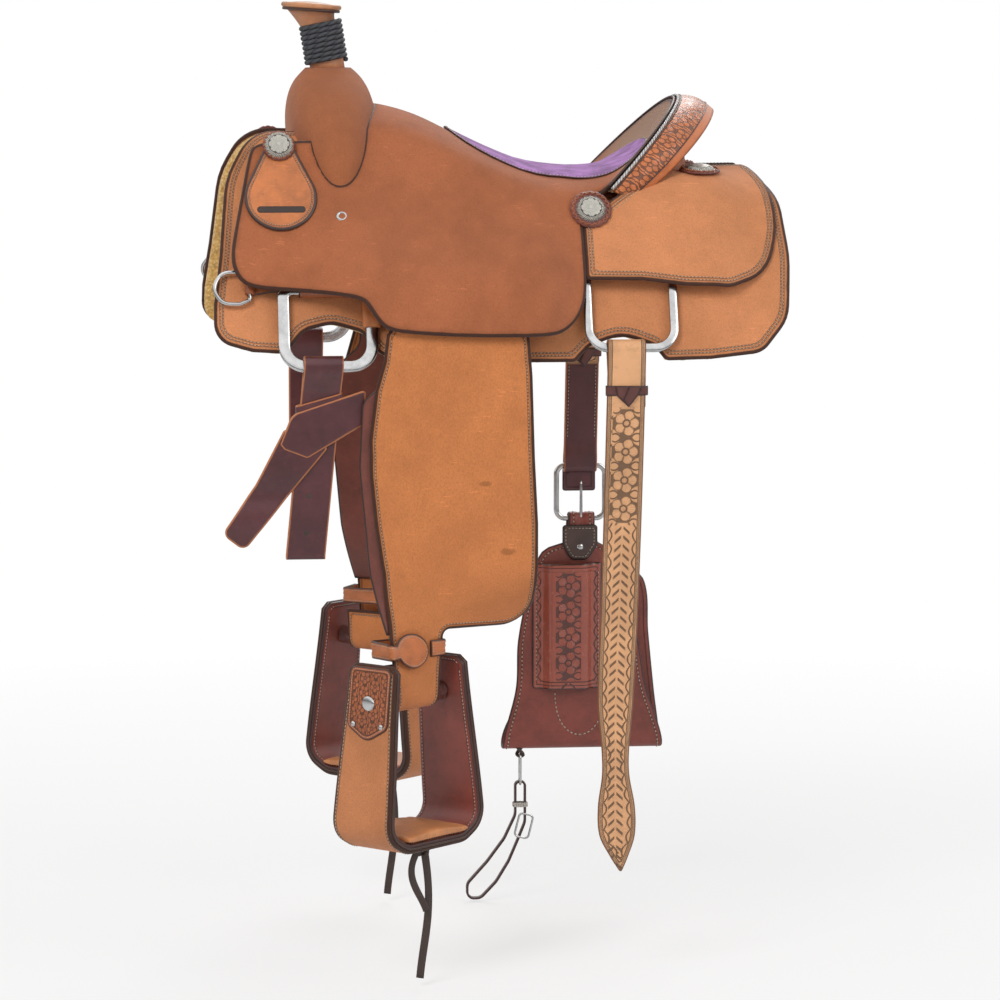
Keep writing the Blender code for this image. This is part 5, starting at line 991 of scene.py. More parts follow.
def smooth_leather(name, colour, edge, tool=None, roughness=0.42, border=0.0, rows=(), gloss=0.15,
                   band=None, worn=0.0008):
    """Grain-side leather, oiled and burnished.

    tool is the size of stamped flowers, or the words of flower_column; border is where their
    frame runs, rows are stitch rows, and band is the share of a roll that is tooled.
    """
    f = Finish(name, colour)
    here = f.here()
    away = f.attribute("edge")
    blotch = f.cloud(here, 22.0, 4.0)
    smudge = f.cloud(here, 95.0, 4.0, 0.6)
    grain = f.cells(here, 1900.0)
    scratch = f.cloud(f.stretched(here, (80.0, 80.0, 620.0)), 1.0, 2.0, 0.5)
    base = f.mix(f.step(blotch, 0.28, 0.72), shaded(colour, 0.72), shaded(colour, 1.12))
    base = f.mix(f.step(smudge, 0.5, 0.75) * 0.5, base, shaded(colour, 1.28))
    base = f.mix(f.step(smudge, 0.45, 0.28) * 0.5, base, shaded(colour, 0.6))
    base = f.mix(f.step(scratch, 0.66, 0.70) * 0.35, base, shaded(colour, 1.5))
    height = grain * 0.10 + smudge * 0.25
    if tool:
        if isinstance(tool, tuple):
            raised = flower_column(f, away, *tool)
        else:
            u, v = f.flat()
            raised = flowers(f, u, v, tool)
        if border:
            inner = f.step(away, border - 0.0006, border + 0.0006)
            line = f.step(abs(away - border), 0.0004, 0.0011)
            raised = (raised * inner + (1.0 - inner) * 0.9) * line
        if band:
            plain = f.step(f.attribute("band"), band - 0.02, band + 0.02)
            raised = raised * (1.0 - plain) + plain * 0.85
        matted = f.cells(here, 900.0)
        ground = 1.0 - f.step(raised, 0.05, 0.45)
        base = f.mix(ground * 0.88, base, shaded(colour, 0.20))
        # Painted highlight: the raised tops of the tooling are drawn lighter than the leather.
        base = f.mix(f.step(raised, 0.55, 0.95) * 0.35, base, shaded(colour, 1.45))
        height = height * 0.4 + raised * 2.2 + ground * matted * 0.4
    # Painted shade: the groove of each stitch row is drawn darker.
    for row in rows:
        base = f.mix(f.step(abs(away - row), 0.0014, 0.0006) * 0.5, base, shaded(colour, 0.35))
    burnt = f.step(away + (smudge - 0.5) * 0.001, worn + 0.0014, worn)
    f.set(Base_Color=f.mix(burnt, base, edge))
    f.set(Roughness=smudge * 0.3 + (roughness - 0.15), Coat_Weight=gloss)
    f.shader.inputs["Coat Roughness"].default_value = 0.3
    for row in rows:
        height = height - f.step(abs(away - row), 0.0010, 0.0003) * 1.2
    f.relief(height, 0.0007)
    return f.made


def polished_steel(name, colour, roughness=0.16):
    """Stainless steel, a little smeared and with fine scratches."""
    f = Finish(name, colour)
    here = f.here()
    smear = f.cloud(here, 60.0, 4.0)
    fine = f.cloud(f.stretched(here, (900.0, 900.0, 120.0)), 1.0, 2.0)
    f.set(Base_Color=f.mix(f.step(smear, 0.3, 0.75), shaded(colour, 0.72), colour), Metallic=1.0)
    f.set(Roughness=smear * 0.16 + fine * 0.06 + (roughness - 0.08))
    f.relief(fine * 0.2 + smear * 0.6, 0.0002)
    return f.made


def engraved_silver(name, colour):
    """Antique silver: petals and a rope rim cut in, with black left in the low places."""
    f = Finish(name, colour)
    here = f.here()
    u, v = f.flat()
    r = (u * u + v * v).root()
    t = v.turn(u)
    petal = abs((t * 4.0).cosine())
    lobe = f.step(r / 0.0125 - petal * 0.22, 0.92, 0.80)
    veins = f.step(abs((t * 12.0 + r * 420.0).cosine()), 0.15, 0.55)
    outer = f.step(abs(r - 0.0132), 0.0004, 0.0010)
    rope = abs((t * 22.0 + r * 900.0).cosine())
    heart = f.step(r, 0.0030, 0.0022)
    cutting = (lobe * (veins * 0.5 + 0.5)).most(heart) * outer
    rim = f.step(r, 0.0128, 0.0136)
    raised = cutting * (1.0 - rim) + rim * rope
    scroll = f.cloud(here, 520.0, 2.0)
    raised = raised * 0.8 + f.step(scroll, 0.45, 0.55) * 0.2
    base = f.mix(f.step(raised, 0.10, 0.70), (0.075, 0.070, 0.060), colour)
    f.set(Base_Color=base, Metallic=0.9, Roughness=raised * -0.2 + 0.52)
    f.relief(raised, 0.0008)
    return f.made


def wool(name, colour, tip):
    """Curled fleece, lighter at the tips of its locks."""
    f = Finish(name, colour)
    here = f.here()
    lock = f.cells(here, 240.0)
    curl = f.cloud(here, 420.0, 5.0, 0.7)
    dust = f.cloud(here, 16.0, 3.0)
    base = f.mix(f.step(lock, 0.1, 0.85), tip, shaded(colour, 0.82))
    base = f.mix(f.step(dust, 0.35, 0.7) * 0.3, base, shaded(colour, 0.8))
    f.set(Base_Color=base, Roughness=0.97, Sheen_Weight=0.3)
    f.relief(curl * 0.8 - lock * 0.9, 0.0022)
    return f.made


def suede(name, colour):
    """Dyed suede, rubbed light and dark."""
    f = Finish(name, colour)
    here = f.here()
    rub = f.cloud(here, 36.0, 4.0, 0.6)
    nap = f.cloud(here, 1300.0, 3.0, 0.7)
    base = f.mix(f.step(rub, 0.32, 0.7), shaded(colour, 0.62), shaded(colour, 1.3))
    base = f.mix(f.step(nap, 0.4, 0.7) * 0.3, base, shaded(colour, 0.5))
    f.set(Base_Color=base, Roughness=0.93, Sheen_Weight=0.08)
    f.relief(nap * 0.4 + rub * 0.8, 0.0008)
    return f.made


def twisted(name, colour, light, twist=0.006, strands=3.0, roughness=0.6):
    """Cord or waxed thread: strands laid round each other along its length."""
    f = Finish(name, colour)
    u, v = f.flat()
    lay = abs(((u / twist + v * strands) * math.pi).cosine())
    fibre = f.cloud(f.here(), 2600.0, 2.0)
    # Painted shade: the grooves between the strands are drawn darker.
    base = f.mix(f.step(lay, 0.15, 0.95), shaded(colour, 0.35), colour)
    base = f.mix(f.step(fibre, 0.5, 0.7) * 0.5, base, light)
    f.set(Base_Color=base, Roughness=roughness)
    f.relief(lay + fibre * 0.3, 0.0009)
    return f.made


def pine(name, colour):
    """The tree's wood under its rawhide cover."""
    f = Finish(name, colour)
    here = f.here()
    grain = f.cloud(f.stretched(here, (9.0, 160.0, 160.0)), 1.0, 4.0)
    base = f.mix(f.step(grain, 0.35, 0.65), shaded(colour, 0.62), colour)
    f.set(Base_Color=base, Roughness=grain * 0.2 + 0.5)
    f.relief(grain, 0.0006)
    return f.made


def add_piece(name, verts, faces, made_of, node, covers=(), edge=None, flat=None, band=None,
              crease=None):
    """A mesh object that rides on the body of a node and stands for the nodes it covers."""
    mesh = bpy.data.meshes.new(name)
    mesh.from_pydata([tuple(v) for v in verts], [], faces)
    bm = bmesh.new()
    bm.from_mesh(mesh)
    bmesh.ops.recalc_face_normals(bm, faces=bm.faces)
    for face in bm.faces:
        face.smooth = True
    bm.to_mesh(mesh)
    bm.free()
    for label, values in (("edge", edge or [PAST_EDGE] * len(verts)), ("band", band)):
        if values:
            mesh.attributes.new(label, "FLOAT", "POINT").data.foreach_set("value", list(values))
    if flat is not None:
        layer = mesh.uv_layers.new(name="flat")
        for loop in mesh.loops:
            layer.data[loop.index].uv = flat[loop.vertex_index]
    if crease:
        mesh.set_sharp_from_angle(angle=crease)
    mesh.materials.append(made_of)
    made = bpy.data.objects.new(name, mesh)
    bpy.context.scene.collection.objects.link(made)
    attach(made, BODY_OF[node])
    if covers:
        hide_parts(*covers)
    return made


def add_form(name, form, made_of, node, covers=()):
    """A piece from its (verts, faces, uv)."""
    verts, faces, uv = form
    return add_piece(name, verts, faces, made_of, node, covers, flat=uv)


def ring_faces(rings, sides, closed=False):
    """Faces between rings of as many points; an open row of rings gets two caps."""
    faces = []
    for i in range(rings if closed else rings - 1):
        j = (i + 1) % rings
        for k in range(sides):
            o = (k + 1) % sides
            faces.append((i * sides + k, i * sides + o, j * sides + o, j * sides + k))
    if not closed:
        faces.append(tuple(range(sides))[::-1])
        faces.append(tuple((rings - 1) * sides + k for k in range(sides)))
    return faces


def rim_tree(points, rim):
    """A search tree of points along the rim's edges."""
    tree = kdtree.KDTree(len(rim) * 3)
    for n, (i, j) in enumerate(rim):
        for k in range(3):
            tree.insert(points[i].lerp(points[j], k / 3.0), n * 3 + k)
    tree.balance()
    return tree


def edge_distance(points, loops):
    """How far each flat point lies from the nearest of the closed lines."""
    points = np.asarray([(p[0], p[1]) for p in points], float)
    best = np.full(len(points), 1e9)
    for loop in loops:
        a = np.array([(p[0], p[1]) for p in loop])
        ab = np.roll(a, -1, 0) - a
        length2 = (ab**2).sum(1) + 1e-18
        for k in range(0, len(points), 1500):
            p = points[k:k + 1500, None, :]
            t = np.clip(((p - a) * ab).sum(2) / length2, 0.0, 1.0)
            gap = np.linalg.norm(p - a - t[..., None] * ab, axis=2).min(1)
            best[k:k + 1500] = np.minimum(best[k:k + 1500], gap)
    return best


def inside(points, loop):
    """Which flat points a closed line holds."""
    points = np.asarray([(p[0], p[1]) for p in points], float)
    a = np.array([(p[0], p[1]) for p in loop])
    b = np.roll(a, -1, 0)
    held = np.zeros(len(points), bool)
    for (x0, y0), (x1, y1) in zip(a, b):
        if y0 == y1:
            continue
        spans = (points[:, 1] >= min(y0, y1)) & (points[:, 1] < max(y0, y1))
        at = x0 + (points[:, 1] - y0) * (x1 - x0) / (y1 - y0)
        held ^= spans & (points[:, 0] < at)
    return held


class Sheet:
    """A cut sheet of leather: its object, its outline and how it lies on the saddle."""

    def __init__(self, made, loops, place, side, node):
        self.made, self.loops, self.place, self.side, self.node = made, loops, place, side, node

    def at(self, a, b, t=1.0):
        x, w, z = self.place(a, b, t)
        return Vector((x, self.side * w, z))


def leather(name, outline, place, made_of, node, side=1, step=0.006, holes=(), covers=None,
            nudge=None):
    """A sheet of leather with rounded edges: a flat outline and place(a, b, t), t through it."""
    ring = refine([Vector(p[:2]) for p in outline], step * 0.75)
    loops = [ring] + [refine([Vector(p[:2]) for p in hole], 0.002) for hole in holes]
    low = [min(p[k] for p in ring) for k in (0, 1)]
    high = [max(p[k] for p in ring) for k in (0, 1)]
    fill = []
    for j, b in enumerate(np.arange(low[1] + step / 2, high[1], step * 0.87)):
        for a in np.arange(low[0] + step * (0.25 if j % 2 else 0.75), high[0], step):
            fill.append((a, b))
    rims = []
    for depth in (ROUNDED, 0.0042):
        if depth < step or depth == ROUNDED:
            for loop in loops:
                for p in inset(loop, depth if loop is ring else -depth):
                    rims.append((p.x, p.y, depth))
    kept = []
    if fill:
        near, held = edge_distance(fill, loops), inside(fill, ring)
        kept += [p for p, d, h in zip(fill, near, held) if h and d > max(0.0045, step * 0.6)]
    near, held = edge_distance(rims, loops), inside(rims, ring)
    kept += [p[:2] for p, d, h in zip(rims, near, held) if h and d > p[2] * 0.86]
    for hole in loops[1:]:
        kept = [p for p, h in zip(kept, inside(kept, hole)) if not h]
    verts, edges = [], []
    for loop in loops:
        first = len(verts)
        verts += [Vector((p[0], p[1])) for p in loop]
        edges += [(first + k, first + (k + 1) % len(loop)) for k in range(len(loop))]
    verts += [Vector((p[0], p[1])) for p in kept]
    made = delaunay_2d_cdt(verts, edges, [], 5 if holes else 1, 1e-7)
    flat, faces = made[0], [tuple(f) for f in made[2]]
    for n, f in enumerate(faces):
        a, b, c = (flat[i] for i in f[:3])
        if (b - a).cross(c - a) <= 0.0:
            faces[n] = f[::-1]
    used = {pair: True for f in faces for pair in zip(f, f[1:] + f[:1])}
    rim = [(i, j) for i, j in used if (j, i) not in used]
    out = {}
    for i, j in rim:
        d = (flat[j] - flat[i]).normalized()
        for k in (i, j):
            out[k] = out.get(k, Vector((0.0, 0.0))) + Vector((d.y, -d.x))
    away = edge_distance(flat, loops)
    solid, uv = [], []
    count = len(flat)
    for face in (1, 0):
        for p, d in zip(flat, away):
            soft = 0.16 * (1.0 - min(1.0, d / ROUNDED)) ** 2
            x, w, z = place(p.x, p.y, 1.0 - soft if face else soft)
            solid.append(Vector((x, side * w, z)))
            uv.append((p.x, p.y))
    mids = {}
    for k, normal in out.items():
        p = flat[k] + normal.normalized() * EDGE_BULGE
        x, w, z = place(p.x, p.y, 0.5)
        mids[k] = len(solid)
        solid.append(Vector((x, side * w, z)))
        uv.append((p.x, p.y))
    made_faces = list(faces) + [tuple(i + count for i in reversed(f)) for f in faces]
    for i, j in rim:
        made_faces.append((j, i, mids[i], mids[j]))
        made_faces.append((mids[j], mids[i], i + count, j + count))
    tree = rim_tree(solid, rim)
    edge = [tree.find(v)[2] for v in solid[:count]]
    edge = edge + edge + [0.0] * len(mids)
    if nudge:
        solid = [nudge(v, i, count) for i, v in enumerate(solid)]
    covers = [node] if covers is None else covers
    piece = add_piece(name, solid, made_faces, made_of, node, covers, edge, uv)
    return Sheet(piece, loops, place, side, node)


def stitch_mesh(routes, pitch, radius):
    """Raised stitches along routes of (point, normal), as one mesh."""
    verts, faces, uv = [], [], []
    sides = 6
    for route in routes:
        lengths = [0.0]
        for (a, _), (b, _) in zip(route, route[1:]):
            lengths.append(lengths[-1] + (b - a).length)
        count = int(lengths[-1] / pitch)
        if count < 1:
            continue
        k = 0

        def at(s):
            nonlocal k
            while k < len(lengths) - 2 and lengths[k + 1] < s:
                k += 1
            t = (s - lengths[k]) / max(1e-9, lengths[k + 1] - lengths[k])
            return route[k][0].lerp(route[k + 1][0], t), route[k][1]

        for n in range(count):
            k = 0 if n == 0 else k
            s = n * pitch
            start, normal = at(s + pitch * (1.0 - STITCH_SHARE) / 2.0)
            end, _ = at(s + pitch * (1.0 + STITCH_SHARE) / 2.0)
            along = (end - start).normalized()
            across = along.cross(normal).normalized()
            up = across.cross(along)
            first = len(verts)
            verts.append(start - up * radius * 0.5)
            uv.append((0.0, 0.0))
            for t, size, lift in ((0.14, 0.75, 0.1), (0.5, 1.0, 0.35), (0.86, 0.75, 0.1)):
                centre = start.lerp(end, t) + up * radius * lift
                for m in range(sides):
                    turn = math.tau * m / sides
                    arm = across * math.cos(turn) + up * math.sin(turn)
                    verts.append(centre + arm * radius * size)
                    uv.append((t * pitch, m / sides))
            verts.append(end - up * radius * 0.5)
            uv.append((pitch, 0.0))
            last = len(verts) - 1
            for m in range(sides):
                o = (m + 1) % sides
                faces.append((first, first + 1 + o, first + 1 + m))
                for r in range(2):
                    a, b = first + 1 + r * sides, first + 1 + (r + 1) * sides
                    faces.append((a + m, a + o, b + o, b + m))
                faces.append((last, first + 1 + 2 * sides + m, first + 1 + 2 * sides + o))
    return verts, faces, uv


def thread(settings):
    """The finish of every seam."""
    return finish("waxed_thread", twisted, tuple(settings.thread_colour), (0.95, 0.93, 0.88),
                  0.0016, 2.0, 0.55)


def rows_on(sheet, distances, keep=None, face=1.0):
    """Lines drawn in from a sheet's outline, as routes of points and normals."""
    routes = []
    for distance in distances:
        line = inset(sheet.loops[0], distance)
        near = edge_distance(line, sheet.loops)
        held = inside(line, sheet.loops[0])
        route = []
        for p, d, h in zip(line + line[:1], list(near) + [near[0]], list(held) + [held[0]]):
            if not h or d < distance * 0.93 or (keep and not keep(*sheet.at(p.x, p.y))):
                routes.append(route)
                route = []
                continue
            outer = sheet.at(p.x, p.y, face)
            normal = (outer - sheet.at(p.x, p.y, 0.5)).normalized()
            route.append((outer + normal * STITCH_LIFT, normal))
        routes.append(route)
    return [route for route in routes if len(route) > 2]


def seam(name, routes, pitch, radius, settings, node):
    """Stitches along routes of (point, normal)."""
    return add_form(name, stitch_mesh(routes, pitch, radius), thread(settings), node)


def sew(name, sheet, distances, settings, keep=None, pitch=0.0044, radius=0.00062, face=1.0):
    """Rows of stitches on a sheet, at distances in from its edge."""
    routes = rows_on(sheet, distances, keep, face)
    return seam(name, routes, pitch, radius, settings, sheet.node)


def tube(points, radius, sides=10, closed=False):
    """A round tube along points; radius is a number or one for each point."""
    count = len(points)
    radii = radius if isinstance(radius, (list, tuple)) else [radius] * count
    verts, uv, along = [], [], []
    for i in range(count):
        if closed:
            along.append((points[(i + 1) % count] - points[i - 1]).normalized())
        else:
            along.append((points[min(count - 1, i + 1)] - points[max(0, i - 1)]).normalized())
    up = Z_AXIS if abs(along[0].z) < 0.9 else X_AXIS
    up = (up - along[0] * up.dot(along[0])).normalized()
    length = 0.0
    for i in range(count):
        up = (up - along[i] * up.dot(along[i])).normalized()
        across = along[i].cross(up)
        if i:
            length += (points[i] - points[i - 1]).length
        for k in range(sides):
            turn = math.tau * k / sides
            arm = up * math.cos(turn) + across * math.sin(turn)
            verts.append(points[i] + arm * radii[i])
            uv.append((length, k / sides))
    return verts, ring_faces(count, sides, closed), uv


def joined(parts):
    """Several (verts, faces, uv) as one."""
    verts, faces, uv = [], [], []
    for v, f, u in parts:
        faces += [tuple(i + len(verts) for i in face) for face in f]
        verts += list(v)
        uv += list(u)
    return verts, faces, uv


def curved(points, closed=False, parts=6):
    """A smooth line through the points."""
    fine = []
    count = len(points)
    spans = count if closed else count - 1
    for i in range(spans):
        p1, p2 = points[i], points[(i + 1) % count]
        p0 = points[i - 1] if closed or i else p1
        p3 = points[(i + 2) % count] if closed or i + 2 < count else p2
        for k in range(parts):
            t = k / parts
            fine.append(0.5 * (
                2.0 * p1 + (p2 - p0) * t + (2.0 * p0 - 5.0 * p1 + 4.0 * p2 - p3) * t * t
                + (3.0 * p1 - p0 - 3.0 * p2 + p3) * t**3
            ))
    return fine if closed else fine + [points[-1]]


def ring_piece(name, outer, inner, place, deep, made_of, node, side=1, corner=0.0012, covers=None,
               across=(), dished=0.0):
    """A closed ring or band with rounded corners; across adds lines over its width."""
    thick = (Vector(outer[0][:2]) - Vector(inner[0][:2])).length
    corner = min(corner, thick * 0.49, deep * 0.49)
    section = []
    for sx, sy, first in ((1, 1, 0), (-1, 1, 90), (-1, -1, 180), (1, -1, 270)):
        for k in range(4):
            turn = math.radians(first + 30.0 * k)
            section.append((
                sx * (thick / 2 - corner) + corner * math.cos(turn),
                sy * (deep / 2 - corner) + corner * math.sin(turn),
            ))
    extra = sorted(across)
    full = []
    for i, point in enumerate(section):
        full.append(point)
        if i == 7:
            full += [(-thick / 2, d) for d in extra[::-1] if abs(d) < deep / 2 - corner]
    full += [(thick / 2, d) for d in extra if abs(d) < deep / 2 - corner]
    count = len(outer)
    verts, uv, edge = [], [], []
    length = 0.0
    for i in range(count):
        if i:
            length += (outer[i] - outer[i - 1]).length
        for offset, depth in full:
            t = 0.5 + offset / thick
            sag = dished * (1.0 - (2.0 * depth / deep) ** 2)
            p = inner[i].lerp(outer[i], t + sag / thick)
            x, w, z = place(p.x, p.y, depth)
            verts.append(Vector((x, side * w, z)))
            uv.append((depth, length))
            edge.append(max(0.0, deep / 2 - abs(depth)))
    covers = [node] if covers is None else covers
    return add_piece(name, verts, ring_faces(count, len(full), True), made_of, node, covers,
                     edge, uv)


def turned_piece(name, profile, matrix, made_of, node, sides=48, covers=None, wave=None,
                 crease=None):
    """A turned solid about the matrix's z axis: profile of (radius, height) from the top down."""
    verts, faces, uv, rows = [], [], [], []
    for radius, height in profile:
        row = []
        for k in range(1 if radius == 0.0 else sides):
            turn = math.tau * k / sides
            r = radius * (wave(turn, radius) if wave else 1.0)
            p = Vector((r * math.cos(turn), r * math.sin(turn), height))
            row.append(len(verts))
            verts.append(matrix @ p)
            uv.append((p.x, p.y))
        rows.append(row)
    for a, b in zip(rows, rows[1:]):
        for k in range(sides):
            o = (k + 1) % sides
            if len(a) == 1:
                faces.append((a[0], b[k], b[o]))
            elif len(b) == 1:
                faces.append((a[k], b[0], a[o]))
            else:
                faces.append((a[k], b[k], b[o], a[o]))
    for row in (rows[0], rows[-1]):
        if len(row) > 1:
            faces.append(tuple(row))
    covers = [node] if covers is None else covers
    return add_piece(name, verts, faces, made_of, node, covers, None, uv, crease=crease)


def lofted(name, rings, made_of, node, covers=None, edge=None, flat=None, band=None):
    """A solid through rings of as many points."""
    verts = [v for ring in rings for v in ring]
    faces = ring_faces(len(rings), len(rings[0]))
    covers = [node] if covers is None else covers
    return add_piece(name, verts, faces, made_of, node, covers, edge, flat, band)
class Unrolled:
    """A flank laid flat: x, and the length of leather from the ridge down."""

    def __init__(self, bed):
        self.bed = bed
        self.steps = np.linspace(0.0, 3.2, 500)
        points = [bed.raw(0.0, q) for q in self.steps]
        run = [0.0]
        for (w0, z0), (w1, z1) in zip(points, points[1:]):
            run.append(run[-1] + max(1e-6, math.hypot(w1 - w0, z1 - z0)))
        self.run = np.array(run)

    def down(self, x, z):
        """How much leather lies between the ridge and a height."""
        return float(np.interp(max(0.014, self.bed.q(x, z)), self.steps, self.run))

    def q(self, s):
        """The place on the section that a length of leather reaches."""
        return float(np.interp(s, self.run, self.steps))


FERRULE_AT = (-0.213, 0.031)
LATIGO_WRAP_Z = -0.208
LATIGO_WRAP_SLOPE = 0.28
STIRRUP_TOOLED = (0.004, 0.094)
STIRRUP_TOOLED_LEATHER = 0.0018
BURNT = (0.050, 0.018, 0.010)
DARK_EDGE = (0.05, 0.018, 0.010)
BURGUNDY_EDGE = (0.045, 0.014, 0.012)
ROLL_TOOLED = 0.76
BILLET_SWAY = 0.036
SKIRT_FLAT = Unrolled(SKIRT_BED)
SEAT_FLAT = Unrolled(SEAT_BED)


def value_at(rule, x, q):
    """A distance that is a number, or a rule of the place."""
    return rule(x, q) if callable(rule) else rule


def flank_leather(name, laid, corners, inner, outer, made_of, node, side, step=0.006,
                  draw_in=0.0, covers=None, nudge=None):
    """A sheet that lies on a flank, with its outline as it shows from the side: x and z."""
    outline = [Vector((p.x, laid.down(p.x, p.y))) for p in refine(arced(corners), 0.01)]
    if draw_in:
        outline = inset(outline, draw_in)

    def place(a, b, t):
        q = laid.q(b)
        low, high = value_at(inner, a, q), value_at(outer, a, q)
        return laid.bed.at(a, q, low + (high - low) * t)

    return leather(name, outline, place, made_of, node, side, step, (), covers, nudge)


def colours(settings):
    """The finishes of the saddle, by name, from the colours in the panel."""
    rough, smooth = tuple(settings.rough_colour), tuple(settings.smooth_colour)
    natural, burgundy = tuple(settings.natural_colour), tuple(settings.burgundy_colour)
    keeper_column = (sum(KEEPER_X) / 2.0, KEEPER_Z[0] - 0.012, KEEPER_Z[1] + 0.012, 0.0345)
    billet_column = (BILLET_X, -0.202, -0.342, 0.035, BILLET_SWAY)
    faded_dish = (0.125, 0.175, (0.36, 0.235, 0.155))
    fender_marks = ((-0.045, -0.2900, 0.004), (-0.017, -0.374, 0.005))

    def nap(name, colour, rows=(), **more):
        return finish(name, rough_leather, colour, BURNT, rows, **more)

    def grain(name, colour, edge, tool=None, **more):
        return finish(name, smooth_leather, colour, edge, tool, **more)

    return {
        "skirt": nap("skirt_rough_out", rough, (0.007, 0.0105)),
        "jockey": nap("rear_jockey_rough_out", shaded(rough, 1.02), (0.006, 0.0095)),
        "seat": nap("seat_rough_out", (0.40, 0.130, 0.055), wear=0.8, mottle=0.16,
                    fade=faded_dish),
        "swell": nap("swell_rough_out", (0.37, 0.125, 0.052), wear=0.6),
        "fender": nap("fender_rough_out", (0.58, 0.205, 0.070), (0.006,), wear=0.7,
                      marks=fender_marks),
        "stirrup": nap("stirrup_rough_out", (0.55, 0.215, 0.090), (0.005,)),
        "smooth": grain("russet_leather", smooth, (0.06, 0.022, 0.012)),
        "chape": grain("chape_leather", (0.30, 0.085, 0.030), DARK_EDGE),
        "carrier": grain("carrier_tooled", (0.52, 0.165, 0.050), (0.035, 0.014, 0.010),
                         roughness=0.40, rows=(0.0052,), gloss=0.25, worn=0.0024),
        "roll": grain("cantle_roll_tooled", (0.52, 0.150, 0.044), (0.06, 0.022, 0.012), 0.029,
                      roughness=0.34, gloss=0.3, band=ROLL_TOOLED),
        "keeper": grain("keeper_tooled", (0.30, 0.062, 0.034), (0.05, 0.015, 0.012),
                        keeper_column, roughness=0.24, gloss=0.8),
        "billet": grain("billet_tooled", natural, (0.20, 0.085, 0.035), billet_column,
                        roughness=0.45, rows=(0.0030,)),
        "stirrup_top": grain("stirrup_top_tooled", (0.40, 0.115, 0.040), (0.05, 0.018, 0.012),
                             0.017, roughness=0.4, border=0.005),
        "tread": grain("tread_leather", (0.58, 0.23, 0.085), (0.10, 0.04, 0.018),
                       roughness=0.5),
        "hobble": grain("hobble_leather", (0.50, 0.150, 0.045), DARK_EDGE, roughness=0.4),
        "latigo": grain("latigo_leather", shaded(burgundy, 0.8), (0.42, 0.14, 0.045),
                        roughness=0.38, gloss=0.25),
        "strap": grain("burgundy_strap", burgundy, BURGUNDY_EDGE, roughness=0.40,
                       rows=(0.0045,), gloss=0.25),
        "cinch": grain("cinch_leather", (0.235, 0.052, 0.036), BURGUNDY_EDGE, roughness=0.46,
                       rows=(0.006,)),
        "leg": grain("stirrup_leather_oiled", (0.156, 0.040, 0.026), (0.03, 0.012, 0.008),
                     roughness=0.45),
        "dark": grain("dark_chrome_leather", (0.075, 0.042, 0.034), (0.02, 0.012, 0.010),
                      roughness=0.55),
        "horn_cap": grain("horn_cap_leather", (0.50, 0.22, 0.10), DARK_EDGE, roughness=0.42,
                          rows=(0.004,)),
        "horn": grain("horn_neck_leather", (0.46, 0.19, 0.085), DARK_EDGE, roughness=0.5),
        "rosette": grain("rosette_leather", (0.16, 0.040, 0.030), (0.03, 0.010, 0.008)),
        "binding": grain("dark_binding", (0.055, 0.022, 0.014), (0.02, 0.010, 0.008),
                         roughness=0.45),
        "steel": finish("polished_stainless", polished_steel, (0.62, 0.62, 0.62)),
        "silver": finish("engraved_silver", engraved_silver, (0.50, 0.48, 0.43)),
        "wool": finish("fleece_lining", wool, (0.76, 0.42, 0.11), (0.92, 0.62, 0.24)),
        "suede": finish("purple_suede", suede, tuple(settings.suede_colour)),
        "cord": finish("horn_cord", twisted, (0.050, 0.053, 0.062), (0.15, 0.15, 0.16), 0.012,
                       2.0),
        "lace": grain("dark_lace", (0.045, 0.028, 0.022), (0.02, 0.012, 0.01), roughness=0.6),
        "tie": grain("tie_leather", (0.110, 0.034, 0.028), (0.045, 0.016, 0.013)),
        "silver_lace": finish("silver_edge_lace", twisted, (0.62, 0.61, 0.60),
                              (0.9, 0.9, 0.9), 0.005, 2.0, 0.35),
        "white": finish("white_cord", twisted, (0.72, 0.68, 0.62), (0.9, 0.88, 0.84), 0.003,
                        2.0),
        "wood": finish("tree_wood", pine, (0.55, 0.40, 0.24)),
    }


def build_skirts(settings):
    """The skirts with their fleece and the rear jockeys over them."""
    made = colours(settings)
    for label, side in SIDES:
        skirt = flank_leather(f"skirt_{label}_leather", SKIRT_FLAT, SKIRT_OUTLINE, 0.0,
                              SKIRT_LEATHER, made["skirt"], f"skirt_{label}", side)
        sew(f"skirt_{label}_stitching", skirt, (0.007, 0.0105), settings)

        def clumps(v, i, count):
            if i < count:
                return v
            wave = noise.noise(v * 110.0) * 0.0024 + noise.noise(v * 260.0) * 0.0016
            return v + Vector((0.0, -math.copysign(1.0, v.y), -0.5)) * wave

        fleece = flank_leather(f"fleece_{label}_pile", SKIRT_FLAT, SKIRT_OUTLINE,
                               -FLEECE_DEPTH + 0.001, -TOUCH, made["wool"], f"fleece_{label}",
                               side, 0.0055, 0.0030, nudge=clumps)
        rear = flank_leather(f"rear_jockey_{label}_leather", SKIRT_FLAT, REAR_JOCKEY_OUTLINE,
                             rear_jockey_out,
                             lambda x, q: rear_jockey_out(x, q) + JOCKEY_LEATHER,
                             made["jockey"], f"rear_jockey_{label}", side, 0.005)
        sew(f"rear_jockey_{label}_stitching", rear, (0.006, 0.0095), settings)


def swell_shape(z):
    """The swell's half length, half width and middle at a height."""
    return [smooth_table([(row[0], row[k]) for row in SWELL], z) for k in (1, 2, 3)]


def beyond_swell(p):
    """About how far a point lies outside the swell cover; less than 0 inside it."""
    if not SWELL[0][0] - 0.03 < p.z < SWELL[-1][0] + 0.02:
        return 1.0
    length, width, middle = swell_shape(p.z)
    size = (abs((p.x - middle) / length) ** SWELL_POWER
            + abs(p.y / width) ** SWELL_POWER) ** (1.0 / SWELL_POWER)
    return (size - 1.0) * math.hypot(p.x - middle, p.y) / max(0.2, size)


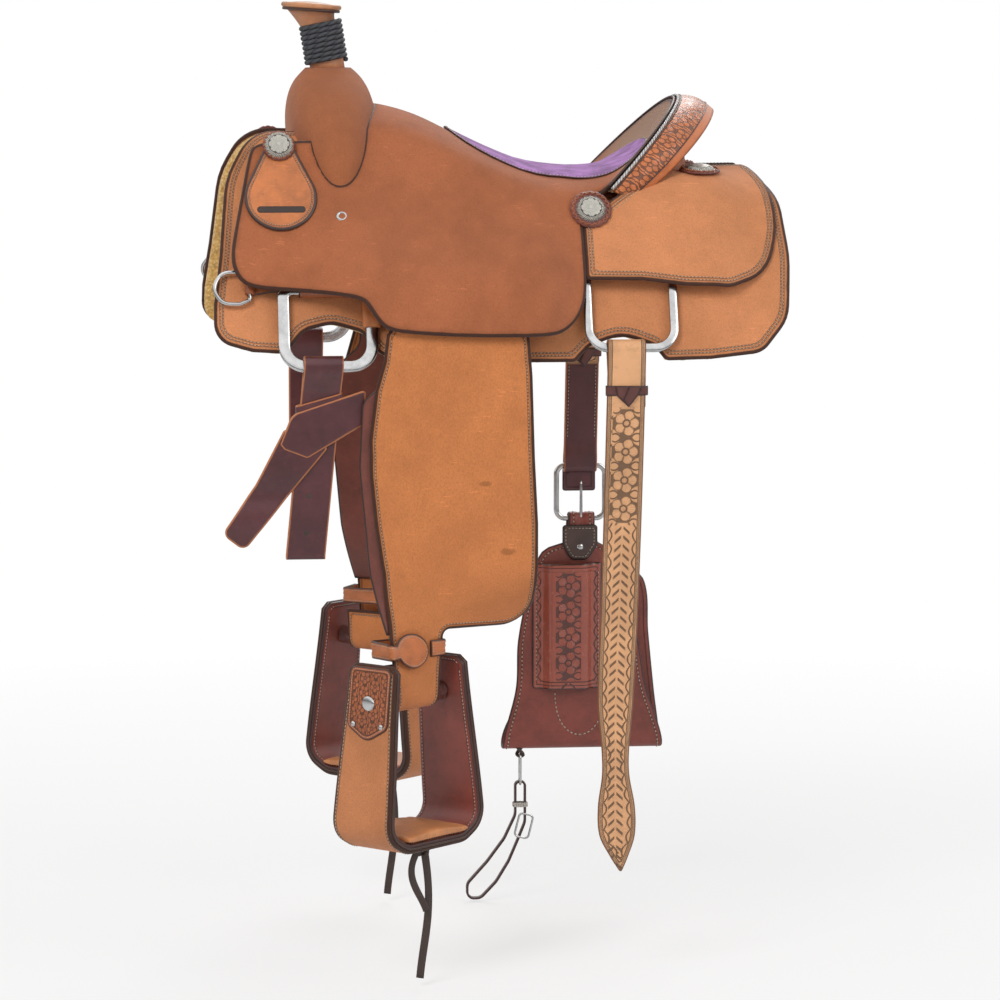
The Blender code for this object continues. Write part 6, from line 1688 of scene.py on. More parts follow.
def seat_sheet():
    """The seat, its jockeys and its dish as one open mesh, drawn smooth."""
    bm = bmesh.new()
    stations = [seat_rows(i) for i in range(len(SEAT_RIBS))]
    for k in range(1, CANTLE_DISH_ROWS + 1):
        along = k / CANTLE_DISH_ROWS
        stations.append([dish_point(along, row) for row in range(SEAT_TOP_ROWS + 1)])
    made = []
    for rows in stations:
        line = {}
        for row, point in enumerate(rows):
            if point is None:
                continue
            for side in (-1, 1):
                if row or side == -1:
                    line[side * row] = bm.verts.new((point.x, side * point.y, point.z))
        made.append(line)
    last = SEAT_TOP_ROWS + SEAT_SIDE_ROWS
    for a, b in zip(made, made[1:]):
        for row in range(-last, last):
            corners = [a.get(row), a.get(row + 1), b.get(row + 1), b.get(row)]
            if all(corners):
                bm.faces.new(corners)
    bmesh.ops.recalc_face_normals(bm, faces=bm.faces)
    if sum(f.normal.z * f.calc_area() for f in bm.faces) < 0.0:
        bmesh.ops.reverse_faces(bm, faces=bm.faces)
    mesh = bpy.data.meshes.new("seat_draft")
    bm.to_mesh(mesh)
    bm.free()
    draft = bpy.data.objects.new("seat_draft", mesh)
    bpy.context.scene.collection.objects.link(draft)
    smooth = draft.modifiers.new("smooth", "SUBSURF")
    smooth.levels = smooth.render_levels = 3
    smooth.boundary_smooth = "ALL"
    graph = bpy.context.evaluated_depsgraph_get()
    fine = bpy.data.meshes.new_from_object(draft.evaluated_get(graph))
    bpy.data.objects.remove(draft)
    return fine


def build_seat(settings):
    """The seat with its jockeys, the swell cover, the inlay and the cantle's edge and roll."""
    made = colours(settings)
    fine = seat_sheet()
    count = len(fine.vertices)
    tops = [v.co.copy() for v in fine.vertices]
    normals = [v.normal.copy() for v in fine.vertices]
    faces = [tuple(p.vertices) for p in fine.polygons]
    bpy.data.meshes.remove(fine)
    used = {(i, j) for f in faces for i, j in zip(f, f[1:] + f[:1])}
    rim = [(i, j) for i, j in used if (j, i) not in used]
    tree = rim_tree(tops, rim)
    edge = [min(tree.find(v)[2], max(0.0, beyond_swell(v) + 0.0012)) for v in tops]
    rimmed = {}
    for i, j in rim:
        out = (tops[j] - tops[i]).cross(normals[i]).normalized()
        for k in (i, j):
            rimmed[k] = rimmed.get(k, Vector()) + out
    verts = []
    for face in (1, 0):
        for k in range(count):
            soft = 0.14 * SEAT_LEATHER if k in rimmed else 0.0
            depth = soft if face else SEAT_LEATHER - soft
            verts.append(tops[k] - normals[k] * depth)
    mids = {}
    for k, out in rimmed.items():
        mids[k] = len(verts)
        verts.append(tops[k] - normals[k] * SEAT_LEATHER / 2.0 + out.normalized() * 0.0009)
    solid = list(faces) + [tuple(i + count for i in reversed(f)) for f in faces]
    for i, j in rim:
        solid.append((j, i, mids[i], mids[j]))
        solid.append((mids[j], mids[i], i + count, j + count))
    add_piece("seat_rough_out", verts, solid, made["seat"], "seat_leather", ["seat_leather"],
              edge + edge + [0.0] * len(mids))

    rings, edges, steps, sides = [], [], 44, 72
    for i in range(steps + 1):
        z = SWELL[0][0] + (SWELL[-1][0] - SWELL[0][0]) * i / steps
        length, width, middle = swell_shape(z)
        ring = []
        for turn in around(sides, 0.5):
            c, s = math.cos(turn), math.sin(turn)
            size = (abs(c) ** SWELL_POWER + abs(s) ** SWELL_POWER) ** (-1.0 / SWELL_POWER)
            ring.append(Vector((middle + length * c * size, width * s * size, z)))
            edges.append(0.006 + 0.02 * min(i / 6.0, (steps - i) / 2.0))
        rings.append(ring)
    lofted("swell_rough_out", rings, made["swell"], "swell_cover", ["swell_cover"], edges)
    build_inlay(settings, made)
    build_cantle(made)


def build_inlay(settings, made):
    """The suede let into the seat, with its stitching."""
    stations = []
    for x, share in ((-0.070, 0.15), (-0.060, 0.34), (-0.050, 0.44), (-0.035, 0.51),
                     (-0.020, 0.55), (0.0, 0.58), (0.015, 0.59), (0.033, 0.60), (0.050, 0.60),
                     (0.067, 0.585), (0.083, 0.60)):
        stations.append((lambda r, x=x: seat_point(x, r), share * SEAT_TOP_ROWS))
    for along, share in ((0.07, 0.605), (0.14, 0.605), (0.20, 0.60), (0.28, 0.59), (0.35, 0.57),
                         (0.42, 0.53), (0.48, 0.48), (0.52, 0.42), (0.56, 0.34), (0.59, 0.22),
                         (0.60, 0.12)):
        stations.append((lambda r, a=along: dish_point(a, r), share * SEAT_TOP_ROWS))
    columns = 14
    lines = []
    for point_at, reach in stations:
        line = []
        for k in range(-columns, columns + 1):
            p = point_at(reach * abs(k) / columns)
            line.append(Vector((p.x, math.copysign(p.y, k), p.z)))
        lines.append(line)
    verts, faces = [v for line in lines for v in line], []
    m = 2 * columns + 1
    for i in range(len(lines) - 1):
        for k in range(m - 1):
            faces.append((i * m + k, i * m + k + 1, (i + 1) * m + k + 1, (i + 1) * m + k))
    mesh = bpy.data.meshes.new("inlay_draft")
    mesh.from_pydata([tuple(v) for v in verts], [], faces)
    mesh.update()
    normals = [v.normal.copy() for v in mesh.vertices]
    up = 1.0 if sum(n.z for n in normals) > 0.0 else -1.0
    bpy.data.meshes.remove(mesh)
    ring = [(0, k) for k in range(m)] + [(i, m - 1) for i in range(1, len(lines))]
    ring += [(len(lines) - 1, k) for k in range(m - 2, -1, -1)]
    ring += [(i, 0) for i in range(len(lines) - 2, 0, -1)]
    solid, edge = [], []
    rim = {i * m + k for i, k in ring}
    for depth in (1, 0):
        for n, v in enumerate(verts):
            i, k = divmod(n, m)
            away = min(i, len(lines) - 1 - i, k, m - 1 - k)
            thick = INLAY_LEATHER * min(1.0, 0.35 + away * 0.65) if depth else -0.0008
            puff = INLAY_LIFT + thick
            solid.append(v + normals[n] * up * puff)
            edge.append(0.0 if n in rim else 0.004 * away)
    count = len(verts)
    closed = list(faces) + [tuple(i + count for i in reversed(f)) for f in faces]
    for (i0, k0), (i1, k1) in zip(ring, ring[1:] + ring[:1]):
        a, b = i0 * m + k0, i1 * m + k1
        closed.append((a, b, b + count, a + count))
    add_piece("seat_inlay_suede", solid, closed, made["suede"], "seat_inlay", ["seat_inlay"], edge)
    route = []
    for i, k in ring + ring[:1]:
        n = i * m + k
        inner = min(max(k, 1), m - 2)
        v = verts[n].lerp(verts[i * m + inner], 0.35)
        route.append((v + normals[n] * up * (INLAY_LIFT + INLAY_LEATHER * 0.6), normals[n] * up))
    seam("seat_inlay_stitching", [route], 0.0044, 0.0006, settings, "seat_inlay")
    rope = [verts[i * m + k] + normals[i * m + k] * up * (INLAY_LIFT + 0.0002)
            for i, k in ring]
    add_form("seat_inlay_welt", tube(rope, 0.0010, 8, True), made["binding"], "seat_inlay")


def rim_frame(turn):
    """The cantle's rim at a turn, the way outward there and the way over the roll."""
    outward = Vector((0.25, math.sin(turn), 0.85 * math.cos(turn))).normalized()
    across = Vector((ROLL_DIRECTION[0], 0.0, ROLL_DIRECTION[1]))
    across = (across - outward * across.dot(outward)).normalized()
    return rim_point(turn), outward, across


def roll_foot(turn):
    """Where the roll starts at a turn, the two ways of rim_frame there and the roll's width."""
    rim, outward, across = rim_frame(turn)
    width = ROLL_END_WIDTH + (ROLL_WIDTH - ROLL_END_WIDTH) * math.cos(turn) ** 0.35
    return rim + across * (SEAT_LEATHER + 0.0014) + outward * 0.001, outward, across, width


def roll_rise(share):
    """How far the roll bulges at a share of its width."""
    return ROLL_BULGE * math.sin(math.pi * (0.15 + 0.85 * share))


def build_cantle(made):
    """The tooled roll, the silver lace and dark cord along the rim, and the back's leather."""
    steps = 14
    turns = [ROLL_TURN * k / 70 for k in range(-70, 71)]
    rings, edge, band, uv = [], [], [], []
    run = 0.0
    for turn in turns:
        rim, outward, across, width = roll_foot(turn)
        if rings:
            run += (rim - rings[-1][0]).length
        top, under = [], []
        for j in range(steps + 1):
            t = j / steps
            point = rim + across * width * t + outward * roll_rise(t)
            thick = ROLL_THICKNESS * (0.35 + 0.65 * math.sin(math.pi * min(1.0, t + 0.12)))
            top.append(point)
            under.append(point - outward * max(0.003, thick))
            edge.append(min(t, 1.0 - t) * width + 0.0012)
            band.append(t)
            uv.append((t * width, run))
        for j in range(steps, -1, -1):
            t = j / steps
            edge.append(min(t, 1.0 - t) * width + 0.0012)
            band.append(1.0)
            uv.append((t * width, run))
        rings.append(top + under[::-1])
    lofted("cantle_roll_tooled", rings, made["roll"], "cantle_roll", ["cantle_roll"], edge, uv,
           band)

    def along_rim(over, out):
        line = []
        for turn in turns:
            rim, outward, across = rim_frame(turn)
            line.append(rim + across * over + outward * out)
        return line

    pieces = (
        ("cantle_silver_lace", SEAT_LEATHER + 0.0002, 0.0042, 0.0019, "silver_lace"),
        ("cantle_dark_cord", SEAT_LEATHER - 0.0046, 0.0010, 0.0016, "binding"),
        ("cantle_rear_cord", SEAT_LEATHER + 0.0036, 0.0056, 0.0011, "binding"),
    )
    for name, over, out, radius, which in pieces:
        add_form(name, tube(along_rim(over, out), radius, 10), made[which], "seat_leather")
    bead = []
    for turn in turns:
        rim, outward, across, width = roll_foot(turn)
        bead.append(rim + across * width * ROLL_TOOLED
                    + outward * (roll_rise(ROLL_TOOLED) + 0.0002))
    add_form("cantle_roll_bead", tube(bead, 0.0008, 8), made["binding"], "cantle_roll")

    back = []
    for k in range(-36, 37):
        row = 4.6 * k / 36.0
        side = -1.0 if row < 0.0 else 1.0
        turn = math.radians(90.0) * abs(row) / SEAT_TOP_ROWS
        rim = rim_point(turn)
        top = rim + Vector((0.004, -0.012 * math.sin(turn), -0.020))
        foot = Vector((CANTLE_BACK_FOOT_X - 0.06 * math.sin(turn) ** 2, top.y, 0.048))
        rear = [top.lerp(foot, j / 10.0) for j in range(11)]
        inner = [p + Vector((CANTLE_GAP, 0.0, 0.0)) for p in rear]
        outer = [p + Vector((CANTLE_GAP + CANTLE_LEATHER, 0.0, 0.0)) for p in rear]
        back.append([on_side(p, side) for p in inner + outer[::-1]])
    lofted("cantle_back_leather", back, made["smooth"], "cantle_back", ["cantle_back"])
    for node in ("tree_bar_near", "tree_bar_off", "tree_fork", "tree_cantle"):
        frame["nodes"][node].data.materials.clear()
        frame["nodes"][node].data.materials.append(made["wood"])


def rounded(radius, low, high, round_low, round_high):
    """A turned profile from the top's middle to the bottom's, with rounded corners."""
    points = [(0.0, high)]
    points += [(radius - round_high + round_high * math.sin(turn),
                high - round_high + round_high * math.cos(turn)) for turn in quarter(5)]
    points += [(radius - round_low + round_low * math.cos(turn),
                low + round_low - round_low * math.sin(turn)) for turn in quarter(5)]
    return points + [(0.0, low)]


def build_horn(settings):
    """The horn: its neck, its cap of two layers and the cord wound under it."""
    made = colours(settings)
    base = horn_matrix()
    neck = HORN_NECK_RADIUS
    cap_frame = (
        base
        @ Matrix.Translation((-HORN_CAP_FORWARD, 0.0, HORN_NECK_LENGTH + TOUCH + 0.0060))
        @ Matrix.Rotation(-HORN_CAP_TILT, 4, "Y")
    )
    r, t = HORN_CAP_RADIUS, HORN_CAP_THICKNESS

    def circle(place, radius, height):
        return [place @ spun(radius, a, height) for a in around(48)]

    heights = (-0.004, 0.010, 0.030, HORN_NECK_LENGTH - 0.02)
    rings = [circle(base, neck + 0.0002, z) for z in heights]
    head = circle(cap_frame, r * 0.80, 0.0004)
    middle, top = (sum(ring, Vector()) / 48.0 for ring in (rings[-1], head))
    for k in range(1, 11):
        share = k / 10.0
        rings.append([middle.lerp(top, share) + (a - middle).lerp(b - top, share**2.2)
                      for a, b in zip(rings[3], head)])
    lofted("horn_neck", rings, made["horn"], "horn_post", ["horn_post"])
    crown = [(0.0, t + 0.003)]
    crown += [(r * 0.9 * k / 8.0, t + 0.003 - 0.0035 * (k / 8.0) ** 2) for k in range(1, 9)]
    for k in range(1, 9):
        turn = math.radians(180.0) * k / 8.0
        crown.append((r - 0.0030 + 0.0034 * math.sin(turn), t * 0.72 + 0.0034 * math.cos(turn)))
    crown += [(r - 0.0046, t * 0.34), (0.0, t * 0.34)]
    turned_piece("horn_cap_crown", crown, cap_frame, made["horn_cap"], "horn_cap", 96)
    turned_piece("horn_cap_under", rounded(r - 0.0012, -0.0002, t * 0.36, 0.0016, 0.0012),
                 cap_frame, made["binding"], "horn_cap", 96, [])
    stitch_line = []
    for k in range(181):
        turn = math.tau * k / 180.0
        at = spun(r - 0.0055, turn, t + 0.0003)
        stitch_line.append((cap_frame @ at, cap_frame.to_3x3() @ Z_AXIS))
    seam("horn_cap_stitching", [stitch_line], 0.0036, 0.0004, settings, "horn_cap")

    per_turn = 44
    radius = neck + WRAP_CORD / 2.0 + 0.0002
    points = []
    for k in range(WRAP_TURNS * per_turn + 1):
        turn = math.tau * k / per_turn
        height = WRAP_FIRST_HEIGHT + WRAP_PITCH * k / per_turn
        uneven = 0.0005 * noise.noise(Vector((k * 0.09, 1.3, 0.2)))
        points.append(base @ spun(radius + uneven, turn, height + 0.4 * uneven))
    add_form("horn_wrap_cord", tube(points, WRAP_PITCH * 0.52, 12), made["cord"], "horn_wrap",
             ["horn_wrap"])


def concho_place(name, x, z, lift, side):
    """The middle of a concho, with z out of the leather."""
    rear = name == "concho_rear"
    bed = SKIRT_BED if rear else SEAT_BED
    q = bed.q(x, z)

    def face(u, v):
        return bed.at(u, v, rear_jockey_out(u, v) + JOCKEY_LEATHER if rear else 0.0)

    along = face(x + 0.012, q) - face(x - 0.012, q)
    down = face(x, q + 0.12) - face(x, q - 0.12)
    out = along.cross(down).normalized()
    if out.y < 0.0:
        out = -out
    return frame_on(face(x, q) + out * lift, out, side)


def build_conchos(settings):
    """The engraved conchos, each on a scalloped leather rosette where it has one."""
    made = colours(settings)
    places = (
        ("concho_front", -0.287, 0.1130, 0.0058, False),
        ("concho_seat", 0.094, 0.0370, 0.0011, True),
        ("concho_rear", 0.239, 0.0600, 0.0000, True),
    )

    def ridged(turn, radius):
        return 1.0 + (0.025 * math.cos(16.0 * turn) if radius > 0.0165 else 0.0)

    def scalloped(turn, radius):
        return 1.0 + (0.045 * abs(math.cos(8.0 * turn)) - 0.02 if radius > 0.015 else 0.0)

    for name, x, z, lift, wide in places:
        for label, side in SIDES:
            node = f"{name}_{label}"
            at = concho_place(name, x, z, lift, side)
            dome = [(0.0, 0.0085)]
            dome += [(0.0175 * math.sin(a), 0.0036 + 0.0049 * math.cos(a))
                     for a in quarter(8)[1:]]
            dome += [(0.0182, 0.0032), (0.0180, 0.0026), (0.0, 0.0026)]
            turned_piece(f"{node}_dome", dome, at, made["silver"], node, 96, None, ridged)
            reach = 0.0252 if wide else 0.0198
            flat = [(0.0, 0.0030), (reach * 0.82, 0.0030), (reach * 0.93, 0.0027),
                    (reach, 0.0018), (reach, 0.0008), (reach * 0.98, 0.0), (0.0, 0.0)]
            turned_piece(f"{node}_rosette", flat, at, made["rosette"], node, 128, [], scalloped)
            braid = []
            for turn in around(160):
                sway = 0.0011 * math.cos(20.0 * turn)
                high = 0.0034 + 0.0005 * math.sin(20.0 * turn)
                braid.append(at @ spun(reach * 0.88 + sway, turn, high))
            add_form(f"{node}_braid", tube(braid, 0.0010, 6, True), made["chape"], node)
    for label, side in SIDES:
        q = SEAT_BED.q(*FERRULE_AT)
        out = SEAT_BED.normal(FERRULE_AT[0], q)
        at = frame_on(SEAT_BED.at(FERRULE_AT[0], q), out, side)
        ferrule = [(0.0, 0.0008), (0.0036, 0.0008), (0.0040, 0.0022), (0.0056, 0.0026),
                   (0.0070, 0.0016), (0.0074, 0.0), (0.0, 0.0)]
        turned_piece(f"jockey_ferrule_{label}", ferrule, at, made["steel"], "seat_leather", 40, [])


def build_rigging(settings):
    """The latigo carriers, the rigging plates with their chapes, and the dees."""
    made = colours(settings)
    teardrop = (
        (-0.300, 0.120, 0.014), (-0.341, 0.040, 0.045), (-0.2875, 0.004, 0.06),
        (-0.232, 0.040, 0.045), (-0.273, 0.120, 0.014),
    )
    slot_x, slot_z, half, high = -0.2865, 0.0375, 0.0290, 0.0035
    slot = (
        (slot_x - half, slot_z - high, high), (slot_x - half, slot_z + high, high),
        (slot_x + half, slot_z + high, high), (slot_x + half, slot_z - high, high),
    )
    for label, side in SIDES:
        carrier = flank_leather(f"latigo_carrier_{label}_tooled", SEAT_FLAT, teardrop, 0.0011,
                                0.0049, made["carrier"], f"latigo_carrier_{label}", side, 0.003)
        # Painted shade: a thin dark sheet on the carrier stands for the shade inside its slot.
        flank_leather(f"latigo_carrier_{label}_slot", SEAT_FLAT, slot, 0.0047, 0.0051,
                      made["lace"], f"latigo_carrier_{label}", side, 0.003, covers=[])
        sew(f"latigo_carrier_{label}_stitching", carrier, (0.0052,), settings, None, 0.0032,
            0.0005)
        rig = f"rigging_{label}"
        flank_leather(f"{rig}_plate", SKIRT_FLAT, RIG_OUTLINE, RIG_IN, RIG_OUT, made["smooth"],
                      rig, side)
        for name, dee, ends in (("front", FRONT_DEE, FRONT_CHAPE_X),
                                ("rear", REAR_DEE, REAR_CHAPE_X)):
            centre = dee_frame(dee)[1]
            loop = []
            for k in range(33):
                x = ends[0] + (ends[1] - ends[0]) * k / 32.0
                loop.append(Vector((x, side * centre.y, centre.z)))
            radii = [CHAPE_BORE + CHAPE_LEATHER - (0.0008 if k in (0, 32) else 0.0)
                     for k in range(33)]
            verts, faces, uv = tube(loop, radii, 24)
            edge = [min(k, 32 - k) * (ends[1] - ends[0]) / 32.0 for k in range(33)
                    for _ in range(24)]
            add_piece(f"{name}_chape_{label}", verts, faces, made["chape"], rig, edge=edge,
                      flat=uv)
        stud = []
        hinge_x, hinge_z = FENDER_HINGE
        foot = SKIRT_BED.at(hinge_x, SKIRT_BED.q(hinge_x, hinge_z), RIG_OUT).y
        for k in range(9):
            y = foot + (FENDER_FACE - TOUCH - foot) * k / 8.0
            stud.append(Vector((hinge_x, side * y, hinge_z)))
        add_form(f"hanger_stud_{label}", tube(stud, STUD_RADIUS, 24), made["chape"], rig)
        for name, dee in (("front_dee", FRONT_DEE), ("rear_dee", REAR_DEE)):
            place, _, drop = dee_frame(dee)
            x0, x1 = dee["x"]
            width, corner = dee["width"], dee["corner"]
            rod = 2.0 * DEE_HINGE_RADIUS
            outer = ((x0, -rod / 2, DEE_TOP_CORNER), (x0, drop, corner),
                     (x1, drop, corner), (x1, -rod / 2, DEE_TOP_CORNER))
            inner = ((x0 + width, rod / 2, 0.004), (x0 + width, drop - width, corner - width),
                     (x1 - width, drop - width, corner - width), (x1 - width, rod / 2, 0.004))
            rings = [smooth_corners(c) for c in (outer, inner)]
            section_dee(f"{name}_{label}_steel", rings[0], rings[1], place, made["steel"],
                        f"{name}_{label}", side)
            if name == "front_dee":
                reach, tall = width / 2.0 + 0.0042, DEE_THICKNESS / 2.0 + 0.0026
                sleeve = []
                for below in (0.0000, 0.0008, 0.015, 0.030, 0.0450, 0.0458):
                    shrink = 0.0008 if below in (0.0, 0.0458) else 0.0
                    ring = []
                    for turn in around(20, 0.5):
                        aside = (reach - shrink) * squared(math.cos(turn), 0.5)
                        at = place(x1 - width / 2.0 + aside, below,
                                   (tall - shrink) * squared(math.sin(turn), 0.5))
                        ring.append(on_side(at, side))
                    sleeve.append(ring)
                lofted(f"front_dee_{label}_sleeve", sleeve, made["carrier"], f"{name}_{label}", [])
        at, forward, along, out = breast_frame()
        points = curved(arced(BREAST_DEE_OUTLINE), True, 2)
        outer, inner = offset_ring(points, BREAST_DEE_ROD / 2.0)
        ring_piece(
            f"breast_dee_{label}_rod", outer, inner,
            lambda a, b, depth: at + forward * a + along * b + out * depth,
            BREAST_DEE_ROD, made["steel"], f"breast_dee_{label}", side, 0.0024,
        )
        sleeve = [on_side(at + along * (-0.0080 + 0.0160 * k / 8.0), side) for k in range(9)]
        add_form(f"breast_chape_{label}", tube(sleeve, BREAST_CHAPE_BORE + CHAPE_LEATHER, 20),
                 made["chape"], rig)


def smooth_corners(corners):
    """A four-cornered outline with arcs of one count, and points along its straights."""
    points, count = [], len(corners)
    for i, (a, b, radius) in enumerate(corners):
        here = Vector((a, b))
        back = (Vector(corners[i - 1][:2]) - here).normalized()
        ahead = (Vector(corners[(i + 1) % count][:2]) - here).normalized()
        centre = here + (back + ahead) * radius
        for turn in quarter(12):
            points.append(centre - ahead * radius * math.cos(turn)
                          - back * radius * math.sin(turn))
    fine = []
    for a, b in zip(points, points[1:] + points[:1]):
        fine.append(a)
        if (b - a).length > 0.008:
            fine += [a.lerp(b, k / 6.0) for k in range(1, 6)]
    return fine


def section_dee(name, outer, inner, place, made_of, node, side):
    """A flat bar bent to a dee, with its long edges softened and its face a little crowned."""
    section = (
        (0.0, -0.30), (0.0, 0.18), (0.03, 0.30), (0.09, 0.38), (0.20, 0.44), (0.35, 0.49),
        (0.5, 0.5), (0.65, 0.49), (0.80, 0.44), (0.91, 0.38), (0.97, 0.30), (1.0, 0.18),
        (1.0, -0.30), (0.95, -0.44), (0.85, -0.5), (0.15, -0.5), (0.05, -0.44),
    )
    count = min(len(outer), len(inner))
    verts = []
    for i in range(count):
        for t, depth in section:
            p = inner[i].lerp(outer[i], t)
            verts.append(on_side(place(p.x, p.y, depth * DEE_THICKNESS), side))
    return add_piece(name, verts, ring_faces(count, len(section), True), made_of, node, [node])


def band_lines(bar, radius, thick, low_z, half_gap, low_radius=None):
    """The two faces of a strap doubled over a bar, as closed lines of (out, height)."""
    foot = half_gap if low_radius is None else low_radius
    top = bar.z + radius
    neck = bar.z - 2.6 * radius
    corners = [
        (-radius, top, radius), (radius, top, radius), (radius, bar.z - 0.8 * radius, 0.02),
        (half_gap, neck, 0.02), (half_gap, low_z + 4.0 * foot, 0.02),
        (foot, low_z + 1.6 * foot, 0.01), (foot, low_z - foot, foot), (-foot, low_z - foot, foot),
        (-foot, low_z + 1.6 * foot, 0.01), (-half_gap, low_z + 4.0 * foot, 0.02),
        (-half_gap, neck, 0.02), (-radius, bar.z - 0.8 * radius, 0.02),
    ]
    return corner_ring(corners, 0.008, thick / 2.0)


def hole_shade_discs(name, places, radius, side, made_of, node):
    """Punched holes, drawn as dark discs of painted shade on the face of a strap."""
    parts = []
    for x, w, z in places:
        verts, faces = [Vector((x, side * (w + 0.0002), z))], []
        for size, out in ((0.7, 0.0002), (1.0, -0.0004)):
            for turn in around(16):
                verts.append(Vector((
                    x + radius * size * math.cos(turn), side * (w + out),
                    z + radius * size * math.sin(turn),
                )))
        for k in range(16):
            o = (k + 1) % 16
            faces.append((0, 1 + k, 1 + o))
            faces.append((1 + k, 17 + k, 17 + o, 1 + o))
        faces.append(tuple(range(17, 33)))
        parts.append((verts, faces, [(v.x, v.z) for v in verts]))
    return add_form(name, joined(parts), made_of, node)


def lace_knot(name, at, width, height, made_of, node, radius):
    """A leather lace tied in a flat knot: three crossing loops on a face."""
    across, up = X_AXIS, Z_AXIS
    out = across.cross(up)
    points = []
    for turn in around(96):
        a = (math.sin(turn) + 1.6 * math.sin(2.0 * turn)) / 2.5
        b = (math.cos(turn) - 1.6 * math.cos(2.0 * turn)) / 2.5
        points.append(at + across * a * width / 2.0 + up * b * height / 2.0
                      + out * (radius * (0.7 - 0.7 * math.sin(3.0 * turn))))
    parts = [tube(points, radius, 8, True)]
    for shift in (-0.30, 0.30):
        bar = [at + across * width * (shift + 0.05 * t) + up * height * 0.55 * t
               + out * radius * (1.9 - abs(t)) for t in (-1.0, -0.6, -0.2, 0.2, 0.6, 1.0)]
        parts.append(tube(bar, radius * 0.95, 8))
    return add_form(name, joined(parts), made_of, node)


def flat_tie(name, at, across, half, made_of, node):
    """A flat lace tied round a strap: a band with two folds over it that meet in a point."""
    out = across.cross(Z_AXIS).normalized()
    bend = 0.0018
    reach = half + 0.0075
    folds = (("band", 0.0, ((-reach, -0.0058), (reach, -0.0052), (reach, 0.0052),
                            (-reach, 0.0058))),
             ("under", 0.0013, ((-0.62 * half, 0.0054), (0.02 * half, 0.0052),
                                (0.34 * half, -0.0075), (0.08 * half, -0.0192),
                                (-0.52 * half, -0.0064))),
             ("over", 0.0026, ((0.12 * half, 0.0053), (0.74 * half, 0.0050),
                               (0.50 * half, -0.0068), (0.06 * half, -0.0197),
                               (-0.20 * half, -0.0110))))
    for part, deep, corners in folds:
        def place(a, b, t, deep=deep):
            lift = deep + 0.0012 * t
            past = max(abs(a) - half, 0.0)
            turn = min(past / bend, math.pi / 2.0)
            x = min(abs(a), half) + (bend + lift) * math.sin(turn)
            back = ((bend + lift) * (1.0 - math.cos(turn))
                    + max(past - bend * math.pi / 2.0, 0.0))
            return at + across * math.copysign(x, a) + out * (lift - back) + Z_AXIS * b

        outline = arced(tuple((a, b, 0.0012) for a, b in corners))
        leather(f"{name}_{part}", outline, place, made_of, node, 1, 0.0016, covers=[])


def lace_line(side, length, bow, across=0.004, turned=0.0):
    """Where a lace hangs under a tread."""
    under = STIRRUP_DROP + STIRRUP_THICKNESS / 2.0 + TOUCH
    points = []
    for k in range(25):
        t = k / 24.0
        x, w, z = stirrup_frame(across, under + length * t, 0.020)
        sway = bow * math.sin(math.pi * 1.3 * t)
        points.append(Vector((x + sway, side * (w + turned * t), z)))
    return points


def flat_lace(points, width, thick):
    """A flat lace along points that hang down, with rounded edges and a slow turn."""
    rings = []
    for k, p in enumerate(points):
        twist = 0.3 * math.sin(0.21 * k)
        ahead = points[min(k + 1, len(points) - 1)] - points[max(0, k - 1)]
        across = Vector((math.cos(twist), math.sin(twist), 0.0))
        across = (across - ahead.normalized() * across.dot(ahead.normalized())).normalized()
        out = ahead.normalized().cross(across)
        ring = []
        for turn in around(14):
            c, s = squared(math.cos(turn), 0.6), math.sin(turn)
            ring.append(p + across * c * width / 2.0 + out * s * thick / 2.0)
        rings.append(ring)
    return rings


def build_laces(settings):
    """The leather laces that hang free under the treads, each from its knot."""
    made = colours(settings)
    wide = LACE_WIDTH * 1.5
    uv = [(m * 0.001, k * 0.006) for k in range(25) for m in range(14)]
    for label, side in SIDES:
        node = f"stirrup_lace_{label}"
        points = lace_line(side, settings.lace_length, 0.006)
        lace = lofted(f"lace_long_{label}", flat_lace(points, wide, LACE_THICKNESS),
                      made["lace"], node, [node], None, uv)
        short = lace_line(side, 0.48 * settings.lace_length, -0.010, -0.004, 0.004)
        tail = lofted(f"lace_short_{label}", flat_lace(short, wide * 0.9, LACE_THICKNESS),
                      made["lace"], node, [], None, uv)
        start = points[0] + Vector((0.0, 0.0, -0.004))
        lace_knot(f"lace_knot_{label}", start, 0.016, 0.014, made["lace"], node, 0.0022)


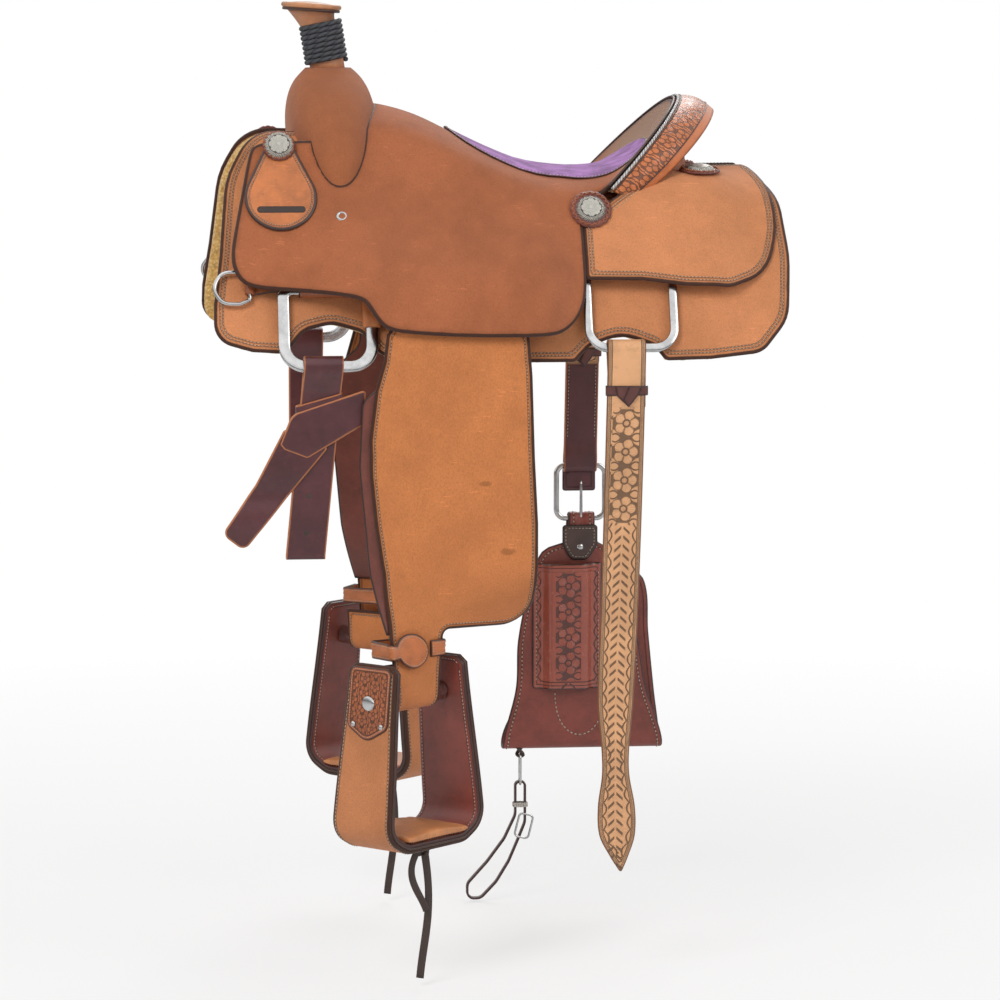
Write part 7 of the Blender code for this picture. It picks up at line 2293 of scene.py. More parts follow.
def build_fenders(settings):
    """The fenders, the stirrup leathers inside them and the hobble straps."""
    made = colours(settings)
    corners = list(FENDER_OUTLINE)
    corners[3:5] = [(-0.0700, -0.081, 0.02), (-0.0250, -0.097, 0.02)]
    outline = arced(corners)
    front, width = STIRRUP_LEATHER_FRONT_X, STIRRUP_LEATHER_WIDTH
    low = HOBBLE_Z + 0.020
    back = FENDER_HINGE[0] + 0.030
    strap_corners = (
        (front + 0.036, STIRRUP_LEATHER_TOP_Z, 0.006), (back, STIRRUP_LEATHER_TOP_Z, 0.006),
        (back, -0.150, 0.02), (front + width, -0.230, 0.03), (front + width, -0.40, 0.03),
        (LEG_CENTRE_X + 0.030, low), (LEG_CENTRE_X - 0.036, low), (front + 0.010, -0.40, 0.03),
        (front - 0.002, -0.27, 0.03), (front + 0.002, -0.190, 0.02), (front + 0.036, -0.160, 0.02),
    )
    bore = STUD_RADIUS + TOUCH
    hole = [Vector((FENDER_HINGE[0] + bore * math.cos(a), FENDER_HINGE[1] + bore * math.sin(a)))
            for a in around(28)]
    face = FENDER_FACE - SLIDE
    gap = LEG_TURN_RADIUS + FENDER_LEATHER / 2.0 + SLIDE + HOBBLE_THICKNESS / 2.0
    half = 0.0395 + SLIDE + HOBBLE_THICKNESS / 2.0
    track = Track((
        (0.020, gap), (half, gap, 0.002), (half, -gap, 0.002), (-half, -gap, 0.002),
        (-half, gap, 0.002), (0.0165, gap),
    ), math.radians(20.0))
    length, h, bulb = track.length, HOBBLE_WIDTH / 2.0, HOBBLE_BULB_RADIUS
    rows = [(0.0, h), (length - 0.062, h)]
    for k in range(19):
        turn = math.radians(158.0 - 8.6 * k)
        rows.append((length - 0.026 - bulb * 1.1 * math.cos(math.pi - turn) - 0.0005,
                     max(0.004, bulb * math.sin(turn))))
    rows = [row for row in rows if row[0] <= length - 0.0004]
    strap_line = [Vector((s, HOBBLE_Z + r)) for s, r in rows]
    strap_line += [Vector((s, HOBBLE_Z - r)) for s, r in rows[::-1]]

    def skived(a, b, t):
        thinned = 0.5 - 0.5 * blend_step(SKIVE_FROM_Z, SKIVE_TO_Z, b)
        return wrapped(a, b, FENDER_LEATHER * (t * (0.5 + thinned) - 0.5))

    def round_leg(s, z, t):
        at = track.at(s, HOBBLE_THICKNESS * (t - 0.5))
        out = 0.0042 * blend_step(length - 0.085, length - 0.070, s)
        return leg_place(LEG_CENTRE_X + at.x, LEG_MIDDLE + at.y + out, z)

    for label, side in SIDES:
        sheet = leather(f"fender_{label}_leather", outline, skived, made["fender"],
                        f"fender_{label}", side, 0.0055)
        sew(f"fender_{label}_stitching", sheet, (0.006,), settings,
            lambda x, y, z: z < SKIVE_TO_Z, 0.0042, 0.0006)
        leather(f"stirrup_leather_{label}_strap", arced(strap_corners),
                lambda a, b, t: leg_place(a, face - (1.0 - t) * STIRRUP_LEATHER, b),
                made["leg"], f"stirrup_leather_{label}", side, 0.0065, [hole])
        hole_shade_discs(f"stirrup_leather_{label}_holes",
                [(front + 0.018, face, z) for z in (-0.205, -0.235, -0.265, -0.295, -0.325)],
                0.0026, side, made["lace"], f"stirrup_leather_{label}")
        hobble = leather(f"hobble_strap_{label}_strap", strap_line, round_leg, made["hobble"],
                         f"hobble_strap_{label}", side, 0.0035)
        sew(f"hobble_strap_{label}_stitching", hobble, (0.003,), settings, None, 0.0032, 0.00045)


def bolt_frame(side):
    """The stirrup bolt's middle, with z along it."""
    at = stirrup_frame(0.0, 0.0, 0.0)
    along = Vector(stirrup_frame(1.0, 0.0, 0.0)) - Vector(at)
    turn = Vector((along.x, side * along.y, 0.0)).to_track_quat("Z", "Y").to_matrix().to_4x4()
    return Matrix.Translation((at[0], side * at[1], at[2])) @ turn


def build_stirrups(settings):
    """The stirrups: rough-out cover, smooth lining, tooled tops, treads and bolts."""
    made = colours(settings)
    rough_track = stirrup_track(math.radians(20.0))
    track = stirrup_track(math.radians(6.0))
    length = track.length
    leg = STIRRUP_TOP_ABOVE_BOLT + STIRRUP_DROP - 0.02

    def half_depth(s):
        grow = blend_step(0.0, leg, min(s, length - s))
        return (STIRRUP_TOP_DEPTH + (STIRRUP_BOTTOM_DEPTH - STIRRUP_TOP_DEPTH) * grow) / 2.0

    spots = [length * k / 70.0 for k in range(71)]
    ends = 0.010
    tooled_at = 0.5 + STIRRUP_TOOLED_LEATHER / STIRRUP_THICKNESS

    def reach(s, shrink):
        near = min(s, length - s)
        round_off = ends - math.sqrt(max(0.0, ends**2 - max(0.0, ends - near) ** 2))
        return half_depth(s) - shrink - round_off

    def ring(shrink):
        right = [Vector((s, reach(s, shrink))) for s in spots]
        return right + [Vector((p.x, -p.y)) for p in right[::-1]]

    def layer(low, high):
        def place(s, deep, t):
            at = track.at(s, STIRRUP_THICKNESS * (low + (high - low) * t))
            return stirrup_frame(at.x, at.y, deep)
        return place

    slope = (STIRRUP_BOTTOM_HALF_WIDTH - STIRRUP_TOP_HALF_WIDTH) / (
        STIRRUP_TOP_ABOVE_BOLT + STIRRUP_DROP - 0.018)
    face_at = STIRRUP_TOP_HALF_WIDTH + slope * STIRRUP_TOP_ABOVE_BOLT
    lean = slope * BOLT_HEAD_RADIUS
    outside = face_at + STIRRUP_THICKNESS / 2.0 + lean + TOUCH
    inside_at = face_at - STIRRUP_THICKNESS / 2.0 - lean - SLIDE - 0.0005
    for label, side in SIDES:
        node = f"stirrup_{label}"
        cover = leather(f"stirrup_{label}_cover", ring(0.0), layer(0.06, 0.5), made["stirrup"],
                        node, side, 0.006)
        lining = leather(f"stirrup_{label}_lining", ring(0.0), layer(-0.5, 0.02), made["cinch"],
                         node, side, 0.006, covers=[])
        for name, sheet, face in (("cover", cover, 1.0), ("lining", lining, 0.0)):
            sew(f"stirrup_{label}_{name}_stitching", sheet, (0.0045,), settings, None, 0.0046,
                0.00065, face=face)
        welts = []
        for turn in (1, -1):
            points = []
            for p in [Vector((s, turn * (reach(s, 0.0) + 0.0002))) for s in spots]:
                at = track.at(p.x, 0.0)
                points.append(on_side(stirrup_frame(at.x, at.y, p.y), side))
            welts.append(tube(points, 0.0017, 8))
        add_form(f"stirrup_{label}_welt", joined(welts), made["binding"], node)
        start, stop = STIRRUP_TOOLED
        for end, base, tip, toward in (("front", start, stop, 1.0),
                                       ("rear", length - start, length - stop, -1.0)):
            wide = STIRRUP_TOP_DEPTH / 2.0 - 0.005
            shape = ((base, -wide, 0.008), (base, wide, 0.008),
                     (tip - toward * 0.018, wide, 0.012), (tip, 0.0, 0.02),
                     (tip - toward * 0.018, -wide, 0.012))
            top = leather(f"stirrup_{label}_{end}_tooled", arced(shape),
                          layer(0.5, tooled_at), made["stirrup_top"], node, side, 0.004,
                          covers=[])
            sew(f"stirrup_{label}_{end}_tooled_stitching", top, (0.003,), settings, None, 0.003,
                0.0004)
            for k, deep in enumerate((-0.022, 0.022)):
                s = tip - toward * 0.020
                at = Vector(layer(0.0, tooled_at)(s, deep, 1.0))
                back = Vector(layer(0.0, 0.5)(s, deep, 0.0))
                rivet = frame_on(at, (at - back).normalized(), side)
                turned_piece(f"stirrup_{label}_{end}_rivet_{k}",
                             [(0.0, 0.0016), (0.0018, 0.0014), (0.0032, 0.0007), (0.0035, 0.0),
                              (0.0, 0.0)], rivet, made["steel"], node, 24, [])
        head = BOLT_HEAD_RADIUS
        half = [(0.0, outside + BOLT_HEAD)]
        half += [(head * math.sin(a), outside + BOLT_HEAD * math.cos(a) ** 0.6)
                 for a in (math.radians(11.0) * k for k in range(1, 8))]
        half += [(head, outside), (BOLT_RADIUS, outside), (BOLT_RADIUS, inside_at),
                 (BOLT_SLEEVE_RADIUS, inside_at)]
        profile = half + [(radius, -height) for radius, height in half[::-1]]
        turned_piece(f"stirrup_bolt_{label}_steel", profile, bolt_frame(side), made["steel"],
                     f"stirrup_bolt_{label}", 32, None, None, math.radians(40.0))
        deep = STIRRUP_BOTTOM_DEPTH / 2.0 + TREAD_PROUD
        floor = -STIRRUP_THICKNESS / 2.0 - SLIDE
        rings = []
        for k in range(-22, 23):
            u = k / 22.0
            along = length / 2.0 + TREAD_HALF_LENGTH * u
            thick = TREAD_THICKNESS * (1.0 - 0.45 * u**2) * (0.75 if abs(k) == 22 else 1.0)
            ring_points = []
            for turn in around(28, 0.5):
                rise = 0.5 + 0.5 * squared(math.sin(turn), 0.5)
                at = rough_track.at(along, floor - thick * rise)
                place = stirrup_frame(at.x, at.y, deep * squared(math.cos(turn), 0.35))
                ring_points.append(on_side(place, side))
            rings.append(ring_points)
        lofted(f"stirrup_tread_{label}_leather", rings, made["tread"], f"stirrup_tread_{label}",
               None, [0.004 + 0.02 * (1.0 - abs(k) / 22.0) for k in range(-22, 23)
                      for _ in range(28)])


def build_front_straps(settings):
    """The near latigo, tied round itself with a free tail, and the off billet."""
    made = colours(settings)
    ring = LATIGO_LOOP_BORE + LATIGO_THICKNESS / 2.0
    bar = dee_bottom(FRONT_DEE)

    def middle(z):
        share = min(1.0, max(0.0, (bar.z - z) / (bar.z - LATIGO_LOW[1])))
        return LATIGO_X + (LATIGO_LOW[0] - LATIGO_X) * share

    outer, inner = band_lines(bar, ring, LATIGO_THICKNESS, LATIGO_LOW[1], LATIGO_HALF_GAP)
    ring_piece("latigo_doubled", outer, inner,
               lambda a, b, depth: (middle(b) + depth, bar.y + a, b),
               LATIGO_WIDTH, made["latigo"], "latigo", -1, 0.0009,
               across=(-0.020, -0.012, 0.0, 0.012, 0.020))
    half_x = LATIGO_WIDTH / 2.0 + LATIGO_THICKNESS / 2.0 + TOUCH
    half_w = LATIGO_HALF_GAP + LATIGO_THICKNESS - TOUCH
    belt = box(-half_x, -half_w, half_x, half_w, 0.004)
    outer, inner = corner_ring(belt, 0.008, LATIGO_THICKNESS / 2.0)
    ring_piece("latigo_wrap", outer, inner,
               lambda a, b, depth: (middle(LATIGO_WRAP_Z) + a, bar.y + b,
                                    LATIGO_WRAP_Z + depth + LATIGO_WRAP_SLOPE * a),
               0.042, made["latigo"], "latigo", -1, 0.0009, [], (-0.014, 0.0, 0.014), 0.0006)
    tail = ((-0.2880, -0.2230, 0.004), (-0.2350, -0.2450, 0.004), (-0.2810, -0.3000, 0.03),
            (-0.3380, -0.3700, 0.01), (-0.3640, -0.3500, 0.01), (-0.3230, -0.2900, 0.03))
    base = half_w - LATIGO_THICKNESS * 0.6

    def tail_place(a, b, t):
        free = blend_step(-0.235, -0.360, b)
        return a, bar.y + base + LATIGO_THICKNESS * t + 0.0030 * free * math.sin(9.0 * free), b

    leather("latigo_tail", arced(tail), tail_place, made["latigo"], "latigo", -1,
            0.005, covers=[])
    front = bar.y + LATIGO_HALF_GAP + LATIGO_THICKNESS / 2.0
    crossing = ((-0.1900, -0.1760, 0.003), (-0.1900, -0.2160, 0.003), (-0.2605, -0.2581, 0.006),
                (-0.2884, -0.2472, 0.003), (-0.2932, -0.2412, 0.003), (-0.2787, -0.2049, 0.02))
    leather("latigo_crossing", arced(crossing),
            lambda a, b, t: (a, front + 0.0002 + LATIGO_THICKNESS * t
                             + 0.0012 * blend_step(-0.235, -0.200, a), b),
            made["latigo"], "latigo", -1, 0.005, covers=[])
    hole_shade_discs("latigo_holes", [(-0.2480, front, -0.174), (-0.2600, front + 0.0036, -0.236),
                             (-0.2593, front, -0.305), (-0.2620, front, -0.350)], 0.0040, -1,
            made["lace"], "latigo")

    x = sum(FRONT_DEE["x"]) / 2.0
    outer, inner = band_lines(bar, ring, LATIGO_THICKNESS, OFF_BILLET_LOW_Z, LATIGO_HALF_GAP)
    ring_piece("off_billet_doubled", outer, inner, lambda a, b, depth: (x + depth, bar.y + a, b),
               OFF_BILLET_WIDTH, made["latigo"], "off_billet", 1, 0.0009,
               across=(-0.018, 0.0, 0.018))
    for name, sign in (("outer", 1.0), ("inner", -1.0)):
        at = bar.y + sign * (LATIGO_HALF_GAP + LATIGO_THICKNESS / 2.0)
        hole_shade_discs(f"off_billet_{name}_holes",
                [(x, at if sign > 0 else at - 0.0004, z)
                 for z in (-0.215, -0.250, -0.285, -0.320)], 0.0032, 1, made["lace"], "off_billet")


def track_outline(rows, step=0.006):
    """An outline from rows of (along, half width, shift), smooth between the rows."""
    rows = [row if len(row) > 2 else (row[0], row[1], 0.0) for row in rows]
    halves = [(row[0], row[1]) for row in rows]
    shifts = [(row[0], row[2]) for row in rows]
    count = max(8, int((rows[-1][0] - rows[0][0]) / step))
    right, left = [], []
    for k in range(count + 1):
        s = rows[0][0] + (rows[-1][0] - rows[0][0]) * k / count
        half, shift = smooth_table(halves, s), smooth_table(shifts, s)
        right.append(Vector((shift + half, s)))
        left.append(Vector((shift - half, s)))
    return right + left[::-1]


def build_rear_straps(settings):
    """The tooled near billet with its free tip, and the off billet down to its buckle."""
    made = colours(settings)
    ring = BILLET_LOOP_BORE + BILLET_THICKNESS / 2.0
    bar = dee_bottom(REAR_DEE)
    front, back = bar.y + ring, bar.y - ring
    behind = front - BILLET_THICKNESS - SLIDE
    top = bar.z + ring
    turn_z = bar.z - 2.5 * ring
    track = Track(
        ((behind, NEAR_BILLET_LAP_Z), (behind, turn_z - 0.012, 0.02),
         (back, bar.z - 0.4 * ring, 0.02), (back, top, ring), (front, top, ring),
         (front, NEAR_BILLET_ROWS[-1][0])), math.radians(10.0))
    over = track.length - (top - NEAR_BILLET_ROWS[-1][0]) + ring * (2.0 - math.pi / 2.0)
    rows = [(0.0, NEAR_BILLET_HALF_WIDTH), (over, NEAR_BILLET_HALF_WIDTH)]
    rows += [(track.length - (z - NEAR_BILLET_ROWS[-1][0]), half, shift)
             for z, half, shift in NEAR_BILLET_ROWS]
    rows = [row for row in rows if row[0] <= track.length + 1e-6]
    outline = track_outline(rows, 0.005)

    def place(a, b, t):
        at = track.at(b, BILLET_THICKNESS * (t - 0.5))
        return BILLET_X + a, at.x, at.y

    billet = leather("rear_billet_near_tooled", outline, place, made["billet"],
                     "rear_billet_near", -1, 0.0045)
    sew("rear_billet_near_stitching", billet, (0.0030,), settings, None, 0.0030, 0.00038)
    at = Vector((BILLET_X, -(front + BILLET_THICKNESS / 2.0 + 0.0002), -0.1794))
    flat_tie("rear_billet_near_tie", at, X_AXIS, NEAR_BILLET_HALF_WIDTH, made["tie"],
             "rear_billet_near")

    low = BUCKLE_LOOP_BORE + BILLET_THICKNESS / 2.0
    low_z = BUCKLE_Z[0] - BUCKLE_BAR / 2.0
    gap = BILLET_THICKNESS / 2.0 + TOUCH
    outer, inner = band_lines(bar, ring, BILLET_THICKNESS, low_z, gap, low)

    def middle(z):
        return OFF_REAR_BILLET_X + 0.02 * (z - bar.z)

    ring_piece("rear_billet_off_doubled", outer, inner,
               lambda a, b, depth: (middle(b) + depth, bar.y + a, b),
               OFF_REAR_BILLET_WIDTH, made["latigo"], "rear_billet_off", 1, 0.0009,
               across=(-0.017, 0.0, 0.017))
    for name, sign in (("outer", 1.0), ("inner", -1.0)):
        face = bar.y + sign * (gap + BILLET_THICKNESS / 2.0)
        routes = []
        for edge_at in (-1.0, 1.0):
            line = []
            for k in range(40):
                z = bar.z - 0.032 - (bar.z - 0.032 - low_z - 0.034) * k / 39.0
                x = middle(z) + edge_at * (OFF_REAR_BILLET_WIDTH / 2.0 - 0.004)
                line.append((Vector((x, face + sign * 0.0001, z)), Vector((0.0, sign, 0.0))))
            routes.append(line)
        seam(f"rear_billet_off_{name}_stitching", routes, 0.0046, 0.0005, settings,
             "rear_billet_off")
        patch = box(-0.0215, bar.z - 0.058, 0.0215, bar.z - 0.028, 0.004)
        leather(f"rear_billet_off_{name}_patch", arced(patch),
                lambda a, b, t, f=face, s=sign: (middle(b) + a, f + s * (0.0002 + 0.0016 * t), b),
                made["billet"], "rear_billet_off", 1, 0.006, covers=[])
        knot_at = Vector((middle(bar.z - 0.042), face + sign * 0.0022, bar.z - 0.042))
        flat_tie(f"rear_billet_off_{name}_tie", knot_at, X_AXIS * -sign,
                 OFF_REAR_BILLET_WIDTH / 2.0, made["tie"], "rear_billet_off")


def build_cinch(settings):
    """The back cinch with its buckle, safe and tooled keeper."""
    made = colours(settings)
    bar, low_z, ring = cinch_bar()
    fold = (CINCH_BACK_STAND + ring) / 2.0
    track = Track((
        (bar.y + ring, low_z - 0.036), (bar.y + ring, low_z + ring, ring),
        (bar.y - ring, low_z + ring, ring), (bar.y - ring, CINCH_FOLD_Z, fold),
        (bar.y + CINCH_BACK_STAND, CINCH_FOLD_Z, fold),
        (bar.y + CINCH_BACK_STAND, CINCH_FOLD_Z + 0.250),
    ), math.radians(10.0))
    middle_x = sum(BUCKLE_X) / 2.0
    half = BUCKLE_BAR / 2.0
    x0, x1 = BUCKLE_X
    corners = box(x0 + half, BUCKLE_Z[1] + half, x1 - half, BUCKLE_Z[0] - half, 0.012)
    outer, inner = corner_ring(corners, 0.008, half)
    ring_piece("cinch_buckle_steel", outer, inner, lambda a, b, depth: (a, bar.y + depth, b),
               BUCKLE_THICKNESS, made["steel"], "cinch_buckle", 1, 0.0021)
    bore = BUCKLE_LOOP_BORE
    circle = [Vector((math.cos(t), math.sin(t))) for t in around(32)]
    ring_piece("cinch_buckle_tongue_loop", [c * (bore + TONGUE_THICKNESS) for c in circle],
               [c * bore for c in circle],
               lambda a, b, depth: (middle_x + depth, bar.y + a, low_z + b), TONGUE_WIDTH,
               made["steel"], "cinch_buckle_tongue", 1, 0.0005)
    shank_top = BUCKLE_Z[0] - BUCKLE_BAR - 0.016
    out = bar.y - bore - TONGUE_THICKNESS / 2.0
    shank = [Vector((middle_x, out, low_z + (shank_top - low_z) * k / 10.0)) for k in range(11)]
    radii = [0.0022 - 0.00005 * k for k in range(10)] + [0.0008]
    add_form("cinch_buckle_tongue_shank", tube(shank, radii, 14), made["steel"],
             "cinch_buckle_tongue")

    spans = [(b - a).length for a, b in zip(track.points, track.points[1:])]
    front = spans.index(max(spans))
    start, start_z = track.places[front], track.points[front].y
    rows = [(0.0, CINCH_ROWS[0][1], 0.0)]
    rows += [(start + start_z - z, reach, shift) for z, reach, shift in CINCH_ROWS]
    end_z = track.points[-1].y
    rows += [(track.length - end_z + z, reach, shift) for z, reach, shift in CINCH_BACK_ROWS]
    spots = [k * 0.002 for k in range(int(start / 0.002) + 20)]
    held = [s for s in spots if track.at(s, 0.0).y >= low_z - 0.0100]
    slot = 0.0045
    notch = arced(box(-slot, held[0], slot, held[-1], slot * 0.8))

    def place(a, b, t):
        at = track.at(b, CINCH_THICKNESS * (t - 0.5))
        return middle_x + a, at.x, at.y

    cinch = leather("flank_cinch_leather", track_outline(rows), place, made["cinch"],
                    "flank_cinch", 1, 0.0065, [notch])
    sew("flank_cinch_stitching", cinch, (0.006,), settings, None, 0.0056, 0.0009, face=0.0)
    snap_at = snap_place()
    loop = [Vector((SNAP_X + 0.004 * math.sin(2.0 * a), snap_at.y + 0.0052 * math.cos(a),
                    snap_at.z + 0.004 + 0.008 * math.sin(a))) for a in around(40)]
    add_form("snap_lace_loop", tube(loop, 0.0022, 8, True), made["lace"], "flank_cinch")

    face = bar.y - ring - CINCH_THICKNESS / 2.0 - TOUCH
    top_z = BUCKLE_Z[0] - BUCKLE_BAR - 0.0010
    end = box(0.1100, top_z, 0.1530, top_z - 0.030, 0.003)
    leather("cinch_buckle_strap_end", arced(end),
            lambda a, b, t: (a, bar.y + 0.0070 + 0.0012 * t, b), made["strap"], "cinch_buckle", 1,
            0.006, covers=[])
    safe = ((0.1080, low_z - 0.0085, 0.004), (0.1080, -0.4270, 0.012), (0.1190, -0.4470, 0.010),
            (0.1410, -0.4470, 0.010), (0.1540, -0.4270, 0.012), (0.1540, low_z - 0.0085, 0.004))
    sheet = leather("buckle_safe_leather", arced(safe),
                    lambda a, b, t: (a, face - (1.0 - t) * SAFE_THICKNESS, b), made["dark"],
                    "buckle_safe", 1, 0.005)
    sew("buckle_safe_stitching", sheet, (0.004,), settings, None, 0.0046, 0.0006, face=0.0)
    rivet = Matrix.Translation((0.131, face - SAFE_THICKNESS, -0.4300)) @ Matrix.Rotation(
        math.radians(90.0), 4, "X")
    turned_piece("buckle_safe_rivet", [(0.0, 0.0018), (0.0024, 0.0015), (0.0042, 0.0007),
                                       (0.0046, 0.0), (0.0, 0.0)], rivet, made["steel"],
                 "buckle_safe", 28, [])
    k0, k1 = KEEPER_X
    edge = 0.010

    def keeper(a, b, t):
        rise = blend_step(k0 + edge, k0 + edge + 0.014, a)
        rise *= 1.0 - blend_step(k1 - edge - 0.014, k1 - edge, a)
        return a, face - KEEPER_RISE * rise - (1.0 - t) * KEEPER_THICKNESS, b

    shape = box(k0, KEEPER_Z[1], k1, KEEPER_Z[0], 0.004)
    sheet = leather("cinch_keeper_tooled", arced(shape), keeper, made["keeper"],
                    "cinch_keeper", 1, 0.004)
    sew("cinch_keeper_stitching", sheet, (0.0045,), settings,
        lambda x, y, z: abs(x - (k0 + k1) / 2.0) > (k1 - k0) / 2.0 - 0.007, 0.0054, 0.0007,
        face=0.0)
    loop = []
    for k in range(33):
        turn = math.pi * k / 32.0
        x = middle_x + 0.033 * math.cos(turn) - 0.002
        z = -0.6240 - 0.060 * math.sin(turn) ** 0.8
        loop.append((Vector((x, bar.y - ring - CINCH_THICKNESS / 2.0 - 0.0001, z)),
                     Vector((0.0, -1.0, 0.0))))
    seam("flank_cinch_looped_stitch", [loop], 0.0060, 0.0010, settings, "flank_cinch")


def build_connector(settings):
    """The snap under the cinch and the narrow connector strap in it."""
    made = colours(settings)
    lug = snap_place()
    half_wire = SNAP_WIRE / 2.0
    low = lug.z - SNAP_HEIGHT
    link = box(-SNAP_WIDTH / 2.0, lug.z, SNAP_WIDTH / 2.0, low, 0.007)
    outer, inner = corner_ring(link, 0.006, half_wire)
    ring_piece("snap_steel", outer, inner, lambda a, b, depth: (SNAP_X + depth, lug.y + a, b),
               SNAP_WIRE, made["steel"], "snap", 1, half_wire * 0.98)
    arch = half_wire + SLIDE + CONNECTOR_THICKNESS / 2.0
    line = [(SNAP_X + a - 0.0065, low + arch - 0.0053 + b, r) for a, b, r in CONNECTOR_PATH]
    outer, inner = corner_ring(line, 0.006, CONNECTOR_THICKNESS / 2.0)
    ring_piece("connector_strap_leather", outer, inner, lambda a, b, depth: (a, lug.y + depth, b),
               CONNECTOR_WIDTH, made["strap"], "connector_strap", 1, 0.0008)
    turns = []
    for z in (-0.0255, -0.0275, -0.0295):
        loop = [Vector((SNAP_X + 0.0125 * math.cos(a), lug.y + 0.0066 * math.sin(a), low + z))
                for a in around(32)]
        loop = [Vector((SNAP_X + max(-0.0092, min(0.0092, p.x - SNAP_X)), p.y, p.z))
                for p in loop]
        turns.append(tube(loop, 0.0011, 8, True))
    add_form("connector_thread_keeper", joined(turns), made["white"], "connector_strap")
    small = box(-0.0095, -0.0160, 0.0095, 0.0160, 0.005)
    outer, inner = corner_ring(small, 0.005, 0.0014)
    tilt = math.radians(-14.0)
    ring_piece("connector_buckle", outer, inner,
               lambda a, b, depth: (SNAP_X + 0.0045 + a * math.cos(tilt) - b * math.sin(tilt),
                                    lug.y - 0.0062 + depth,
                                    low - 0.0560 + a * math.sin(tilt) + b * math.cos(tilt)),
               0.0028, made["steel"], "connector_strap", 1, 0.0013, [])


CAMERA_AZIMUTH = math.radians(6.0)
CAMERA_HEIGHT = math.radians(6.5)
CAMERA_LOOK = (0.0, 0.0, -0.34)
CAMERA_DISTANCE = 5.5
CAMERA_LENS = 155.0
FLOOR_RADIUS = 14.0
FLOOR_PALE = (0.86, 0.86, 0.86)
FLOOR_FADE_FROM, FLOOR_FADE_WIDTH = 1.1, 1.6
FLOOR_GLOW_NEAR, FLOOR_GLOW_RISE = 0.62, 0.38
SKY_SLOPE, SKY_RISE, SKY_LOW = 2.6, 1.15, 0.12
LAMP_LOOK = (0.0, 0.0, -0.3)
WHITE = (1.0, 1.0, 1.0)


def build_stage(settings):
    """The pale floor, the soft lamps and the camera."""
    azimuth, height = CAMERA_AZIMUTH, CAMERA_HEIGHT
    look = Vector(CAMERA_LOOK)
    ahead = Vector((math.sin(azimuth) * math.cos(height), math.cos(azimuth) * math.cos(height),
                    -math.sin(height)))
    lens = bpy.data.cameras.new("camera")
    lens.lens, lens.sensor_width = CAMERA_LENS, 36.0
    lens.clip_end = 200.0
    camera = bpy.data.objects.new("camera", lens)
    camera.location = look - ahead * CAMERA_DISTANCE
    camera.rotation_euler = ahead.to_track_quat("-Z", "Y").to_euler()
    bpy.context.scene.collection.objects.link(camera)
    bpy.context.scene.camera = camera
    bpy.context.scene.view_settings.view_transform = "Standard"

    mesh = bpy.data.meshes.new("floor")
    bm = bmesh.new()
    bmesh.ops.create_circle(bm, cap_ends=True, radius=FLOOR_RADIUS, segments=96)
    bmesh.ops.translate(bm, vec=(0.0, 0.0, FLOOR_Z), verts=bm.verts)
    bm.to_mesh(mesh)
    bm.free()
    floor = bpy.data.objects.new("floor", mesh)
    bpy.context.scene.collection.objects.link(floor)
    pale = bpy.data.materials.new("pale_floor")
    f = Nodes(pale)
    f.tree.nodes.clear()
    matt = f.node("ShaderNodeBsdfDiffuse", None, {"Color": FLOOR_PALE})
    glow = f.node("ShaderNodeEmission", None, {"Color": WHITE})
    place = f.node("ShaderNodeNewGeometry", out="Position")
    far = f.node("ShaderNodeVectorMath", {"operation": "LENGTH"}, {0: place}, "Value")
    share = ((far - FLOOR_FADE_FROM) / FLOOR_FADE_WIDTH).most(0.0).least(1.0)
    share = share * FLOOR_GLOW_RISE + FLOOR_GLOW_NEAR
    share = share * f.node("ShaderNodeLightPath", out="Is Camera Ray")
    blend = f.node("ShaderNodeMixShader", None, {0: share, 1: matt, 2: glow})
    f.node("ShaderNodeOutputMaterial", None, {"Surface": blend}, None)
    mesh.materials.append(pale)

    world = bpy.data.worlds.new("studio")
    bpy.context.scene.world = world
    w = Nodes(world)
    w.tree.nodes.clear()
    seen, through, mirror = (
        w.node("ShaderNodeLightPath", out=f"Is {kind} Ray")
        for kind in ("Camera", "Transmission", "Glossy")
    )
    seen = seen.most(through)
    where = w.node("ShaderNodeTexCoord", out="Generated")
    height = w.node("ShaderNodeSeparateXYZ", None, {0: where}, 2)
    glossy = mirror * (1.0 - seen)
    mirrored = ((height * SKY_SLOPE).most(0.0).least(1.0) * SKY_RISE + SKY_LOW) * glossy
    even = (seen * (1.0 - settings.sky_level) + settings.sky_level) * (1.0 - glossy)
    back = w.node("ShaderNodeBackground", None, {"Color": WHITE, "Strength": even + mirrored})
    w.node("ShaderNodeOutputWorld", None, {"Surface": back}, None)
    for name, at, size, power in (
        ("key_lamp", (-1.9, -3.0, 2.3), 1.8, settings.lamp_power),
        ("fill_lamp", (2.6, -2.4, 1.2), 2.2, settings.lamp_power * 0.35),
        ("rim_lamp", (0.8, 2.8, 2.4), 2.0, settings.lamp_power * 0.5),
    ):
        light = bpy.data.lights.new(name, "AREA")
        light.shape, light.size, light.energy = "DISK", size, power
        lamp = bpy.data.objects.new(name, light)
        lamp.location = at
        lamp.visible_glossy = name != "key_lamp"
        toward = Vector(LAMP_LOOK) - Vector(at)
        lamp.rotation_euler = toward.to_track_quat("-Z", "Y").to_euler()
        bpy.context.scene.collection.objects.link(lamp)


def tint(name, note, value):
    """A colour in the panel."""
    return FloatVectorProperty(name=name, description=note, default=value, size=3, min=0.0,
                               max=1.0, subtype="COLOR")


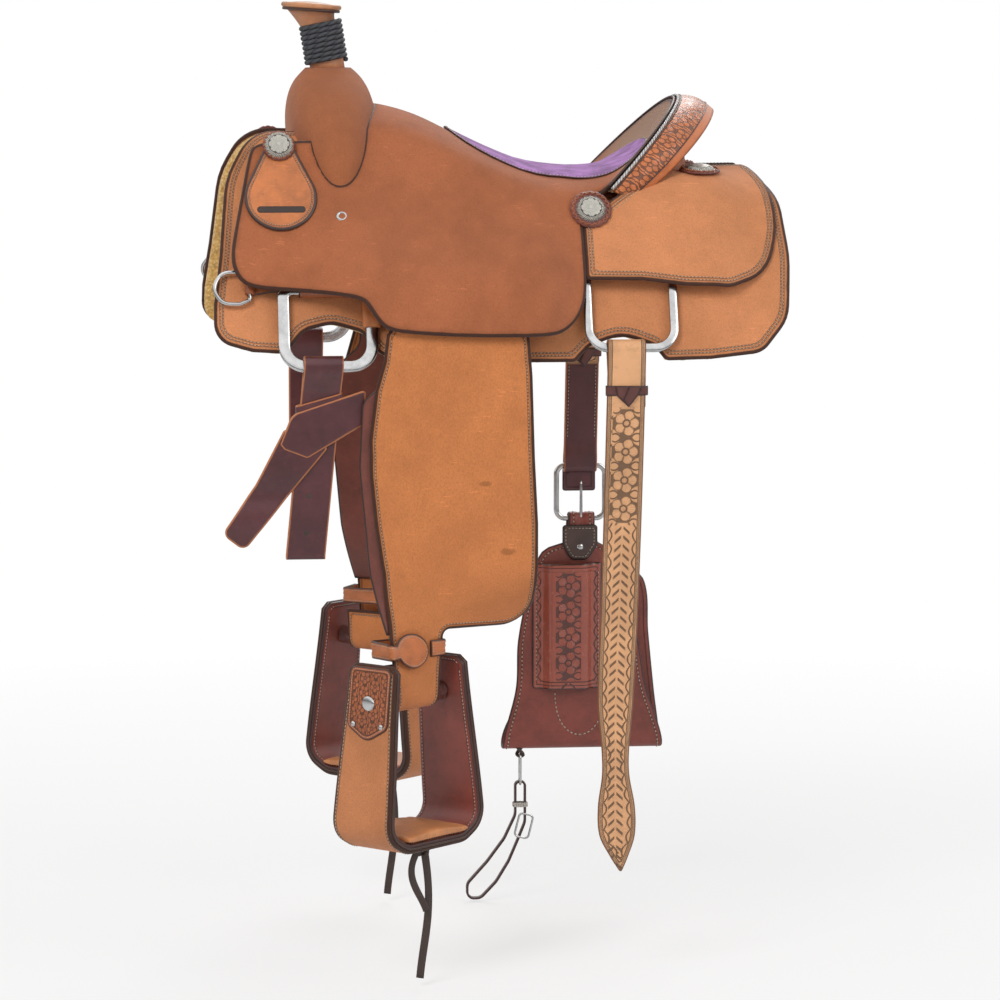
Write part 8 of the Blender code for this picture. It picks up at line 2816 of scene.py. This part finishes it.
class SaddleSettings(bpy.types.PropertyGroup):
    """Sizes and colours that a user would change."""

    lace_length: FloatProperty(
        name="Lace length", description="Length of each lace under the stirrups",
        default=LACE_LENGTH, min=0.05, max=0.4, unit="LENGTH")
    sky_level: FloatProperty(
        name="Studio level", description="Light that comes evenly from all round",
        default=0.50, min=0.0, max=2.0, subtype="FACTOR")
    lamp_power: FloatProperty(
        name="Lamp power", description="Power of the main lamp", default=80.0, min=0.0,
        unit="POWER")
    rough_colour: tint("Rough-out", "Skirts and rear jockeys, flesh side out",
                       (0.62, 0.245, 0.105))
    smooth_colour: tint("Russet", "Smooth russet leather", (0.42, 0.125, 0.040))
    natural_colour: tint("Natural", "Tooled near billet", (0.60, 0.315, 0.155))
    burgundy_colour: tint("Burgundy", "Latigo and cinch straps", (0.105, 0.026, 0.030))
    suede_colour: tint("Suede", "Panel let into the seat", (0.38, 0.18, 0.45))
    thread_colour: tint("Thread", "Waxed stitching thread", (0.86, 0.76, 0.60))


class StageOperator(bpy.types.Operator):
    """Sets the floor, the lamps and the camera"""

    bl_idname = "saddle.stage"
    bl_label = "Stage"

    def execute(self, context):
        build_stage(context.scene.saddle)
        return {"FINISHED"}


class LacesOperator(bpy.types.Operator):
    """Hangs the laces under the treads"""

    bl_idname = "saddle.laces"
    bl_label = "Laces"

    def execute(self, context):
        build_laces(context.scene.saddle)
        return {"FINISHED"}


class SkirtsOperator(bpy.types.Operator):
    """Cuts the skirts, their fleece and the rear jockeys"""

    bl_idname = "saddle.skirts"
    bl_label = "Skirts and rear jockeys"

    def execute(self, context):
        build_skirts(context.scene.saddle)
        return {"FINISHED"}


class SeatOperator(bpy.types.Operator):
    """Draws the seat over the tree, with the swell cover, inlay and cantle"""

    bl_idname = "saddle.seat"
    bl_label = "Seat and cantle"

    def execute(self, context):
        build_seat(context.scene.saddle)
        return {"FINISHED"}


class HornOperator(bpy.types.Operator):
    """Covers the horn and winds its cord"""

    bl_idname = "saddle.horn"
    bl_label = "Horn"

    def execute(self, context):
        build_horn(context.scene.saddle)
        return {"FINISHED"}


class ConchosOperator(bpy.types.Operator):
    """Sets the engraved conchos on their rosettes"""

    bl_idname = "saddle.conchos"
    bl_label = "Conchos"

    def execute(self, context):
        build_conchos(context.scene.saddle)
        return {"FINISHED"}


class RiggingOperator(bpy.types.Operator):
    """Sews the rigging and hangs its dees"""

    bl_idname = "saddle.rigging"
    bl_label = "Rigging and dees"

    def execute(self, context):
        build_rigging(context.scene.saddle)
        return {"FINISHED"}


class FendersOperator(bpy.types.Operator):
    """Hangs the fenders, the stirrup leathers and the hobble straps"""

    bl_idname = "saddle.fenders"
    bl_label = "Fenders"

    def execute(self, context):
        build_fenders(context.scene.saddle)
        return {"FINISHED"}


class StirrupsOperator(bpy.types.Operator):
    """Covers the stirrups and sets their bolts and treads"""

    bl_idname = "saddle.stirrups"
    bl_label = "Stirrups"

    def execute(self, context):
        build_stirrups(context.scene.saddle)
        return {"FINISHED"}


class FrontStrapsOperator(bpy.types.Operator):
    """Ties the latigo and hangs the off billet"""

    bl_idname = "saddle.front_straps"
    bl_label = "Latigo and off billet"

    def execute(self, context):
        build_front_straps(context.scene.saddle)
        return {"FINISHED"}


class RearStrapsOperator(bpy.types.Operator):
    """Hangs the rear billets"""

    bl_idname = "saddle.rear_straps"
    bl_label = "Rear billets"

    def execute(self, context):
        build_rear_straps(context.scene.saddle)
        return {"FINISHED"}


class CinchOperator(bpy.types.Operator):
    """Folds the back cinch and sets its buckle, safe, keeper, snap and connector"""

    bl_idname = "saddle.cinch"
    bl_label = "Back cinch"

    def execute(self, context):
        build_cinch(context.scene.saddle)
        build_connector(context.scene.saddle)
        return {"FINISHED"}


OPERATORS = (
    StageOperator, LacesOperator, SkirtsOperator, SeatOperator, HornOperator, ConchosOperator,
    RiggingOperator, FendersOperator, StirrupsOperator, FrontStrapsOperator, RearStrapsOperator,
    CinchOperator,
)


class SaddlePanel(bpy.types.Panel):
    """Lists the saddle's sizes and colours and the steps that build it"""

    bl_idname = "VIEW3D_PT_saddle"
    bl_label = "Roping saddle"
    bl_space_type = "VIEW_3D"
    bl_region_type = "UI"
    bl_category = "Saddle"

    def draw(self, context):
        for name in SaddleSettings.__annotations__:
            self.layout.prop(context.scene.saddle, name)
        for operator in OPERATORS:
            self.layout.operator(operator.bl_idname)


def register():
    """Adds the classes and the settings."""
    for each in (SaddleSettings,) + OPERATORS + (SaddlePanel,):
        bpy.utils.register_class(each)
    bpy.types.Scene.saddle = PointerProperty(type=SaddleSettings)


def unregister():
    """Takes them out again."""
    del bpy.types.Scene.saddle
    for each in (SaddlePanel,) + OPERATORS[::-1] + (SaddleSettings,):
        bpy.utils.unregister_class(each)


def main():
    """Builds the saddle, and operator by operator."""
    register()
    for operator in OPERATORS:
        group, name = operator.bl_idname.split(".")
        getattr(getattr(bpy.ops, group), name)()


if __name__ == "__main__":
    main()
